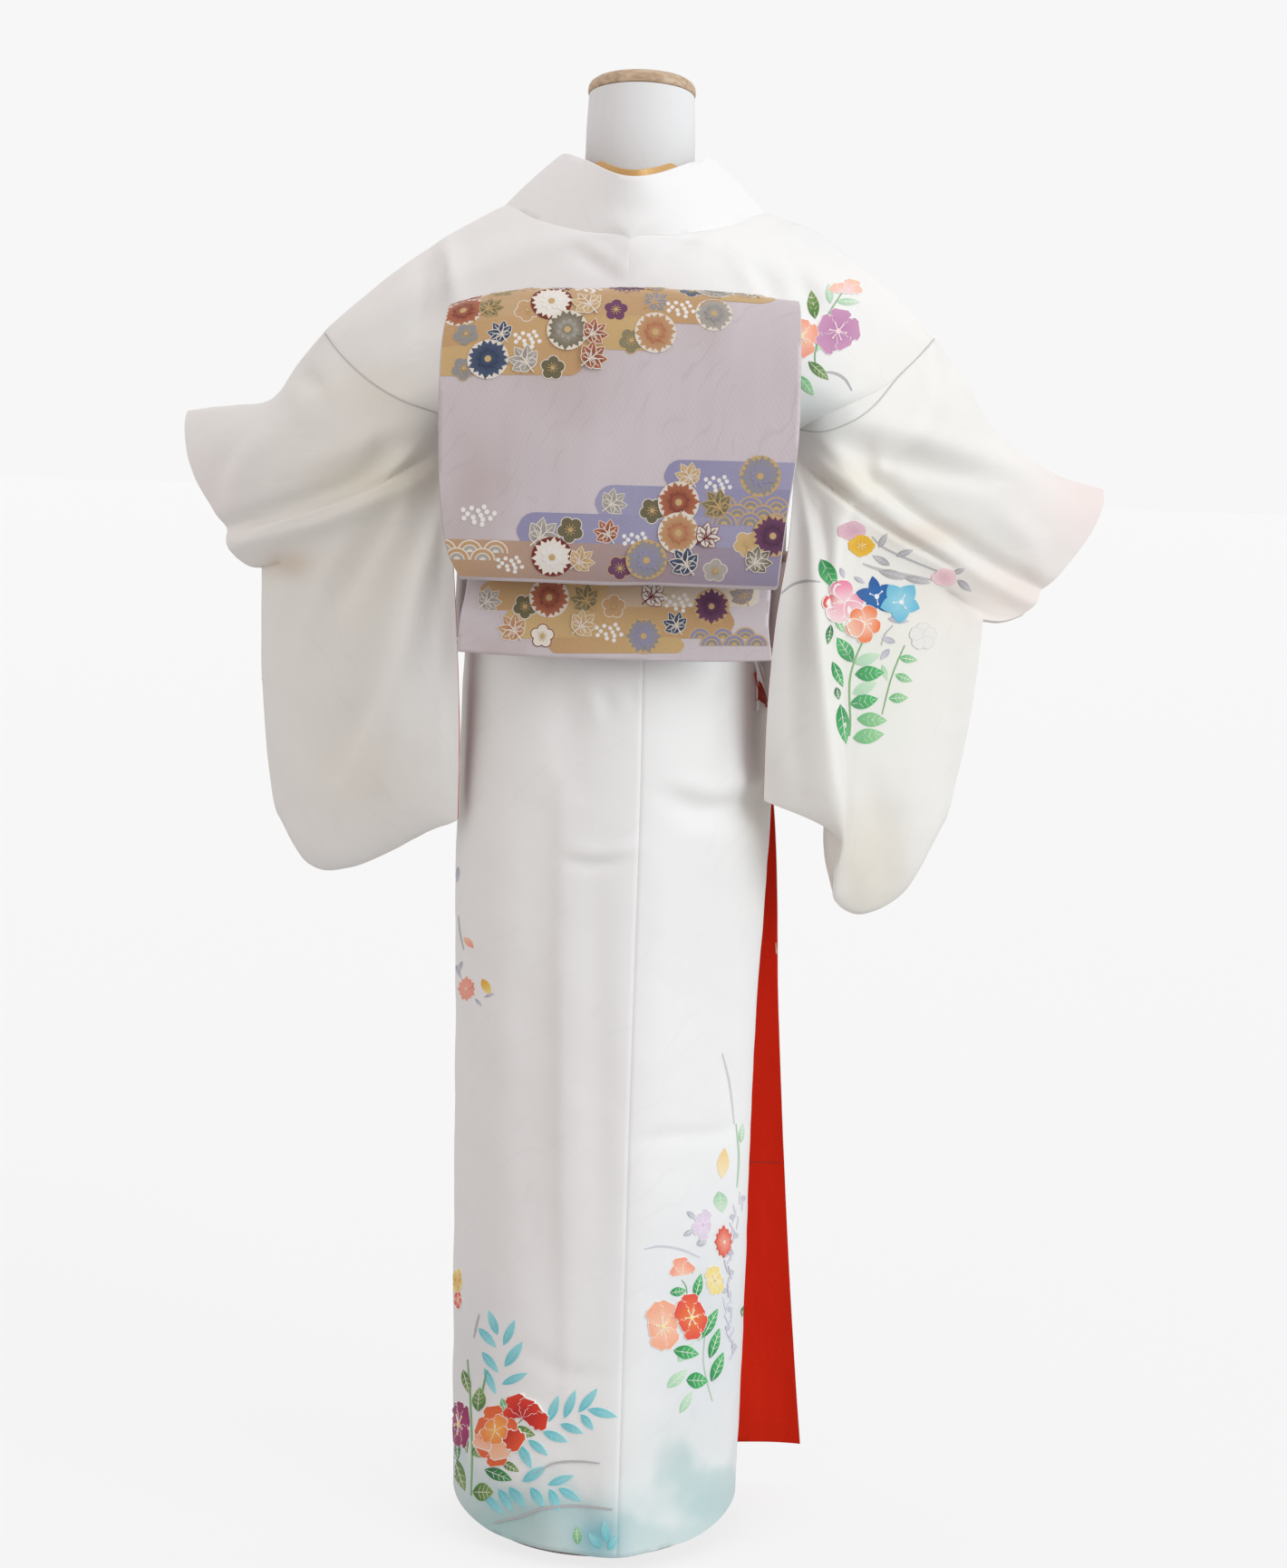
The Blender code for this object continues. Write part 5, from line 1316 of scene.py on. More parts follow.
def times(tree, first, second):
    """Product of two values."""
    return node(tree, "ShaderNodeMath", {0: first, 1: second}, operation="MULTIPLY").outputs[0]


def ranged(tree, value, low, high, to_low=0.0, to_high=1.0):
    """A value brought from one range to another."""
    return node(tree, "ShaderNodeMapRange", {0: value, 1: low, 2: high, 3: to_low, 4: to_high}).outputs[0]


def uneven_value(tree, place, scale, detail=2.0, distortion=0.0):
    """A random value that changes softly over a surface."""
    inputs = {"Vector": place, "Scale": scale, "Detail": detail, "Distortion": distortion}
    return node(tree, "ShaderNodeTexNoise", inputs).outputs["Fac"]


def mix_colour(tree, factor, first, second, blend="MIX"):
    """A mix of two colours; each may be a socket or a plain colour."""
    inputs = {0: factor, 6: first, 7: second}
    return node(tree, "ShaderNodeMix", inputs, data_type="RGBA", blend_type=blend).outputs[2]


def add_bump(tree, shader, height, strength, distance, previous=None):
    """A bump from a height to the shader's normal."""
    inputs = {"Strength": strength, "Distance": distance, "Height": height}
    if previous is not None:
        inputs["Normal"] = previous
    bump = node(tree, "ShaderNodeBump", inputs).outputs[0]
    feed(tree, shader, {"Normal": bump})
    return bump


def weave_group():
    """Threads of a cloth on its flat coordinates: the height of the weave, and its slubs."""
    tree, given, result = new_group(
        "ShaderNodeTree", "weave", (("Vector", "Vector"), ("Across", "Float"), ("Along", "Float")),
        (("Height", "Float"), ("Slub", "Float")),
    )
    flat = node(tree, "ShaderNodeSeparateXYZ", {0: given["Vector"]}).outputs
    waves = []
    for axis, rate in (("X", "Across"), ("Y", "Along")):
        threads = times(tree, flat[axis], given[rate])
        waves.append(node(tree, "ShaderNodeMath", {0: threads}, operation="SINE").outputs[0])
    stretched = {"Vector": given["Vector"], "Scale": (1.0, 0.12, 1.0)}
    slub = uneven_value(tree, node(tree, "ShaderNodeMapping", stretched).outputs[0], 90.0, 3.0)
    crossing = {0: times(tree, *waves), 1: 0.5, 2: slub}
    height = node(tree, "ShaderNodeMath", crossing, operation="MULTIPLY_ADD").outputs[0]
    feed(tree, result, {"Height": height, "Slub": slub})
    return tree


def figure_group():
    """A tone-on-tone woven figure of flowing lines and clouds."""
    tree, given, result = new_group(
        "ShaderNodeTree", "woven_figure", (("Vector", "Vector"), ("Size", "Float")), (("Mask", "Float"),)
    )
    flow = {"Vector": given["Vector"], "Scale": given["Size"], "Distortion": 9.0, "Detail Scale": 0.9}
    wave = node(tree, "ShaderNodeTexWave", flow, wave_type="BANDS", bands_direction="DIAGONAL")
    lines = ranged(tree, wave.outputs["Fac"], 0.88, 0.98)
    clouds = ranged(tree, uneven_value(tree, given["Vector"], given["Size"], 2.0, 0.6), 0.46, 0.62)
    feed(tree, result, {"Mask": times(tree, lines, clouds)})
    return tree


SHEEN_ROUGHNESS = 0.4


def start_material(name, roughness, sheen, specular, metallic=0.0):
    """A material with its shader, and its fixed numbers set on the shader's own sockets."""
    made = bpy.data.materials.new(name)
    made.use_nodes = True
    shader = made.node_tree.nodes["Principled BSDF"]
    feed(made.node_tree, shader, {
        "Roughness": roughness, "Metallic": metallic, "Specular IOR Level": specular, "Sheen Weight": sheen,
        "Sheen Roughness": SHEEN_ROUGHNESS,
    })
    return made, made.node_tree, shader


def cloth_material(name, colour, shade, figure_size, figure_share, weave, bump, roughness, sheen, spread,
                   attribute=None, specular=0.4, metallic=0.0, cloud=None):
    """Woven cloth: its colour, a tone-on-tone figure, uneven threads and the weave's relief."""
    made, tree, shader = start_material(name, roughness, sheen, specular, metallic)
    flat = node(tree, "ShaderNodeUVMap", uv_map="flat").outputs[0]
    rates = {"Vector": flat, "Across": weave, "Along": weave}
    threads = node(tree, "ShaderNodeGroup", rates, node_tree=WEAVE).outputs
    sized = {"Vector": flat, "Size": figure_size}
    figure = node(tree, "ShaderNodeGroup", sized, node_tree=FIGURE).outputs["Mask"]
    share = times(tree, figure, figure_share)
    base = mix_colour(tree, share, colour, shade)
    base = mix_colour(tree, times(tree, threads["Slub"], spread), base, shade)
    if cloud:
        drift = ranged(tree, uneven_value(tree, flat, 5.5, 3.0), 0.44, 0.64, 0.0, 0.75)
        base = mix_colour(tree, drift, base, cloud)
    if attribute:
        tint = node(tree, "ShaderNodeVertexColor", layer_name=attribute).outputs[0]
        base = mix_colour(tree, 1.0, base, tint, "MULTIPLY")
    smoother = ranged(tree, share, 0.0, 1.0, roughness, roughness - 0.16)
    feed(tree, shader, {"Base Color": base, "Roughness": smoother})
    normal = add_bump(tree, shader, threads["Height"], bump, 0.0002)
    add_bump(tree, shader, share, 0.25, 0.0003, normal)
    return made


def painted_material(name, weave, bump, roughness, sheen, gilt=False):
    """Colours laid on cloth from a colour attribute, with the cloth's threads in them."""
    made, tree, shader = start_material(name, roughness, sheen, 0.4)
    colour = node(tree, "ShaderNodeVertexColor", layer_name="paint").outputs[0]
    place = node(tree, "ShaderNodeTexCoord").outputs["Object"]
    uneven = ranged(tree, uneven_value(tree, place, 900.0), 0.0, 1.0, 0.84, 1.06)
    grey = node(tree, "ShaderNodeCombineColor", {0: uneven, 1: uneven, 2: uneven}).outputs[0]
    feed(tree, shader, {"Base Color": mix_colour(tree, 1.0, colour, grey, "MULTIPLY")})
    if gilt:
        metal = node(tree, "ShaderNodeAttribute", attribute_name="gilt").outputs["Fac"]
        feed(tree, shader, {"Metallic": times(tree, metal, 0.75)})
    threads = {"Vector": place, "Scale": weave, "Distortion": 0.6}
    lines = node(tree, "ShaderNodeTexWave", threads, wave_type="BANDS", bands_direction="Z").outputs["Fac"]
    add_bump(tree, shader, lines, bump, 0.0003)
    return made


WOOD_TONES = ((0.35, (0.42, 0.28, 0.17, 1)), (0.68, (0.66, 0.50, 0.34, 1)))


def wood_material():
    """Pale turned wood with its grain."""
    made, tree, shader = start_material("pale_wood", 0.42, 0.0, 0.5)
    place = node(tree, "ShaderNodeTexCoord").outputs["Object"]
    stretched = node(tree, "ShaderNodeMapping", {"Vector": place, "Scale": (1.0, 6.0, 6.0)}).outputs[0]
    grain = uneven_value(tree, stretched, 42.0, 5.0, 0.7)
    ramp = node(tree, "ShaderNodeValToRGB", {0: grain})
    for stop, (position, colour) in zip(ramp.color_ramp.elements, WOOD_TONES):
        stop.position = position
        stop.color = colour
    feed(tree, shader, {"Base Color": ramp.outputs[0]})
    add_bump(tree, shader, grain, 0.15, 0.0004)
    return made


def metal_material():
    """Painted steel of the stand, slightly uneven."""
    made, tree, shader = start_material("satin_grey_paint", 0.38, 0.0, 0.5, 0.6)
    speck = uneven_value(tree, node(tree, "ShaderNodeTexCoord").outputs["Object"], 260.0, 3.0)
    base = mix_colour(tree, speck, (0.70, 0.70, 0.69), (0.76, 0.76, 0.75))
    feed(tree, shader, {"Base Color": base, "Roughness": ranged(tree, speck, 0.0, 1.0, 0.30, 0.46)})
    add_bump(tree, shader, speck, 0.08, 0.0002)
    return made


WEAVE = weave_group()
FIGURE = figure_group()
# The silk's colour is multiplied by its colour attribute of dyed tints, painted shade and painted light.
SILK = cloth_material("white_silk", (0.875, 0.865, 0.855), (0.80, 0.79, 0.78), 16.0, 0.22, 2400, 0.18,
                      0.50, 0.20, 0.16, attribute="tint_and_painted_light")
LINING = cloth_material("vermilion_lining", (0.66, 0.018, 0.002), (0.44, 0.008, 0.001), 7.0, 0.0, 2000, 0.30,
                        0.66, 0.02, 0.50, specular=0.12)
GOLD = cloth_material("gold_satin", (0.66, 0.40, 0.15), (0.46, 0.22, 0.05), 30.0, 0.4, 2400, 0.25,
                      0.38, 0.2, 0.5, metallic=0.15)
BROCADE = cloth_material("silver_brocade", (0.62, 0.555, 0.575), (0.47, 0.40, 0.42), 34.0, 0.28, 1500, 0.45,
                         0.46, 0.25, 0.30, metallic=0.10, cloud=(0.47, 0.375, 0.365))
OBI_REVERSE = cloth_material("obi_reverse", (0.50, 0.45, 0.46), (0.38, 0.33, 0.35), 11.0, 0.2, 1300, 0.5,
                             0.6, 0.2, 0.4)
CREPE = cloth_material("crepe_silk", (0.84, 0.80, 0.78), (0.70, 0.62, 0.60), 26.0, 0.4, 1500, 0.7,
                       0.62, 0.3, 0.4)
PAD_CLOTH = cloth_material("pad_cotton", (0.80, 0.74, 0.72), (0.66, 0.60, 0.58), 20.0, 0.1, 1600, 0.6,
                           0.8, 0.1, 0.4)
FORM_CLOTH = cloth_material("form_cover", (0.84, 0.835, 0.83), (0.74, 0.735, 0.73), 20.0, 0.0, 2600, 0.35,
                            0.72, 0.12, 0.25)
BRAID = cloth_material("braided_silk", (0.76, 0.66, 0.52), (0.58, 0.44, 0.30), 60.0, 0.3, 5200, 0.5,
                       0.5, 0.3, 0.5)
# One film material for the dyed flowers and marks and for the painted shade along the armhole seams.
PAINT = painted_material("dyed_colours_and_painted_shade", 260.0, 0.10, 0.55, 0.15)
THREADS = painted_material("woven_colours", 420.0, 0.45, 0.45, 0.25, gilt=True)
WOOD = wood_material()
STEEL = metal_material()


# Flat shapes for dyed and woven motifs, each with its points, colours, gilt, faces and height over others

Shape = namedtuple("Shape", "points colours gilt faces rise")
WHITE_LINE = (0.93, 0.91, 0.86)
GREENS = {
    "deep": ((0.02, 0.16, 0.05), (0.05, 0.30, 0.08)),
    "leaf": ((0.02, 0.30, 0.08), (0.08, 0.50, 0.15)),
    "fresh": ((0.16, 0.50, 0.20), (0.34, 0.66, 0.32)),
    "pale": ((0.42, 0.68, 0.44), (0.62, 0.80, 0.60)),
    "olive": ((0.07, 0.20, 0.03), (0.22, 0.36, 0.08)),
    "cyan": ((0.16, 0.58, 0.64), (0.34, 0.76, 0.79)),
    "grey": ((0.40, 0.38, 0.38), (0.58, 0.56, 0.56)),
    "lilac": ((0.46, 0.44, 0.52), (0.62, 0.60, 0.68)),
}

OUTLINE_STEPS = {"narrow": 4, "pointed": 6, "leaf": 8, "round": 9, "ruffled": 15}
FILL_RINGS = {**dict.fromkeys(OUTLINE_STEPS, (0.6, 1.0)), "narrow": (1.0,)}
UNSQUASHED = (1.0, 1.0)
VEIN_WIDTH = 0.65
EDGE_GILT = 0.6
BARE = {"stamens": 0, "heart": None}
BELL = {"heart": (0.85, 0.90, 0.92), "edge": None}


def heading(degrees):
    """Unit direction at an angle."""
    a = math.radians(degrees)
    return np.array((math.cos(a), math.sin(a)))


def unit_outline(kind):
    """Outline of a petal or leaf from its base at 0, 0 to its tip at 1, 0, and round again."""
    t = np.linspace(0, 1, OUTLINE_STEPS[kind] + 1)
    if kind == "round":
        half = 0.50 * np.sin(math.pi * t**1.25) ** 0.62
        reach = t - 0.07 * smooth((t - 0.9) / 0.1)
    elif kind == "ruffled":
        half = 0.42 * np.sin(math.pi * t**1.6) ** 0.72 * (1 + 0.16 * np.sin(t * 26))
        reach = t * (1 + 0.05 * np.sin(t * 31)) - 0.08 * smooth((t - 0.92) / 0.08)
    elif kind == "pointed":
        half = 0.34 * np.sin(math.pi * t**0.95) ** 0.85 * (1 - 0.15 * t)
        reach = t
    elif kind == "narrow":
        half = 0.15 * np.sin(math.pi * t**1.4) ** 0.7
        reach = t
    else:
        half = 0.25 * np.sin(math.pi * t**0.88) ** 0.92
        reach = t
    upper = np.stack([reach, half], -1)
    lower = np.stack([reach, -half], -1)[::-1]
    return np.concatenate([upper, lower[1:-1]])


def turned(points, place, length, width, angle, squash):
    """An outline scaled, turned and squashed to its place."""
    run = heading(angle)
    across = np.array((-run[1], run[0]))
    return place + (points[:, :1] * length * run + points[:, 1:] * width * across) * squash


def filled(outline, centre, start, end, first, second, gilt=0.0, rings=(0.5, 0.8, 1.0)):
    """A filled outline whose colour goes from one end of a line to the other."""
    outline, centre = np.asarray(outline, float), np.asarray(centre, float)
    points = [centre[None]] + [centre + (outline - centre) * r for r in rings]
    points = np.concatenate(points)
    count = len(outline)
    faces = [(0, 1 + i, 1 + (i + 1) % count) for i in range(count)]
    for r in range(len(rings) - 1):
        a, b = 1 + r * count, 1 + (r + 1) * count
        faces += [(a + i, b + i, b + (i + 1) % count, a + (i + 1) % count) for i in range(count)]
    line = np.asarray(end, float) - np.asarray(start, float)
    share = smooth((points - np.asarray(start)) @ line / max(line @ line, 1e-9))[:, None]
    colours = np.asarray(first) * (1 - share) + np.asarray(second) * share
    return Shape(points, colours, np.full(len(points), gilt), faces, 1.0)


def stroke(points, width, colour, taper=1.0, split=6, gilt=0.0):
    """A brushed or woven line of a width that tapers at its ends."""
    line = refine(points, split)
    run = unit(differences(line, 0))
    side = np.stack([-run[:, 1], run[:, 0]], -1)
    t = np.linspace(0, 1, len(line))
    half = width / 2 * ((1 - taper) + taper * np.sin(math.pi * np.clip(0.06 + 0.88 * t, 0, 1)) ** 0.7)
    reach = side * half[:, None]
    flat = np.stack([line - reach, line + reach], 1).reshape(-1, 2)
    colours = np.tile(np.asarray(colour, float), (len(flat), 1))
    return Shape(flat, colours, np.full(len(flat), gilt), grid_faces(len(line), 2), 2.0)


def disc(x, y, radius, colour, squash=UNSQUASHED, steps=12, gilt=0.0):
    """A round dot."""
    turn = turns(steps)
    outline = np.stack([x + radius * np.cos(turn) * squash[0], y + radius * np.sin(turn) * squash[1]], -1)
    return filled(outline, (x, y), (x, y - radius), (x, y + radius), colour, colour, gilt, (1.0,))


def petal(kind, x, y, length, width, angle, base, tip, squash=UNSQUASHED, edge=WHITE_LINE, rim=1.0,
          edge_gilt=0.0):
    """A petal or leaf with its paler outline under it."""
    foot = np.array((x, y))
    end = foot + heading(angle) * length * squash
    centre = (foot + end) / 2
    fill = turned(unit_outline(kind), foot, length, width, angle, squash)
    shapes = []
    if edge is not None:
        out = fill - centre
        wide = fill + out / np.maximum(np.linalg.norm(out, axis=1, keepdims=True), 1e-6) * rim
        shapes.append(filled(wide, centre, foot, end, edge, edge, edge_gilt, FILL_RINGS[kind]))
    shapes.append(filled(fill, centre, foot, end, base, tip, 0.0, FILL_RINGS[kind]))
    return shapes


def leaf(x, y, length, width, angle, green, veins=WHITE_LINE):
    """A leaf by its middle, with a midrib and side veins."""
    run = heading(angle)
    side = np.array((-run[1], run[0]))
    foot = np.array((x, y)) - run * length / 2
    shapes = petal("leaf", *foot, length, width * 2, angle, *GREENS[green], edge=None)
    if veins is None:
        return shapes
    shapes.append(stroke([foot + run * length * t for t in (0.04, 0.5, 0.93)], VEIN_WIDTH, veins, 0.8))
    for t in (0.30, 0.50, 0.68):
        reach = width * 0.40 * math.sin(math.pi * t**0.88)
        start = foot + run * length * t
        for way in (-1, 1):
            end = start + run * length * 0.12 + side * way * reach
            shapes.append(stroke([start, end], VEIN_WIDTH * 0.55, veins, 0.5, split=2))
    return shapes


def flower(x, y, size, petals, kind, base, tip, turn=0.0, squash=UNSQUASHED, width=1.0, edge=WHITE_LINE,
           heart=(0.95, 0.82, 0.35), stamens=5, arc=360.0):
    """An open flower of equal petals about its heart; arc is less than a turn for one seen from the side."""
    place = np.array((x, y))
    uneven = 0.15 if kind == "ruffled" else 0.06
    shapes = []
    for k in range(petals):
        length = size * (1 + uneven * math.sin(k * 2.3 + x))
        angle = turn + arc * k / petals
        shapes += petal(kind, x, y, length, length * width, angle, base, tip, squash, edge, 0.5)
    for k in range(stamens):
        end = place + heading(turn + arc * (k + 0.5) / stamens) * size * 0.36 * squash
        shapes.append(stroke([place, (place + end) / 2, end], size * 0.032, WHITE_LINE, 0.3, split=2))
        shapes.append(disc(*end, size * 0.045, heart or WHITE_LINE, squash, 8))
    if heart is not None:
        shapes.append(disc(x, y, size * 0.12, heart, squash, 10))
    return shapes


def peony(x, y, size, base, tip, inner_base, inner_tip, turn):
    """A full flower with two rings of ruffled petals."""
    shapes = flower(x, y, size, 6, "ruffled", base, tip, turn, width=1.05, **BARE)
    shapes += flower(x, y, size * 0.62, 5, "ruffled", inner_base, inner_tip, turn + 30, width=1.05)
    return shapes


def chrysanthemum(x, y, size, base, tip, edge, heart, petals=16, turn=0.0):
    """A round many-petalled flower of woven colour."""
    shapes = [disc(x, y, size * 1.03, edge, steps=28, gilt=EDGE_GILT)]
    shapes += flower(x, y, size, petals, "narrow", base, tip, turn, width=1.15, edge=None, **BARE)
    shapes += flower(x, y, size * 0.55, petals // 2, "narrow", tip, base, turn + 8, width=1.5, edge=None,
                     **BARE)
    shapes.append(disc(x, y, size * 0.17, heart, steps=12, gilt=0.5))
    return shapes


LOBES = ((0, 1.0), (38, 0.92), (-38, 0.92), (76, 0.74), (-76, 0.74), (116, 0.46), (-116, 0.46))


def maple(x, y, size, base, tip, edge, angle=0.0):
    """A leaf of seven pointed lobes with ribs."""
    place = np.array((x, y))
    shapes = []
    for turn, reach in LOBES:
        shapes += petal("leaf", x, y, size * reach, size * 0.92, angle + turn, base, tip, edge=edge,
                        rim=size * 0.045, edge_gilt=EDGE_GILT)
    ribs = [(turn, reach * 0.8, 0.05, 0.6) for turn, reach in LOBES] + [(180, 0.55, 0.07, 0.3)]
    for turn, reach, width, taper in ribs:
        end = place + heading(angle + turn) * size * reach
        shapes.append(stroke([place, end], size * width, edge, taper, split=3, gilt=EDGE_GILT))
    return shapes


def plum(x, y, size, colour, edge, heart, turn=0.0):
    """A five-petalled blossom of round petals."""
    place = np.array((x, y))
    shapes = []
    for radius, tone, gilt in ((0.47, edge, EDGE_GILT), (0.40, colour, 0.0)):
        for k in range(5):
            middle = place + heading(turn + 72 * k) * size * 0.52
            shapes.append(disc(*middle, size * radius, tone, steps=14, gilt=gilt))
    for k in range(10):
        end = place + heading(turn + 36 * k + 18) * size * 0.42
        shapes.append(stroke([place, end], size * 0.05, heart, 0.2, split=2, gilt=EDGE_GILT))
    shapes.append(disc(x, y, size * 0.14, heart, steps=10, gilt=EDGE_GILT))
    return shapes


def sprig(points, leaves, green, size, width, stem, flip=1):
    """A stem with leaves set along it on alternate sides and one at its tip."""
    line = refine(points, 8)
    last = len(line) - 1
    shapes = [stroke(points, width * 0.14, stem, 0.5)]
    for k in range(leaves):
        i = int((0.16 + 0.80 * k / leaves) * last)
        run = line[min(i + 1, last)] - line[max(i - 1, 0)]
        angle = math.degrees(math.atan2(run[1], run[0])) + flip * (48 if k % 2 else -48)
        scale = 1 - 0.25 * k / leaves
        middle = line[i] + heading(angle) * size * scale * 0.56
        shapes += leaf(*middle, size * scale, width * scale, angle, green, None)
    run = line[-1] - line[-3]
    angle = math.degrees(math.atan2(run[1], run[0]))
    tip = line[-1] + heading(angle) * size * 0.4
    shapes += leaf(*tip, size * 0.8, width * 0.8, angle, green, None)
    return shapes


# Laying flat shapes on the cloth

LIFT = 0.00040
PAINT_STEP = 0.000040
WOVEN_STEP = 0.000022
SINK = 0.00050
TORN_STRETCH = 5
TORN_STEP = 0.003
LEAST_AREA = 1e-9


def cloth_tree(*pieces, slot):
    """The faces of one finish on cloth pieces, for finding places on them."""
    points, faces = [], []
    for piece in pieces:
        start = len(points)
        points += [v.co.copy() for v in piece.data.vertices]
        faces += [[start + i for i in p.vertices] for p in piece.data.polygons if p.material_index == slot]
    return BVHTree.FromPolygons(points, faces)


def seen_on(tree, start, ray):
    """Where a ray meets the cloth, with the normal that faces it, or None."""
    place, normal, _, _ = tree.ray_cast(start, ray)
    if place is None:
        return None
    return place, (-normal if normal.dot(ray) > 0 else normal)


def photo_finder(*pieces, slot=0):
    """Finds the place on cloth pieces that is seen at a pixel of the photograph."""
    tree, eye = cloth_tree(*pieces, slot=slot), Vector(CAMERA_PLACE)

    def find(x, y):
        right, rise = (x - PICTURE_WIDTH / 2) / FOCAL_PIXELS, (PICTURE_HEIGHT / 2 - y) / FOCAL_PIXELS
        return seen_on(tree, eye, Vector(FORWARD + CAMERA_RIGHT * right + CAMERA_UP * rise).normalized())

    return find, SCALE


def level_finder(piece):
    """Finds the place on a cloth piece seen in a level drawing from the front."""
    tree, ray = cloth_tree(piece, slot=0), Vector((0, -1, 0))

    def find(x, y):
        return seen_on(tree, Vector(((PICTURE_WIDTH / 2 - x) * SCALE, 3, DRAWING_TOP - y * SCALE)), ray)

    return find, SCALE


def strip_finder(grid, normals, origin):
    """Finds a place on a strip by its x and its distance along the strip from a row, in millimetres."""
    middle = grid.shape[1] // 2
    run = run_of(grid[:, middle])
    run = (run - run[origin]) * 1000
    columns = grid.shape[1] - 1

    def find(x, y):
        row = float(np.interp(y, run, np.arange(len(run))))
        r = min(int(row), len(run) - 2)
        share = row - r
        lines = grid[r] * (1 - share) + grid[r + 1] * share
        tilts = normals[r] * (1 - share) + normals[r + 1] * share
        place = float(np.interp(x / 1000, lines[:, 0], np.arange(columns + 1)))
        c = min(int(place), columns - 1)
        t = place - c
        point = lines[c] * (1 - t) + lines[c + 1] * t
        return Vector(point), Vector(tilts[c]).normalized()

    return find, 0.001


def layers_of(shapes):
    """The layer of each shape: one above the highest of the shapes that it covers."""
    low = np.array([shape.points.min(axis=0) for shape in shapes])
    high = np.array([shape.points.max(axis=0) for shape in shapes])
    layers = np.array([shape.rise for shape in shapes])
    for i in range(1, len(shapes)):
        under = ((low[:i] < high[i]) & (high[:i] > low[i])).all(axis=1)
        if under.any():
            layers[i] += layers[:i][under].max()
    return layers


def lay(name, shapes, finder, finish):
    """Lay flat shapes on cloth, each a thin closed film sunk a little into it."""
    find, scale = finder
    step = PAINT_STEP if finish is PAINT else WOVEN_STEP
    points, colours, gilt, faces = [], [], [], []
    for layer, shape in zip(layers_of(shapes), shapes):
        found = [find(x, y) for x, y in shape.points]
        lift = LIFT + step * layer
        top, low = {}, {}
        kept = []
        for face in shape.faces:
            if any(found[i] is None for i in face):
                continue
            corners = [found[i][0] for i in face]
            whole = True
            for k in range(len(face)):
                flat = math.dist(shape.points[face[k]], shape.points[face[k - 1]]) * scale
                if (corners[k] - corners[k - 1]).length > flat * TORN_STRETCH + TORN_STEP:
                    whole = False
            area = (corners[1] - corners[0]).cross(corners[2] - corners[0]).length
            if len(corners) > 3:
                area += (corners[2] - corners[0]).cross(corners[3] - corners[0]).length
            if whole and area > LEAST_AREA:
                kept.append(face)
        edges = dict.fromkeys((i, face[(k + 1) % len(face)]) for face in kept for k, i in enumerate(face))
        for i in sorted({i for face in kept for i in face}):
            place, normal = found[i]
            top[i] = len(points)
            points.append(place + normal * lift)
            low[i] = len(points)
            points.append(place - normal * SINK)
            for _ in range(2):
                colours.append(tuple(shape.colours[i]) + (1.0,))
                gilt.append(float(shape.gilt[i]))
        for face in kept:
            faces.append(tuple(top[i] for i in face))
            faces.append(tuple(low[i] for i in reversed(face)))
        for i, j in edges:
            if (j, i) not in edges:
                faces.append((top[j], top[i], low[i], low[j]))
    piece = finish_piece(name, np.array([tuple(p) for p in points]), faces, (finish,), sharp=60)
    tints = piece.data.color_attributes.new("paint", "FLOAT_COLOR", "POINT")
    tints.data.foreach_set("color", np.asarray(colours, np.float32).ravel())
    metal = piece.data.attributes.new("gilt", "FLOAT", "POINT")
    metal.data.foreach_set("value", np.asarray(gilt, np.float32))
    return piece


# Dyed sprays on the silk, in the photograph's frame

CORAL, PEACH, SCARLET = (0.93, 0.34, 0.22), (0.96, 0.56, 0.40), (0.78, 0.045, 0.02)
ORANGE, ROSE, MAUVE = (0.90, 0.20, 0.05), (0.90, 0.20, 0.36), (0.62, 0.30, 0.48)
PALE_PINK, YELLOW, AMBER = (0.94, 0.68, 0.70), (0.93, 0.72, 0.22), (0.80, 0.42, 0.02)
MAGENTA, DEEP_RED, BLUE = (0.42, 0.02, 0.16), (0.52, 0.01, 0.01), (0.01, 0.10, 0.34)
SKY, PALE_LILAC, STEM_GREEN = (0.16, 0.52, 0.70), (0.76, 0.66, 0.78), (0.24, 0.46, 0.20)
GREY_LINE = (0.52, 0.50, 0.51)
# Grey of the thin lines along the armhole seams: painted shade of the seams' creases.
PAINTED_SEAM_SHADE = (0.60, 0.58, 0.56)


def leaves_of(rows, veins=WHITE_LINE):
    """Leaves from rows of place, size, angle and green."""
    shapes = []
    for x, y, length, width, angle, green in rows:
        shapes += leaf(x, y, length, width, angle, green, veins)
    return shapes


def shoulder_spray():
    """Spray on the wearer's right back shoulder."""
    shapes = [
        stroke([(931, 320), (915, 345), (903, 372), (899, 396), (904, 412)], 1.4, STEM_GREEN, 0.4),
        stroke([(900, 412), (918, 411), (932, 418), (940, 431)], 2.6, GREY_LINE, 0.9),
    ]
    shapes += leaves_of((
        (897, 336, 32, 13, -98, "olive"), (915, 324, 22, 8, -96, "pale"), (936, 333, 26, 8, 2, "pale"),
        (903, 409, 30, 11, 42, "olive"), (889, 425, 28, 11, 52, "fresh"), (905, 381, 16, 5, -60, "pale"),
    ))
    shapes += flower(933, 324, 20, 4, "ruffled", PALE_PINK, PEACH, -142, (1.1, 0.75), 0.8, **BARE, arc=150)
    shapes += flower(884, 371, 24, 5, "ruffled", PEACH, CORAL, -80, (0.8, 1.0), 1.0, stamens=4)
    shapes += flower(924, 366, 26, 5, "ruffled", (0.52, 0.22, 0.42), MAUVE, -80, (0.96, 1.0), 1.05, stamens=6,
                     heart=PALE_PINK)
    return shapes


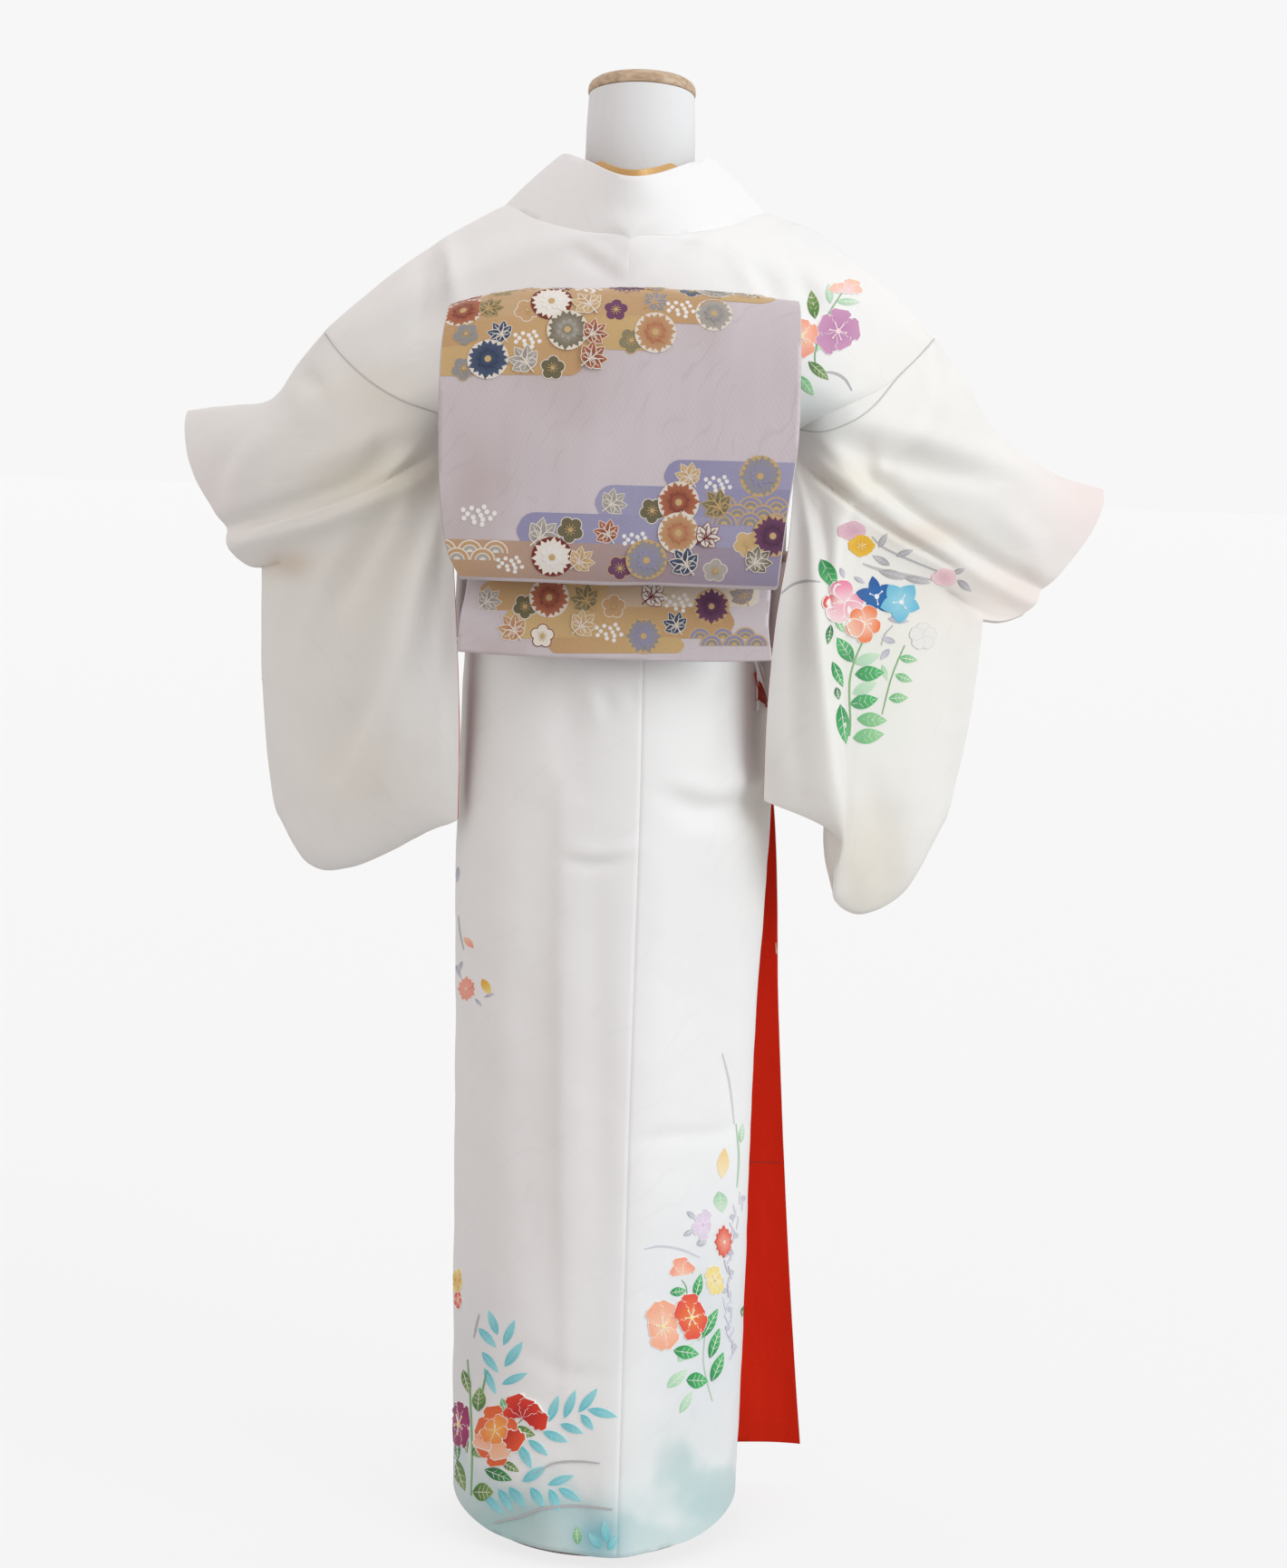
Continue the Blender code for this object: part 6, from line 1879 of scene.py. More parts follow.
def sleeve_spray():
    """Large spray on the wearer's right sleeve."""
    shapes = [
        stroke([(1040, 632), (1005, 618), (975, 604), (962, 592)], 2.2, GREY_LINE, 0.6),
        stroke([(1030, 640), (1000, 634), (970, 628), (952, 622)], 3.0, (0.56, 0.54, 0.54), 0.7),
        stroke([(954, 703), (943, 728), (937, 754), (938, 796), (937, 812)], 1.9, STEM_GREEN, 0.5),
        stroke([(998, 712), (990, 730), (982, 752), (973, 788)], 1.4, STEM_GREEN, 0.5),
        stroke([(985, 690), (976, 700), (972, 712)], 1.2, GREY_LINE, 0.5),
        stroke([(862, 655), (875, 645), (890, 641), (905, 642)], 2.8, GREY_LINE, 0.9),
    ]
    shapes += leaves_of((
        (957, 727, 30, 13, -20, "pale"), (954, 759, 30, 13, -25, "pale"), (976, 742, 18, 6, 70, "pale"),
    ), None)
    shapes += leaves_of((
        (986, 634, 34, 10, 14, "grey"), (1012, 640, 30, 8, 12, "grey"), (972, 618, 22, 8, -150, "grey"),
        (974, 596, 18, 7, -60, "grey"), (998, 610, 20, 7, -20, "grey"), (1064, 646, 20, 8, 40, "grey"),
        (1058, 630, 14, 6, -20, "grey"), (991, 684, 24, 8, 8, "lilac"), (972, 668, 16, 6, 60, "lilac"),
        (980, 706, 16, 7, 200, "lilac"), (929, 632, 12, 5, 70, "lilac"), (948, 640, 14, 5, 30, "lilac"),
        (976, 722, 16, 7, 130, "lilac"),
    ), (0.72, 0.70, 0.71))
    shapes += leaves_of((
        (914, 633, 36, 18, 62, "leaf"), (932, 717, 32, 16, -122, "leaf"), (959, 743, 32, 17, -4, "leaf"),
        (924, 744, 30, 10, 68, "leaf"), (953, 774, 32, 16, -12, "leaf"), (924, 765, 14, 7, 80, "deep"),
        (930, 799, 44, 14, 82, "leaf"), (962, 794, 33, 16, 4, "fresh"), (958, 812, 35, 17, -8, "fresh"),
        (1002, 727, 20, 9, 8, "fresh"), (997, 748, 20, 9, 22, "fresh"), (991, 770, 21, 11, -2, "fresh"),
        (915, 700, 22, 8, 100, "deep"), (926, 690, 18, 7, 60, "fresh"),
    ))
    shapes += flower(940, 586, 15, 9, "round", (0.70, 0.40, 0.50), (0.80, 0.52, 0.58), 0, (1.15, 0.78), 0.75,
                     **BARE, edge=None)
    shapes += flower(950, 602, 15.5, 11, "round", AMBER, (0.85, 0.50, 0.03), 0, (1.0, 0.82), 0.62, stamens=6,
                     heart=(0.90, 0.60, 0.08), edge=None)
    shapes += flower(1042, 637, 15, 8, "round", (0.88, 0.56, 0.60), PALE_PINK, 0, (1.0, 0.72), 0.8, **BARE,
                     edge=None)
    shapes += petal("round", 930, 668, 30, 24, -96, PALE_PINK, ROSE)
    shapes += petal("round", 929, 670, 24, 18, -158, PALE_PINK, SCARLET)
    shapes += petal("round", 932, 669, 22, 18, -26, PALE_PINK, (0.90, 0.30, 0.42))
    shapes += petal("round", 929, 665, 24, 24, 118, (0.92, 0.42, 0.50), PALE_PINK)
    shapes += petal("round", 932, 664, 24, 22, 48, (0.92, 0.42, 0.50), PALE_PINK)
    shapes += flower(966, 658, 23, 5, "pointed", (0.01, 0.14, 0.42), BLUE, -100, (0.95, 1.05), 0.95,
                     stamens=3, **BELL)
    shapes += flower(993, 664, 24, 5, "pointed", (0.32, 0.66, 0.78), SKY, -124, (1.0, 0.95), 1.25, stamens=3,
                     **BELL)
    shapes += flower(951, 688, 22, 5, "round", PEACH, ORANGE, -60, (1.0, 1.0), 0.78, stamens=3, heart=None)
    shapes += petal("round", 951, 688, 20, 20, 156, CORAL, PEACH)
    ghost = (0.855, 0.83, 0.78)
    for k in range(5):
        angle = -90 + 72 * k
        shapes += petal("round", 1018, 702, 16, 14, angle, ghost, ghost, edge=(0.70, 0.69, 0.69), rim=0.55)
    return shapes


def left_hem_spray():
    """Large spray low on the left back panel, with cyan leaves behind it."""
    shapes = leaves_of((
        (544, 1459, 29, 9, -110, "cyan"), (562, 1470, 31, 9, -66, "cyan"), (538, 1476, 29, 9, 48, "cyan"),
        (567, 1494, 34, 11, -54, "cyan"), (541, 1503, 29, 9, 52, "cyan"), (541, 1524, 31, 8, 66, "cyan"),
        (568, 1521, 31, 9, -24, "cyan"), (611, 1554, 31, 10, -70, "cyan"), (629, 1549, 34, 10, -68, "cyan"),
        (649, 1545, 34, 10, -52, "cyan"), (665, 1559, 34, 10, 14, "cyan"), (648, 1569, 22, 9, 52, "cyan"),
        (631, 1576, 27, 9, 22, "cyan"), (613, 1585, 29, 10, 22, "cyan"), (594, 1597, 27, 9, 38, "cyan"),
        (580, 1607, 29, 10, 62, "cyan"), (590, 1626, 31, 11, -32, "cyan"), (619, 1633, 31, 9, -20, "cyan"),
        (545, 1660, 31, 9, 44, "cyan"), (558, 1655, 29, 10, 58, "cyan"), (571, 1652, 29, 11, 52, "cyan"),
        (593, 1652, 27, 11, 56, "cyan"), (612, 1655, 27, 10, 66, "cyan"), (629, 1649, 29, 9, 30, "cyan"),
        (668, 1690, 25, 9, -100, "cyan"), (656, 1700, 20, 8, -130, "cyan"), (676, 1702, 18, 8, -60, "cyan"),
    ), (0.42, 0.74, 0.80))
    shapes += [
        stroke([(520, 1650), (521, 1600), (519, 1540), (516, 1500)], 1.8, STEM_GREEN, 0.4),
        stroke([(530, 1552), (534, 1528), (538, 1512)], 1.3, STEM_GREEN, 0.4),
        stroke([(570, 1572), (580, 1562), (588, 1552)], 1.2, (0.30, 0.30, 0.14), 0.4),
        stroke([(545, 1680), (575, 1673), (600, 1664), (636, 1661), (684, 1666)], 2.8, GREY_LINE, 0.7),
        stroke([(590, 1626), (612, 1614), (640, 1612), (662, 1614)], 2.0, GREY_LINE, 0.9),
        stroke([(523, 1476), (526, 1462), (529, 1450)], 1.8, GREY_LINE, 0.8),
    ]
    shapes += leaves_of((
        (515, 1525, 28, 9, 74, "olive"), (529, 1544, 26, 14, -86, "olive"), (558, 1555, 26, 10, 70, "fresh"),
        (577, 1580, 28, 13, 14, "olive"), (563, 1618, 22, 9, 30, "olive"), (550, 1627, 32, 13, 22, "deep"),
        (533, 1646, 22, 20, 0, "olive"), (527, 1602, 14, 12, 60, "olive"), (507, 1626, 40, 12, 72, "olive"),
        (514, 1590, 26, 6, 84, "olive"), (505, 1600, 20, 6, 88, "deep"), (637, 1694, 20, 9, -94, "fresh"),
    ))
    shapes += flower(507, 1571, 30, 6, "ruffled", MAGENTA, (0.30, 0.01, 0.10), -80, (0.42, 1.05), 0.9,
                     stamens=5)
    shapes += flower(505, 1414, 12, 5, "round", AMBER, YELLOW, -60, (0.5, 1.3), 0.9, **BARE)
    shapes += flower(506, 1434, 9, 5, "round", CORAL, SCARLET, -60, (0.5, 1.1), 0.9, **BARE)
    shapes += flower(547, 1583, 32, 6, "ruffled", ORANGE, (0.80, 0.12, 0.03), -96, (0.82, 1.05), 0.9, **BARE)
    shapes += petal("ruffled", 541, 1572, 30, 26, 108, ORANGE, PEACH)
    shapes += petal("ruffled", 549, 1584, 28, 26, 78, (0.93, 0.45, 0.20), PEACH)
    shapes += petal("ruffled", 552, 1578, 32, 28, 32, DEEP_RED, (0.86, 0.10, 0.03))
    shapes += flower(548, 1578, 17, 5, "ruffled", (0.95, 0.42, 0.10), (0.90, 0.26, 0.05), -60, (0.9, 1.0),
                     1.0, stamens=5, heart=(0.94, 0.66, 0.20))
    shapes += flower(577, 1564, 27, 5, "ruffled", DEEP_RED, SCARLET, -150, (1.0, 0.95), 0.8, **BARE, arc=200)
    return shapes


def right_hem_spray():
    """Spray low on the right back panel."""
    shapes = [
        stroke([(711, 1378), (728, 1375), (750, 1378), (772, 1387)], 2.6, (0.66, 0.64, 0.70), 0.9),
        stroke([(797, 1162), (805, 1196), (810, 1240)], 2.2, (0.70, 0.69, 0.72), 0.9),
        stroke([(786, 1546), (780, 1524), (776, 1500), (778, 1470)], 1.2, (0.56, 0.66, 0.54), 0.4),
        stroke([(752, 1412), (757, 1420), (758, 1432)], 1.0, STEM_GREEN, 0.4),
        stroke([(812, 1240), (815, 1275), (813, 1310)], 2.0, (0.50, 0.66, 0.50), 0.8),
    ]
    for k in range(26):
        t = k / 25
        x, y = 816 - 14 * math.sin(t * 2.6), 1322 + 170 * t
        shapes.append(stroke([(x + 5 * math.sin(k * 2.1), y - 7), (x + 4 * math.sin(k * 1.7), y + 7)], 1.7,
                             (0.70, 0.69, 0.76), 0.8, split=2))
        if k % 3 == 0:
            shapes.append(disc(x + 4 * math.cos(k), y, 3.2, (0.60, 0.59, 0.66), (0.8, 1.0), 10))
    shapes += leaves_of((
        (756, 1492, 26, 12, -52, "pale"), (747, 1521, 30, 12, -42, "pale"), (757, 1547, 28, 9, -60, "pale"),
        (795, 1326, 24, 15, 80, "pale"), (763, 1341, 14, 6, 40, "lilac"), (760, 1360, 14, 6, -30, "lilac"),
        (774, 1371, 12, 8, -20, "lilac"), (776, 1470, 22, 6, -60, "pale"),
    ), (0.80, 0.88, 0.80))
    shapes += leaves_of((
        (748, 1425, 18, 10, -10, "leaf"), (770, 1419, 28, 10, -76, "leaf"), (783, 1460, 36, 11, -62, "leaf"),
        (788, 1482, 34, 10, -72, "leaf"), (757, 1492, 28, 15, 8, "leaf"), (791, 1508, 34, 11, -68, "leaf"),
        (769, 1523, 24, 18, 2, "leaf"), (818, 1250, 22, 6, -84, "pale"), (820, 1448, 14, 6, 90, "deep"),
    ))
    shapes += petal("leaf", 796, 1300, 34, 26, -84, (0.96, 0.80, 0.52), (0.93, 0.68, 0.30), edge=None)
    shapes += flower(775, 1351, 15, 5, "ruffled", (0.84, 0.70, 0.84), PALE_LILAC, -60, (0.8, 1.15), 0.9,
                     stamens=0, heart=(0.80, 0.55, 0.74))
    shapes += flower(798, 1370, 15, 12, "narrow", (0.92, 0.40, 0.30), (0.80, 0.10, 0.06), 0, (0.62, 1.15),
                     1.5, stamens=0, heart=(0.94, 0.80, 0.60), edge=None)
    shapes += flower(753, 1407, 18, 3, "ruffled", PEACH, CORAL, -150, (1.0, 1.05), 0.95, **BARE, arc=150)
    shapes += flower(788, 1413, 15, 6, "ruffled", (0.94, 0.80, 0.45), YELLOW, -80, (0.7, 1.1), 0.9, stamens=4,
                     heart=(0.85, 0.60, 0.2))
    shapes += flower(731, 1463, 26, 6, "ruffled", PEACH, (0.94, 0.42, 0.26), -70, (0.78, 1.05), 1.0,
                     stamens=5)
    shapes += flower(762, 1453, 24, 6, "ruffled", ORANGE, (0.80, 0.08, 0.05), -95, (0.80, 1.02), 1.0,
                     stamens=6)
    return shapes


def left_side_spray():
    """A few scattered flowers at the left edge of the skirt."""
    shapes = flower(515, 1091, 13, 12, "narrow", (0.90, 0.40, 0.32), CORAL, 0, (0.72, 1.0), 1.5, stamens=0,
                    heart=(0.94, 0.78, 0.50), edge=None)
    shapes += petal("leaf", 532, 1080, 20, 18, 62, AMBER, YELLOW, edge=None)
    shapes += petal("leaf", 512, 1034, 16, 14, 48, PEACH, CORAL, edge=None)
    shapes += leaves_of((
        (506, 1072, 16, 4, 70, "lilac"), (508, 1066, 12, 4, 110, "lilac"), (528, 1106, 12, 3, 50, "lilac"),
        (540, 1098, 12, 3, -20, "lilac"), (505, 965, 18, 4, 95, "lilac"),
    ), None)
    shapes.append(stroke([(506, 1010), (508, 1030), (512, 1048)], 1.4, GREY_LINE, 0.8))
    return shapes


def bouquet(x, y, scale, turn=0.0):
    """A spray of the same flowers about a place, for the sides that the photograph doesn't show."""
    shapes = [
        stroke([(4, 95), (0, 50), (-4, 10), (0, -30)], 2.0, STEM_GREEN, 0.4),
        stroke([(0, 50), (26, 20), (40, -12)], 1.6, STEM_GREEN, 0.4),
        stroke([(0, 40), (-30, 14), (-46, -20)], 1.6, STEM_GREEN, 0.4),
        stroke([(-80, 70), (-40, 52), (10, 56), (70, 84)], 2.6, GREY_LINE, 0.8),
    ]
    shapes += sprig([(30, 60), (70, 30), (104, -8)], 7, "cyan", 26, 12, (0.30, 0.60, 0.66))
    shapes += sprig([(-24, 66), (-66, 44), (-98, 8)], 6, "cyan", 26, 12, (0.30, 0.60, 0.66), flip=-1)
    shapes += leaves_of((
        (-20, 34, 34, 14, 200, "leaf"), (18, 44, 36, 15, -20, "leaf"), (-14, 66, 32, 13, 160, "olive"),
        (22, 74, 30, 12, 14, "fresh"), (-30, 4, 30, 11, -120, "leaf"), (30, -4, 30, 11, -50, "fresh"),
        (48, 18, 28, 11, 20, "leaf"), (-52, 20, 26, 10, 200, "fresh"), (4, -44, 26, 9, -84, "pale"),
    ))
    shapes += peony(-2, 6, 34, ORANGE, (0.80, 0.10, 0.04), PEACH, CORAL, 12)
    shapes += peony(-44, -24, 24, PALE_PINK, ROSE, PEACH, PALE_PINK, 40)
    shapes += flower(38, -20, 24, 5, "pointed", (0.01, 0.14, 0.42), BLUE, -96, (1, 1), 1.3, stamens=4, **BELL)
    shapes += flower(64, -2, 20, 5, "pointed", (0.32, 0.66, 0.78), SKY, -70, (1, 1), 1.4, stamens=4, **BELL)
    shapes += flower(0, -44, 18, 5, "ruffled", (0.94, 0.80, 0.45), YELLOW, -90, (1, 0.9), 1.0, stamens=4)
    shapes += flower(-66, 8, 16, 5, "round", PEACH, CORAL, -60, (1, 1), 1.0, stamens=4)
    a = math.radians(turn)
    spin = np.array(((math.cos(a), -math.sin(a)), (math.sin(a), math.cos(a)))) * scale
    return [s._replace(points=s.points @ spin.T + np.array((x, y))) for s in shapes]


# Woven colours of the sash, a common design of mist bands, chrysanthemums, maple leaves and plum blossoms

NAVY, PLUM, OLIVE = (0.020, 0.035, 0.085), (0.075, 0.020, 0.060), (0.150, 0.125, 0.065)
MAROON, ASH, TAN = (0.210, 0.035, 0.022), (0.300, 0.280, 0.275), (0.560, 0.335, 0.165)
GILT, CREAM, LILAC = (0.640, 0.440, 0.200), (0.840, 0.760, 0.660), (0.300, 0.280, 0.440)
RUST, STONE, PEARL = (0.460, 0.150, 0.070), (0.440, 0.400, 0.350), (0.86, 0.83, 0.80)
NIGHT = (0.06, 0.09, 0.16)


def mist(x0, x1, y, height, colour, gilt, second):
    """A level bar of mist with round ends."""
    xs = np.arange(x0, x1 + 0.1, 4.0)
    line = np.stack([xs, np.full_like(xs, y)], -1)
    half = height / 2
    end = np.minimum(xs - x0, x1 - xs)
    width = half * np.sqrt(np.clip(1 - (1 - np.clip(end / half, 0, 1)) ** 2, 0.02, 1))
    across = np.linspace(-1, 1, 9)
    grid = line[:, None] + np.array((0, 1.0)) * (width[:, None] * across[None])[..., None]
    flat = grid.reshape(-1, 2)
    share = np.clip((flat[:, :1] - x0) / (x1 - x0), 0, 1)
    colours = np.asarray(colour) * (1 - share) + np.asarray(second) * share
    return Shape(flat, colours, np.full(len(flat), gilt), grid_faces(len(xs), 9), 1.0)


def beads(x, y, count, spread, colour, size=1.9):
    """A cluster of small pale dots."""
    shapes = []
    for k in range(count):
        a = k * 2.399963
        r = spread * math.sqrt((k + 0.5) / count)
        shapes.append(disc(x + r * math.cos(a), y + r * 0.6 * math.sin(a), size, colour, steps=9))
    return shapes


def waves(x0, x1, y0, rows, size, first, second, line):
    """Rows of overlapping scale waves."""
    shapes = []
    rings = ((1.0, line, 0.6), (0.88, first, 0.1), (0.62, line, 0.6), (0.52, second, 0.1), (0.26, line, 0.6))
    turn = np.linspace(math.pi, TAU, 13)
    for row in range(rows):
        shift = size if row % 2 else 0.0
        xs = np.arange(x0 + shift, x1, size * 2)
        for x in xs:
            y = y0 + row * size * 0.62
            for radius, colour, gilt in rings:
                arc = np.stack([x + size * radius * np.cos(turn), y + size * radius * np.sin(turn)], -1)
                shapes.append(filled(arc, (x, y), (x, y), (x, y - size), colour, colour, gilt, (0.6, 1.0)))
    return shapes


MOTIF_COLOURS = (
    (MAROON, RUST, CREAM), (NAVY, NIGHT, CREAM), (TAN, GILT, CREAM), (OLIVE, (0.26, 0.22, 0.12), GILT),
    (ASH, STONE, CREAM), (PLUM, (0.16, 0.05, 0.12), GILT), (RUST, TAN, CREAM), (STONE, OLIVE, CREAM),
    (LILAC, ASH, GILT), (PEARL, CREAM, MAROON),
)
MOTIF_KINDS = ("chrysanthemum", "maple", "plum", "maple", "beads", "chrysanthemum", "maple", "plum")
MOTIF_SIZE = {"chrysanthemum": 15.5, "maple": 17.0, "plum": 12.5, "beads": 12.0}


def motif_row(y, start, end, step, first):
    """A row of woven flowers and leaves, of changing kind, colour, size and turn."""
    shapes = []
    for k, x in enumerate(np.arange(start, end, step)):
        pick = first + k
        kind = MOTIF_KINDS[pick % len(MOTIF_KINDS)]
        base, tip, edge = MOTIF_COLOURS[(pick * 3 + first) % len(MOTIF_COLOURS)]
        size = MOTIF_SIZE[kind] * (1 + 0.12 * math.sin(pick * 1.7))
        px, py = x + 3.5 * math.sin(pick * 2.9), y + 4.5 * math.sin(pick * 2.1)
        if kind == "chrysanthemum":
            shapes += chrysanthemum(px, py, size, base, tip, edge, GILT, 14 + pick % 3 * 2, pick * 7)
        elif kind == "maple":
            shapes += maple(px, py, size, base, tip, edge, -90 + 50 * math.sin(pick * 1.3))
        elif kind == "plum":
            shapes += plum(px, py, size, tip, edge, GILT, pick * 13)
        else:
            shapes += beads(px, py, 13, size, PEARL)
    return shapes


def drum_picture():
    """Mist with flowers over the drum's upper left, and lilac mist with flowers low on it."""
    shapes = [
        mist(-170, 128, 8, 34, TAN, 0.35, GILT), mist(-170, 84, 34, 32, (0.60, 0.42, 0.24), 0.35, TAN),
        mist(-170, 30, 60, 30, TAN, 0.35, GILT), mist(-170, -34, 84, 28, GILT, 0.35, TAN),
        mist(36, 170, 180, 28, LILAC, 0.10, (0.40, 0.37, 0.52)),
        mist(-22, 170, 204, 30, (0.36, 0.34, 0.49), 0.10, LILAC),
        mist(-88, 170, 230, 32, LILAC, 0.10, (0.40, 0.37, 0.50)), mist(-170, 170, 256, 34, TAN, 0.15, LILAC),
    ]
    shapes += waves(88, 150, 206, 3, 11, LILAC, ASH, GILT)
    shapes += waves(-150, -96, 250, 2, 11, TAN, STONE, CREAM)
    for y, start, end, first in ((8, -138, 124, 0), (36, -142, 84, 5), (63, -134, 30, 2), (88, -140, -30, 7)):
        shapes += motif_row(y, start, end, 27, first)
    for y, start, end, first in ((182, 56, 140, 3), (206, -6, 84, 6), (232, -70, 140, 1), (256, -90, 140, 4)):
        shapes += motif_row(y, start, end, 29, first)
    shapes += beads(-122, 218, 14, 15, PEARL, 2.2)
    return shapes


TAIL_PIXEL = 0.80
TAIL_FOOT = (680, 722)


def tail_picture():
    """The same design where it goes on over the tail."""
    shapes = [
        mist(-122, 40, -52, 26, TAN, 0.30, GILT), mist(-100, 104, -28, 28, GILT, 0.30, TAN),
        mist(-10, 128, -54, 24, (0.60, 0.42, 0.26), 0.30, CREAM), mist(-60, 60, -8, 14, TAN, 0.30, GILT),
    ]
    shapes += waves(74, 132, -14, 2, 10, LILAC, ASH, GILT)
    shapes += motif_row(-46, -112, 124, 28, 6)
    shapes += motif_row(-20, -92, 76, 29, 9)
    return shapes


def band_picture():
    """The same flowers in a row across the front of the sash."""
    shapes = []
    places = [(k, 560 + 50 * k, 632 + (14 if k % 2 else -14)) for k in range(7)]
    for k, x, y in places:
        shapes.append(mist(x - 40, x + 40, y + 6, 26, TAN, 0.3, GILT))
    for k, x, y in places:
        if k % 3 == 0:
            shapes += chrysanthemum(x, y, 20, MAROON, RUST, CREAM, GILT)
        elif k % 3 == 1:
            shapes += maple(x, y, 21, NAVY, NIGHT, CREAM, -80)
        else:
            shapes += plum(x, y, 17, ASH, CREAM, GILT)
        shapes += beads(x + 24, y + 20, 8, 9, PEARL)
    return shapes


# Making the pieces

halves = {side: body_half(side) for side in (-1, 1)}
half_seam = SEAM / 2 / BACK_RADIUS

skirt_back_left = girth_panel(
    "skirt_back_left_cloth", -SIDE_SEAM_ANGLE, BACK_SEAM_ANGLE - half_seam, 72, 180,
)
skirt_back_right = girth_panel(
    "skirt_back_right_cloth", BACK_SEAM_ANGLE + half_seam, SIDE_SEAM_ANGLE, 64, 180,
)
skirt_inner = girth_panel(
    "skirt_inner_front_cloth", SIDE_SEAM_ANGLE + SEAM / PANEL_RADIUS, INNER_FRONT_END, 48, 110,
    offset=inner_front_offset, lift=0.006,
)
skirt_outer = outer_front("skirt_outer_front_cloth")
bodies = body_pieces(halves)
sleeve_left = sleeve("sleeve_left_cloth", -1, halves, LEFT_SECTIONS, LEFT_FURI_BACK, LEFT_FURI_FRONT)
sleeve_right = sleeve("sleeve_right_cloth", 1, halves, RIGHT_SECTIONS, RIGHT_FURI_BACK, RIGHT_FURI_FRONT)

collar_outer, collar_normals = collar_lines(halves)
lining = collar_outer - collar_normals * COLLAR_CLOTH
collar = cloth("collar_cloth", collar_outer, lining, (SILK, SILK))

trim = row_index("front under obi") - row_index("chest")
top_line, under_line, top_normal = lining[:, -1], lining[:, -3], collar_normals[:, -1]
up = unit(top_line - under_line)
clear = top_normal * GOLD_GAP
from_nape = run_of(top_line)
from_nape = np.abs(from_nape - from_nape[len(top_line) // 2])
shown = 1 - smooth((from_nape - 0.048) / 0.014) + smooth((from_nape - 0.12) / 0.03)
shares = np.linspace(-GOLD_HIDDEN, 0, 9)
tops = (GOLD_SHOWS * shown - 0.002 * (1 - shown))[:, None]
strip = np.stack([top_line + up * (s + tops * (1 + s / GOLD_HIDDEN)) - clear for s in shares], 1)[trim:-trim]
strip_normals = top_normal[trim:-trim][:, None]
gold_strip = cloth("gold_strip_satin", strip, strip - strip_normals * GOLD_CLOTH, (GOLD, GOLD))


def tuck_bottom(angle):
    """Lower edge of the waist tuck."""
    dip = 0.008 * smooth((math.radians(80) - angle) / math.radians(20))
    return TUCK_BOTTOM - dip + 0.002 * np.sin(angle * 5)


tuck_heights = (
    (WAIST - 0.002, 0.0), (0.835, 0.0), (lambda angle: tuck_bottom(angle) + 0.004, 0.0), (tuck_bottom, 0.001),
)
tuck = girth_band(
    "waist_tuck_cloth", math.radians(62), math.radians(248), 150, tuck_heights,
    LAYER_GAP + 0.0006, OBI_INNER - 0.0008, (SILK, LINING), rows=30,
)

band_heights = (
    (OBI_TOP, 0.001), (OBI_TOP - 0.006, 0.0), (CORD_HEIGHT, 0.0), (OBI_BOTTOM + 0.006, 0.0),
    (OBI_BOTTOM, 0.001),
)
band = girth_band(
    "obi_band_brocade", 0.0, TAU, 240, band_heights, OBI_INNER, OBI_OUTER, (BROCADE, OBI_REVERSE),
    closed=True, rows=32, side_out=0.0020,
)
drum, drum_grid, drum_normals = wrap_piece(
    "obi_drum_brocade", DRUM_PATH, 90, 10, (BROCADE, OBI_REVERSE), True, drum_relief,
)
tail, _, _ = wrap_piece("obi_tail_brocade", TAIL_PATH, 90, 14, (OBI_REVERSE, BROCADE), False)
hand, _, _ = wrap_piece("obi_hand_end_brocade", HAND_PATH, 60, 16, (OBI_REVERSE, BROCADE), False)

fine_cord = loop_refined(cord_path(), 8)
CORD_STEPS = 28


def braid_relief(count, rate):
    """The braid's relief round each of a number of rings."""
    slant = np.abs(np.sin(turns(CORD_STEPS)))[None, :] * 4.0
    return 1 + 0.10 * np.abs(np.sin(np.arange(count)[:, None] * rate + slant)) - 0.05


cord_rings = swept(fine_cord, 0.005, 0.0025, True, CORD_STEPS, braid_relief(len(fine_cord), 0.55))
cord = tube_piece("obi_cord_braid", cord_rings, BRAID, True)
strands = braid_strands("obi_cord_strands", fine_cord)
knot_front = girth_point(math.pi, CORD_HEIGHT, OBI_OUTER + 0.005 + CORD_GAP + LAYER_GAP + 0.0045)
knot_bend = ((-0.013, 0, -0.002), (-0.005, 0, 0.001), (0.005, 0, 0.001), (0.013, 0, -0.002))
knot_path = refine(knot_front + np.array(knot_bend), 10)
knot_rings = swept(knot_path, 0.0085, 0.0045, False, CORD_STEPS, braid_relief(len(knot_path), 0.5))
knot = tube_piece("obi_cord_knot_braid", knot_rings, BRAID, False)

share = np.linspace(0, 1, 161)
scarf_angle = np.radians(108 + 144 * share)
risen = smooth(np.sin(math.pi * share) / 0.3)
full = smooth((np.sin(math.pi * share) - 0.3) / 0.4)
scarf_height = OBI_TOP - 0.006 + 0.0120 * risen + 0.0085 * full
scarf_path = girth_point(scarf_angle, scarf_height, 0.0026 + 0.0125 * full)
scarf_turn = turns(36)
scarf_folds = 1 + 0.07 * np.sin(scarf_turn[None, :] * 5 + np.sin(share * 23)[:, None] * 0.9)
scarf_folds += 0.03 * np.sin(share * 95 + 1)[:, None] * np.sin(scarf_turn[None, :] * 2)
scarf_folds *= (0.20 + 0.80 * full)[:, None]
scarf_rings = swept(scarf_path, 0.0105, 0.0062, False, 36, scarf_folds)
scarf = tube_piece("obi_scarf_crepe", scarf_rings, CREPE, False)

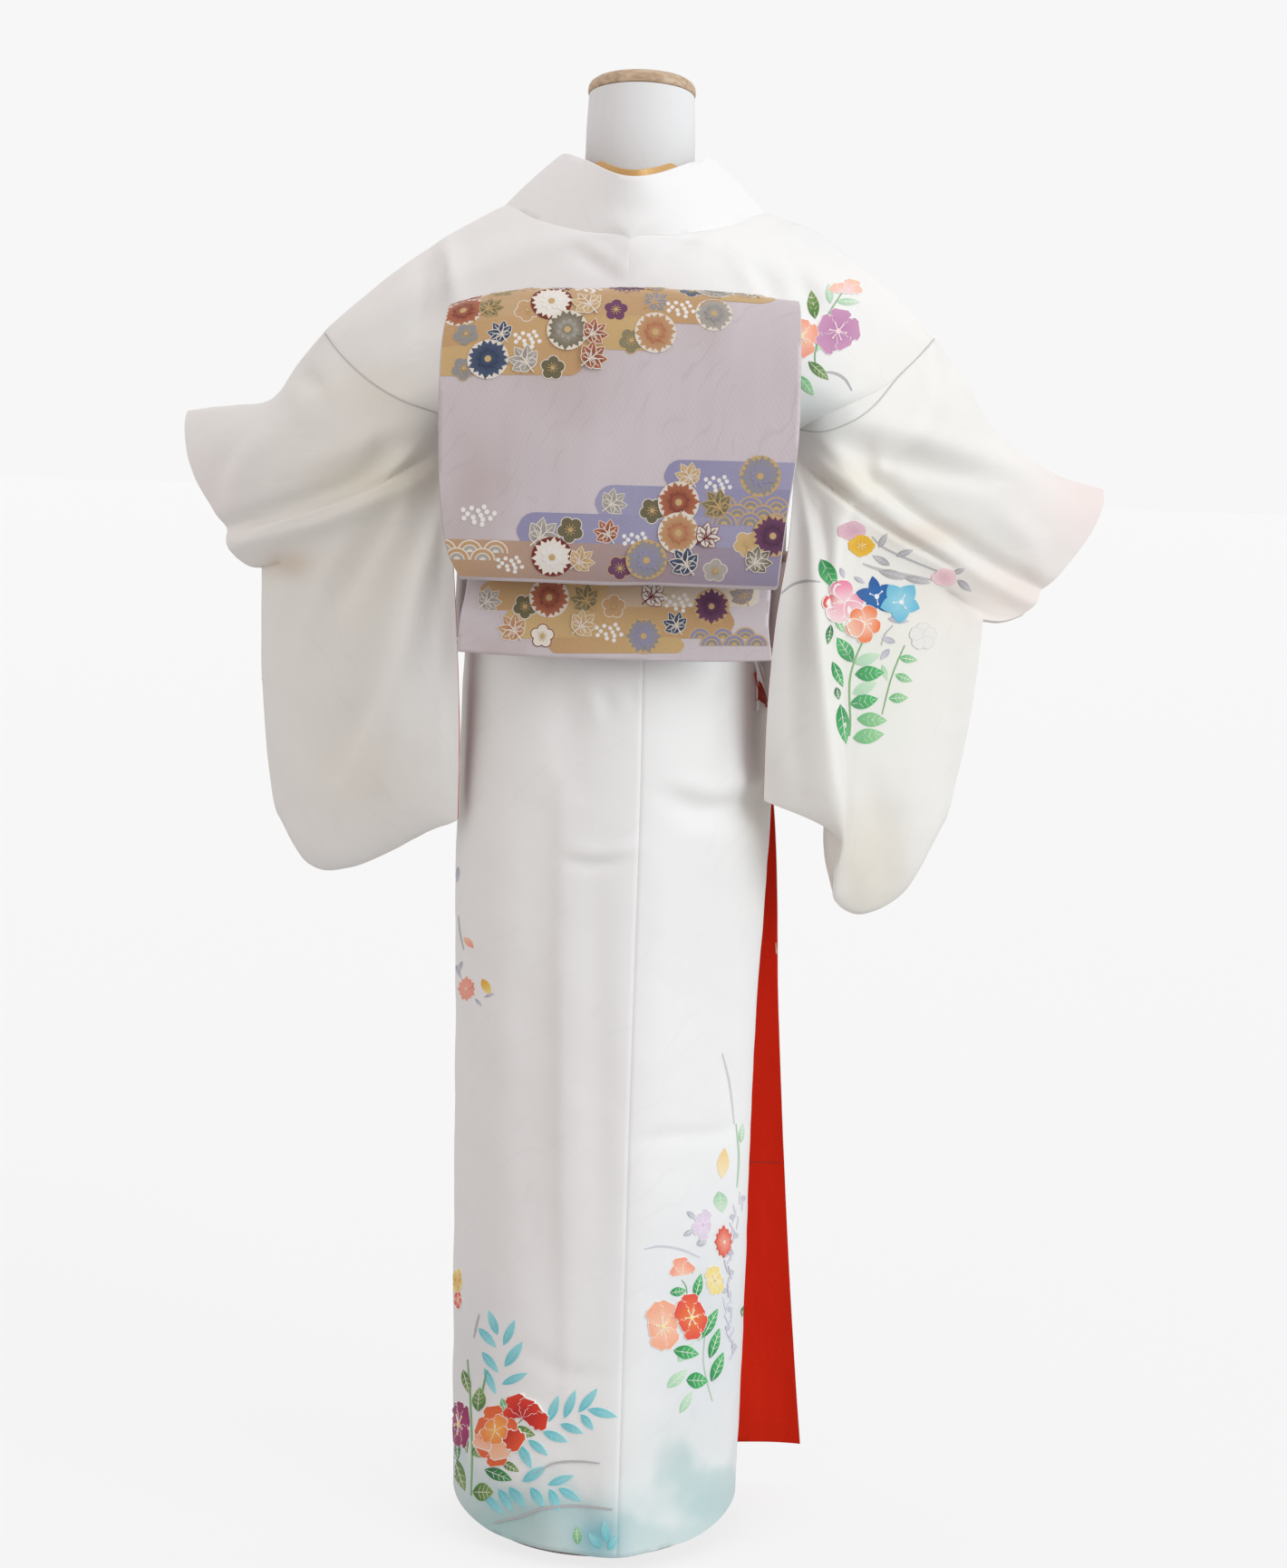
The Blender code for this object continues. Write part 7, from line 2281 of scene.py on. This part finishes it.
pad_turn = turns(48)
pad_rings = []
for s in np.linspace(-1, 1, 61):
    x = PAD_HALF_LENGTH * math.sin(s * math.pi / 2)
    size = max(math.sqrt(max(1 - (x / (PAD_HALF_LENGTH + 0.001)) ** 2, 0.0)), 0.08) ** 0.6
    gather = 1 + 0.05 * np.sin(pad_turn * 9 + 1) * smooth((abs(s) - 0.6) / 0.4)
    y = PAD_Y + PAD_HALF_DEPTH * size * gather * np.cos(pad_turn)
    z = PAD_Z + PAD_HALF_HEIGHT * size * gather * np.sin(pad_turn) - 0.010 * (x / PAD_HALF_LENGTH) ** 2
    pad_rings.append(np.stack([np.full(48, x - 0.002), y, z], -1))
pillow = lathe("obi_pillow_pad", pad_rings, PAD_CLOTH)

FORM_STEPS = 96
CAP_PROFILE = (
    (0.0470, 0.0445, 0.0003), (0.0484, 0.0459, 0.0009), (0.0490, 0.0465, 0.0022), (0.0491, 0.0466, 0.0045),
    (0.0486, 0.0461, 0.0078), (0.0470, 0.0444, 0.0106), (0.0440, 0.0415, 0.0128), (0.0390, 0.0368, 0.0143),
    (0.0300, 0.0283, 0.0150), (0.0150, 0.0141, 0.0152),
)
BASE_PROFILE = (
    (0.103, 0.0), (0.1046, 0.0006), (0.105, 0.003), (0.1047, 0.007), (0.103, 0.0092), (0.099, 0.0110),
    (0.093, 0.0120), (0.020, 0.0120),
)
bust_rings = [ellipse(b.x, b.y, b.height, b.half_width, b.half_depth, FORM_STEPS) for b in BUST]
bust_rings.append(tilted_ring(0.0480, 0.0455, 0.0, FORM_STEPS))
torso = lathe("form_torso_cover", refine(np.array(bust_rings), 5), FORM_CLOTH)
cap_rings = [tilted_ring(*profile, FORM_STEPS) for profile in CAP_PROFILE]
neck_cap = lathe("form_neck_cap_wood", cap_rings, WOOD)
pole_heights = np.linspace(BASE_THICK + 0.0003, BUST[0].height - 0.0003, 9)
pole_rings = [ellipse(0, 0, height, POLE_RADIUS, POLE_RADIUS, 48) for height in pole_heights]
pole = lathe("stand_pole_tube", pole_rings, STEEL)
base_rings = [ellipse(0, 0, height, radius, radius, 96) for radius, height in BASE_PROFILE]
stand_base = lathe("stand_base_disc", base_rings, STEEL)

REPLACES = (
    (skirt_back_left, "skirt_back_left", "silk"),
    (skirt_back_right, "skirt_back_right", "silk"),
    (skirt_inner, "skirt_inner_front_right", "silk"),
    (skirt_outer, "skirt_outer_front_left", "silk"),
    (bodies["body_left_cloth"], "body_left", "silk"),
    (bodies["body_right_cloth"], "body_right", "silk"),
    (sleeve_left, "sleeve_left", "silk"),
    (sleeve_right, "sleeve_right", "silk"),
    (collar, "collar", "silk"),
    (gold_strip, "gold_collar_strip", "gold_silk"),
    (tuck, "waist_tuck", "silk"),
    (band, "obi_band", "obi_brocade"),
    (drum, "obi_drum", "obi_brocade"),
    (tail, "obi_tail", "obi_brocade"),
    (hand, "obi_hand_end", "obi_brocade"),
    (pillow, "obi_pillow", "pad_cloth"),
    (scarf, "obi_scarf", "scarf_silk"),
    (cord, "obi_cord", "braid"),
    (knot, "obi_cord_knot", "braid"),
    (torso, "form_torso", "form_cloth"),
    (neck_cap, "form_neck_cap", "wood"),
    (pole, "stand_pole", "stand_metal"),
    (stand_base, "stand_base", "stand_metal"),
)
for piece, node_name, slot_name in REPLACES:
    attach(piece, "root")
    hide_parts(node_name)


# Laying the dyed flowers, the painted seam shade and the woven picture

body_left, body_right = bodies["body_left_cloth"], bodies["body_right_cloth"]
crest = int(np.argmax(drum_grid[:, drum_grid.shape[1] // 2, 2]))
drum_places = strip_finder(drum_grid, drum_normals, crest)
tail_shapes = [shape._replace(points=shape.points / TAIL_PIXEL + TAIL_FOOT) for shape in tail_picture()]
front_spray = bouquet(800, 1545, 1.15, 4) + bouquet(690, 1500, 0.95, -14) + bouquet(640, 1370, 0.72, -24)
front_spray += bouquet(850, 1400, 0.8, 16)
LEFT_ARMHOLE = ((356, 364), (372, 386), (394, 409), (417, 427), (448, 444), (487, 457))
RIGHT_ARMHOLE = ((1034, 370), (1014, 393), (990, 417), (966, 446), (942, 464), (909, 476), (880, 474))
LINING_MARKS = [
    stroke([(812, 1283), (838, 1282), (868, 1283)], 1.1, (0.36, 0.012, 0.003), 0.3, split=4),
    stroke([(864, 1268), (866, 1286), (868, 1310), (869, 1332)], 3.0, (0.20, 0.17, 0.05), 0.9, split=4),
    stroke([(867, 1346), (869, 1366), (871, 1388)], 2.6, (0.24, 0.20, 0.08), 0.9, split=4),
    stroke([(860, 1120), (861, 1140), (862, 1156)], 2.0, (0.62, 0.56, 0.40), 0.9, split=4),
    stroke([(856, 1040), (857, 1052), (858, 1062)], 1.6, (0.62, 0.56, 0.40), 0.9, split=4),
]
TUCK_END = [
    filled([(832, 742), (836, 760), (834, 774), (846, 781), (853, 786), (847, 764), (838, 744)], (840, 764),
           (832, 742), (853, 786), (0.60, 0.05, 0.02), (0.36, 0.02, 0.01))._replace(rise=30.0),
    filled([(831, 725), (848, 725), (852, 750), (853, 785), (845, 771), (838, 752)], (845, 748),
           (831, 725), (853, 785), (0.86, 0.85, 0.83), (0.80, 0.78, 0.74))._replace(rise=45.0),
]
Laid = namedtuple("Laid", "name shapes finder finish under")
ON_CLOTH = (
    Laid("tuck_end", TUCK_END, photo_finder(skirt_back_right, tuck), PAINT, skirt_back_right),
    Laid("marks_on_lining", LINING_MARKS, photo_finder(skirt_outer, slot=1), PAINT, skirt_outer),
    Laid("flowers_right_shoulder", shoulder_spray(), photo_finder(body_right), PAINT, body_right),
    Laid("flowers_right_sleeve", sleeve_spray(), photo_finder(sleeve_right), PAINT, sleeve_right),
    Laid("flowers_left_hem", left_hem_spray() + left_side_spray(), photo_finder(skirt_back_left), PAINT,
         skirt_back_left),
    Laid("flowers_right_hem", right_hem_spray(), photo_finder(skirt_back_right), PAINT, skirt_back_right),
    Laid("flowers_front_skirt", front_spray, level_finder(skirt_outer), PAINT, skirt_outer),
    Laid("flowers_front_body", bouquet(800, 480, 0.62, -8), level_finder(body_left), PAINT, body_left),
    Laid("flowers_left_sleeve_front", bouquet(1010, 800, 0.95, 6), level_finder(sleeve_left), PAINT,
         sleeve_left),
    Laid("flowers_right_sleeve_front", bouquet(420, 840, 0.7, -10), level_finder(sleeve_right), PAINT,
         sleeve_right),
    # Thin grey lines along both armhole seams: painted shade of the seams' creases.
    Laid("painted_shade_left_armhole_seam", [stroke(LEFT_ARMHOLE, 1.7, PAINTED_SEAM_SHADE, 0.3)],
         photo_finder(body_left, sleeve_left), PAINT, body_left),
    Laid("painted_shade_right_armhole_seam", [stroke(RIGHT_ARMHOLE, 1.7, PAINTED_SEAM_SHADE, 0.3)],
         photo_finder(body_right, sleeve_right), PAINT, body_right),
    Laid("woven_colours_drum", drum_picture(), drum_places, THREADS, drum),
    Laid("woven_colours_tail", tail_shapes, photo_finder(tail, slot=1), THREADS, tail),
    Laid("woven_colours_band", band_picture(), level_finder(band), THREADS, band),
)
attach(strands, "root")
laid_on = {}
for laid in ON_CLOTH:
    film = lay(laid.name, laid.shapes, laid.finder, laid.finish)
    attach(film, "root")
    laid_on.setdefault(laid.under.name, []).append(film)


# What each sheet was cut to, in metres, with its flat area where it isn't a rectangle

Sheet = namedtuple("Sheet", "piece width length area held rests")
SHEETS = (
    Sheet(body_left, 0.30, 0.76, 0.185, "draped", "form_torso"),
    Sheet(body_right, 0.30, 0.76, 0.185, "draped", "form_torso"),
    Sheet(sleeve_left, 0.33, 0.98, 0.315, "hung", "body_left"),
    Sheet(sleeve_right, 0.33, 0.98, 0.320, "hung", "body_right"),
    Sheet(collar, 0.075, 0.93, 0.068, "folded", "form_torso"),
    Sheet(gold_strip, 0.022, 0.86, None, "folded", "collar"),
    Sheet(skirt_back_left, 0.28, 0.86, 0.230, "hung", "form_torso"),
    Sheet(skirt_back_right, 0.28, 0.86, 0.230, "hung", "form_torso"),
    Sheet(skirt_inner, 0.24, 0.83, 0.185, "hung", "form_torso"),
    Sheet(skirt_outer, 0.385, 0.84, 0.285, "hung", "form_torso"),
    Sheet(tuck, 0.40, 0.08, None, "folded", "skirt_outer_front_left"),
    Sheet(band, 0.158, 0.92, None, "folded", "waist_tuck"),
    Sheet(drum, 0.308, 0.44, None, "folded", "obi_pillow"),
    Sheet(tail, 0.275, 0.25, None, "hung", "obi_band"),
    Sheet(hand, 0.24, 0.083, None, "folded", "obi_tail"),
    Sheet(scarf, 0.028, 0.28, None, "gathered", "obi_pillow"),
)
for sheet in SHEETS:
    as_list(laid_on.get(sheet.piece.name, []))


# Stage, light and camera

def camera_ray(tree):
    """1 where only the camera looks, so that a pale ground stays pale without lighting the cloth."""
    return node(tree, "ShaderNodeLightPath").outputs["Is Camera Ray"]


FLOOR_GLOW = 0.776


def stage_material():
    """Matte pale floor."""
    made, tree, shader = start_material("pale_floor", 0.9, 0.0, 0.1)
    mottle = uneven_value(tree, node(tree, "ShaderNodeTexCoord").outputs["Object"], 3.0)
    base = mix_colour(tree, mottle, (0.52, 0.52, 0.52), (0.54, 0.54, 0.54))
    seen = camera_ray(tree)
    feed(tree, shader, {
        "Base Color": mix_colour(tree, seen, base, (0.14, 0.14, 0.14)), "Emission Color": (1.0, 1.0, 1.0),
        "Emission Strength": times(tree, seen, FLOOR_GLOW),
    })
    return made


FLOOR_HALF = 60
FLOOR_LEVEL = -0.0002
corners = ((-1, -1), (1, -1), (1, 1), (-1, 1))
floor_points = [(x * FLOOR_HALF, y * FLOOR_HALF, FLOOR_LEVEL) for x, y in corners]
floor = finish_piece("floor", floor_points, [(0, 1, 2, 3)], (stage_material(),))

world = bpy.data.worlds.new("studio")
bpy.context.scene.world = world
world.use_nodes = True
sky = world.node_tree
light = mix_colour(sky, camera_ray(sky), (0.872, 0.832, 0.828), (0.930, 0.930, 0.930))
feed(sky, sky.nodes["Background"], {"Color": light})

window = bpy.data.lights.new("window_light", "SUN")
window.energy = 1.27
window.angle = math.radians(38)
window.color = (0.84, 0.95, 1.0)
window_object = bpy.data.objects.new("window_light", window)
window_object.rotation_euler = Vector((-0.80, 0.52, -0.34)).to_track_quat("-Z", "Y").to_euler()
bpy.context.scene.collection.objects.link(window_object)
bpy.context.scene.view_settings.view_transform = "Standard"

camera = bpy.data.cameras.new("camera")
camera.sensor_fit = "VERTICAL"
camera.sensor_height = 36
camera.lens = FOCAL_PIXELS / PICTURE_HEIGHT * camera.sensor_height
camera_object = bpy.data.objects.new("camera", camera)
axes = np.stack([CAMERA_RIGHT, CAMERA_UP, -FORWARD, CAMERA_PLACE], 1)
camera_object.matrix_world = Matrix([*axes.tolist(), (0, 0, 0, 1)])
bpy.context.scene.collection.objects.link(camera_object)
bpy.context.scene.camera = camera_object
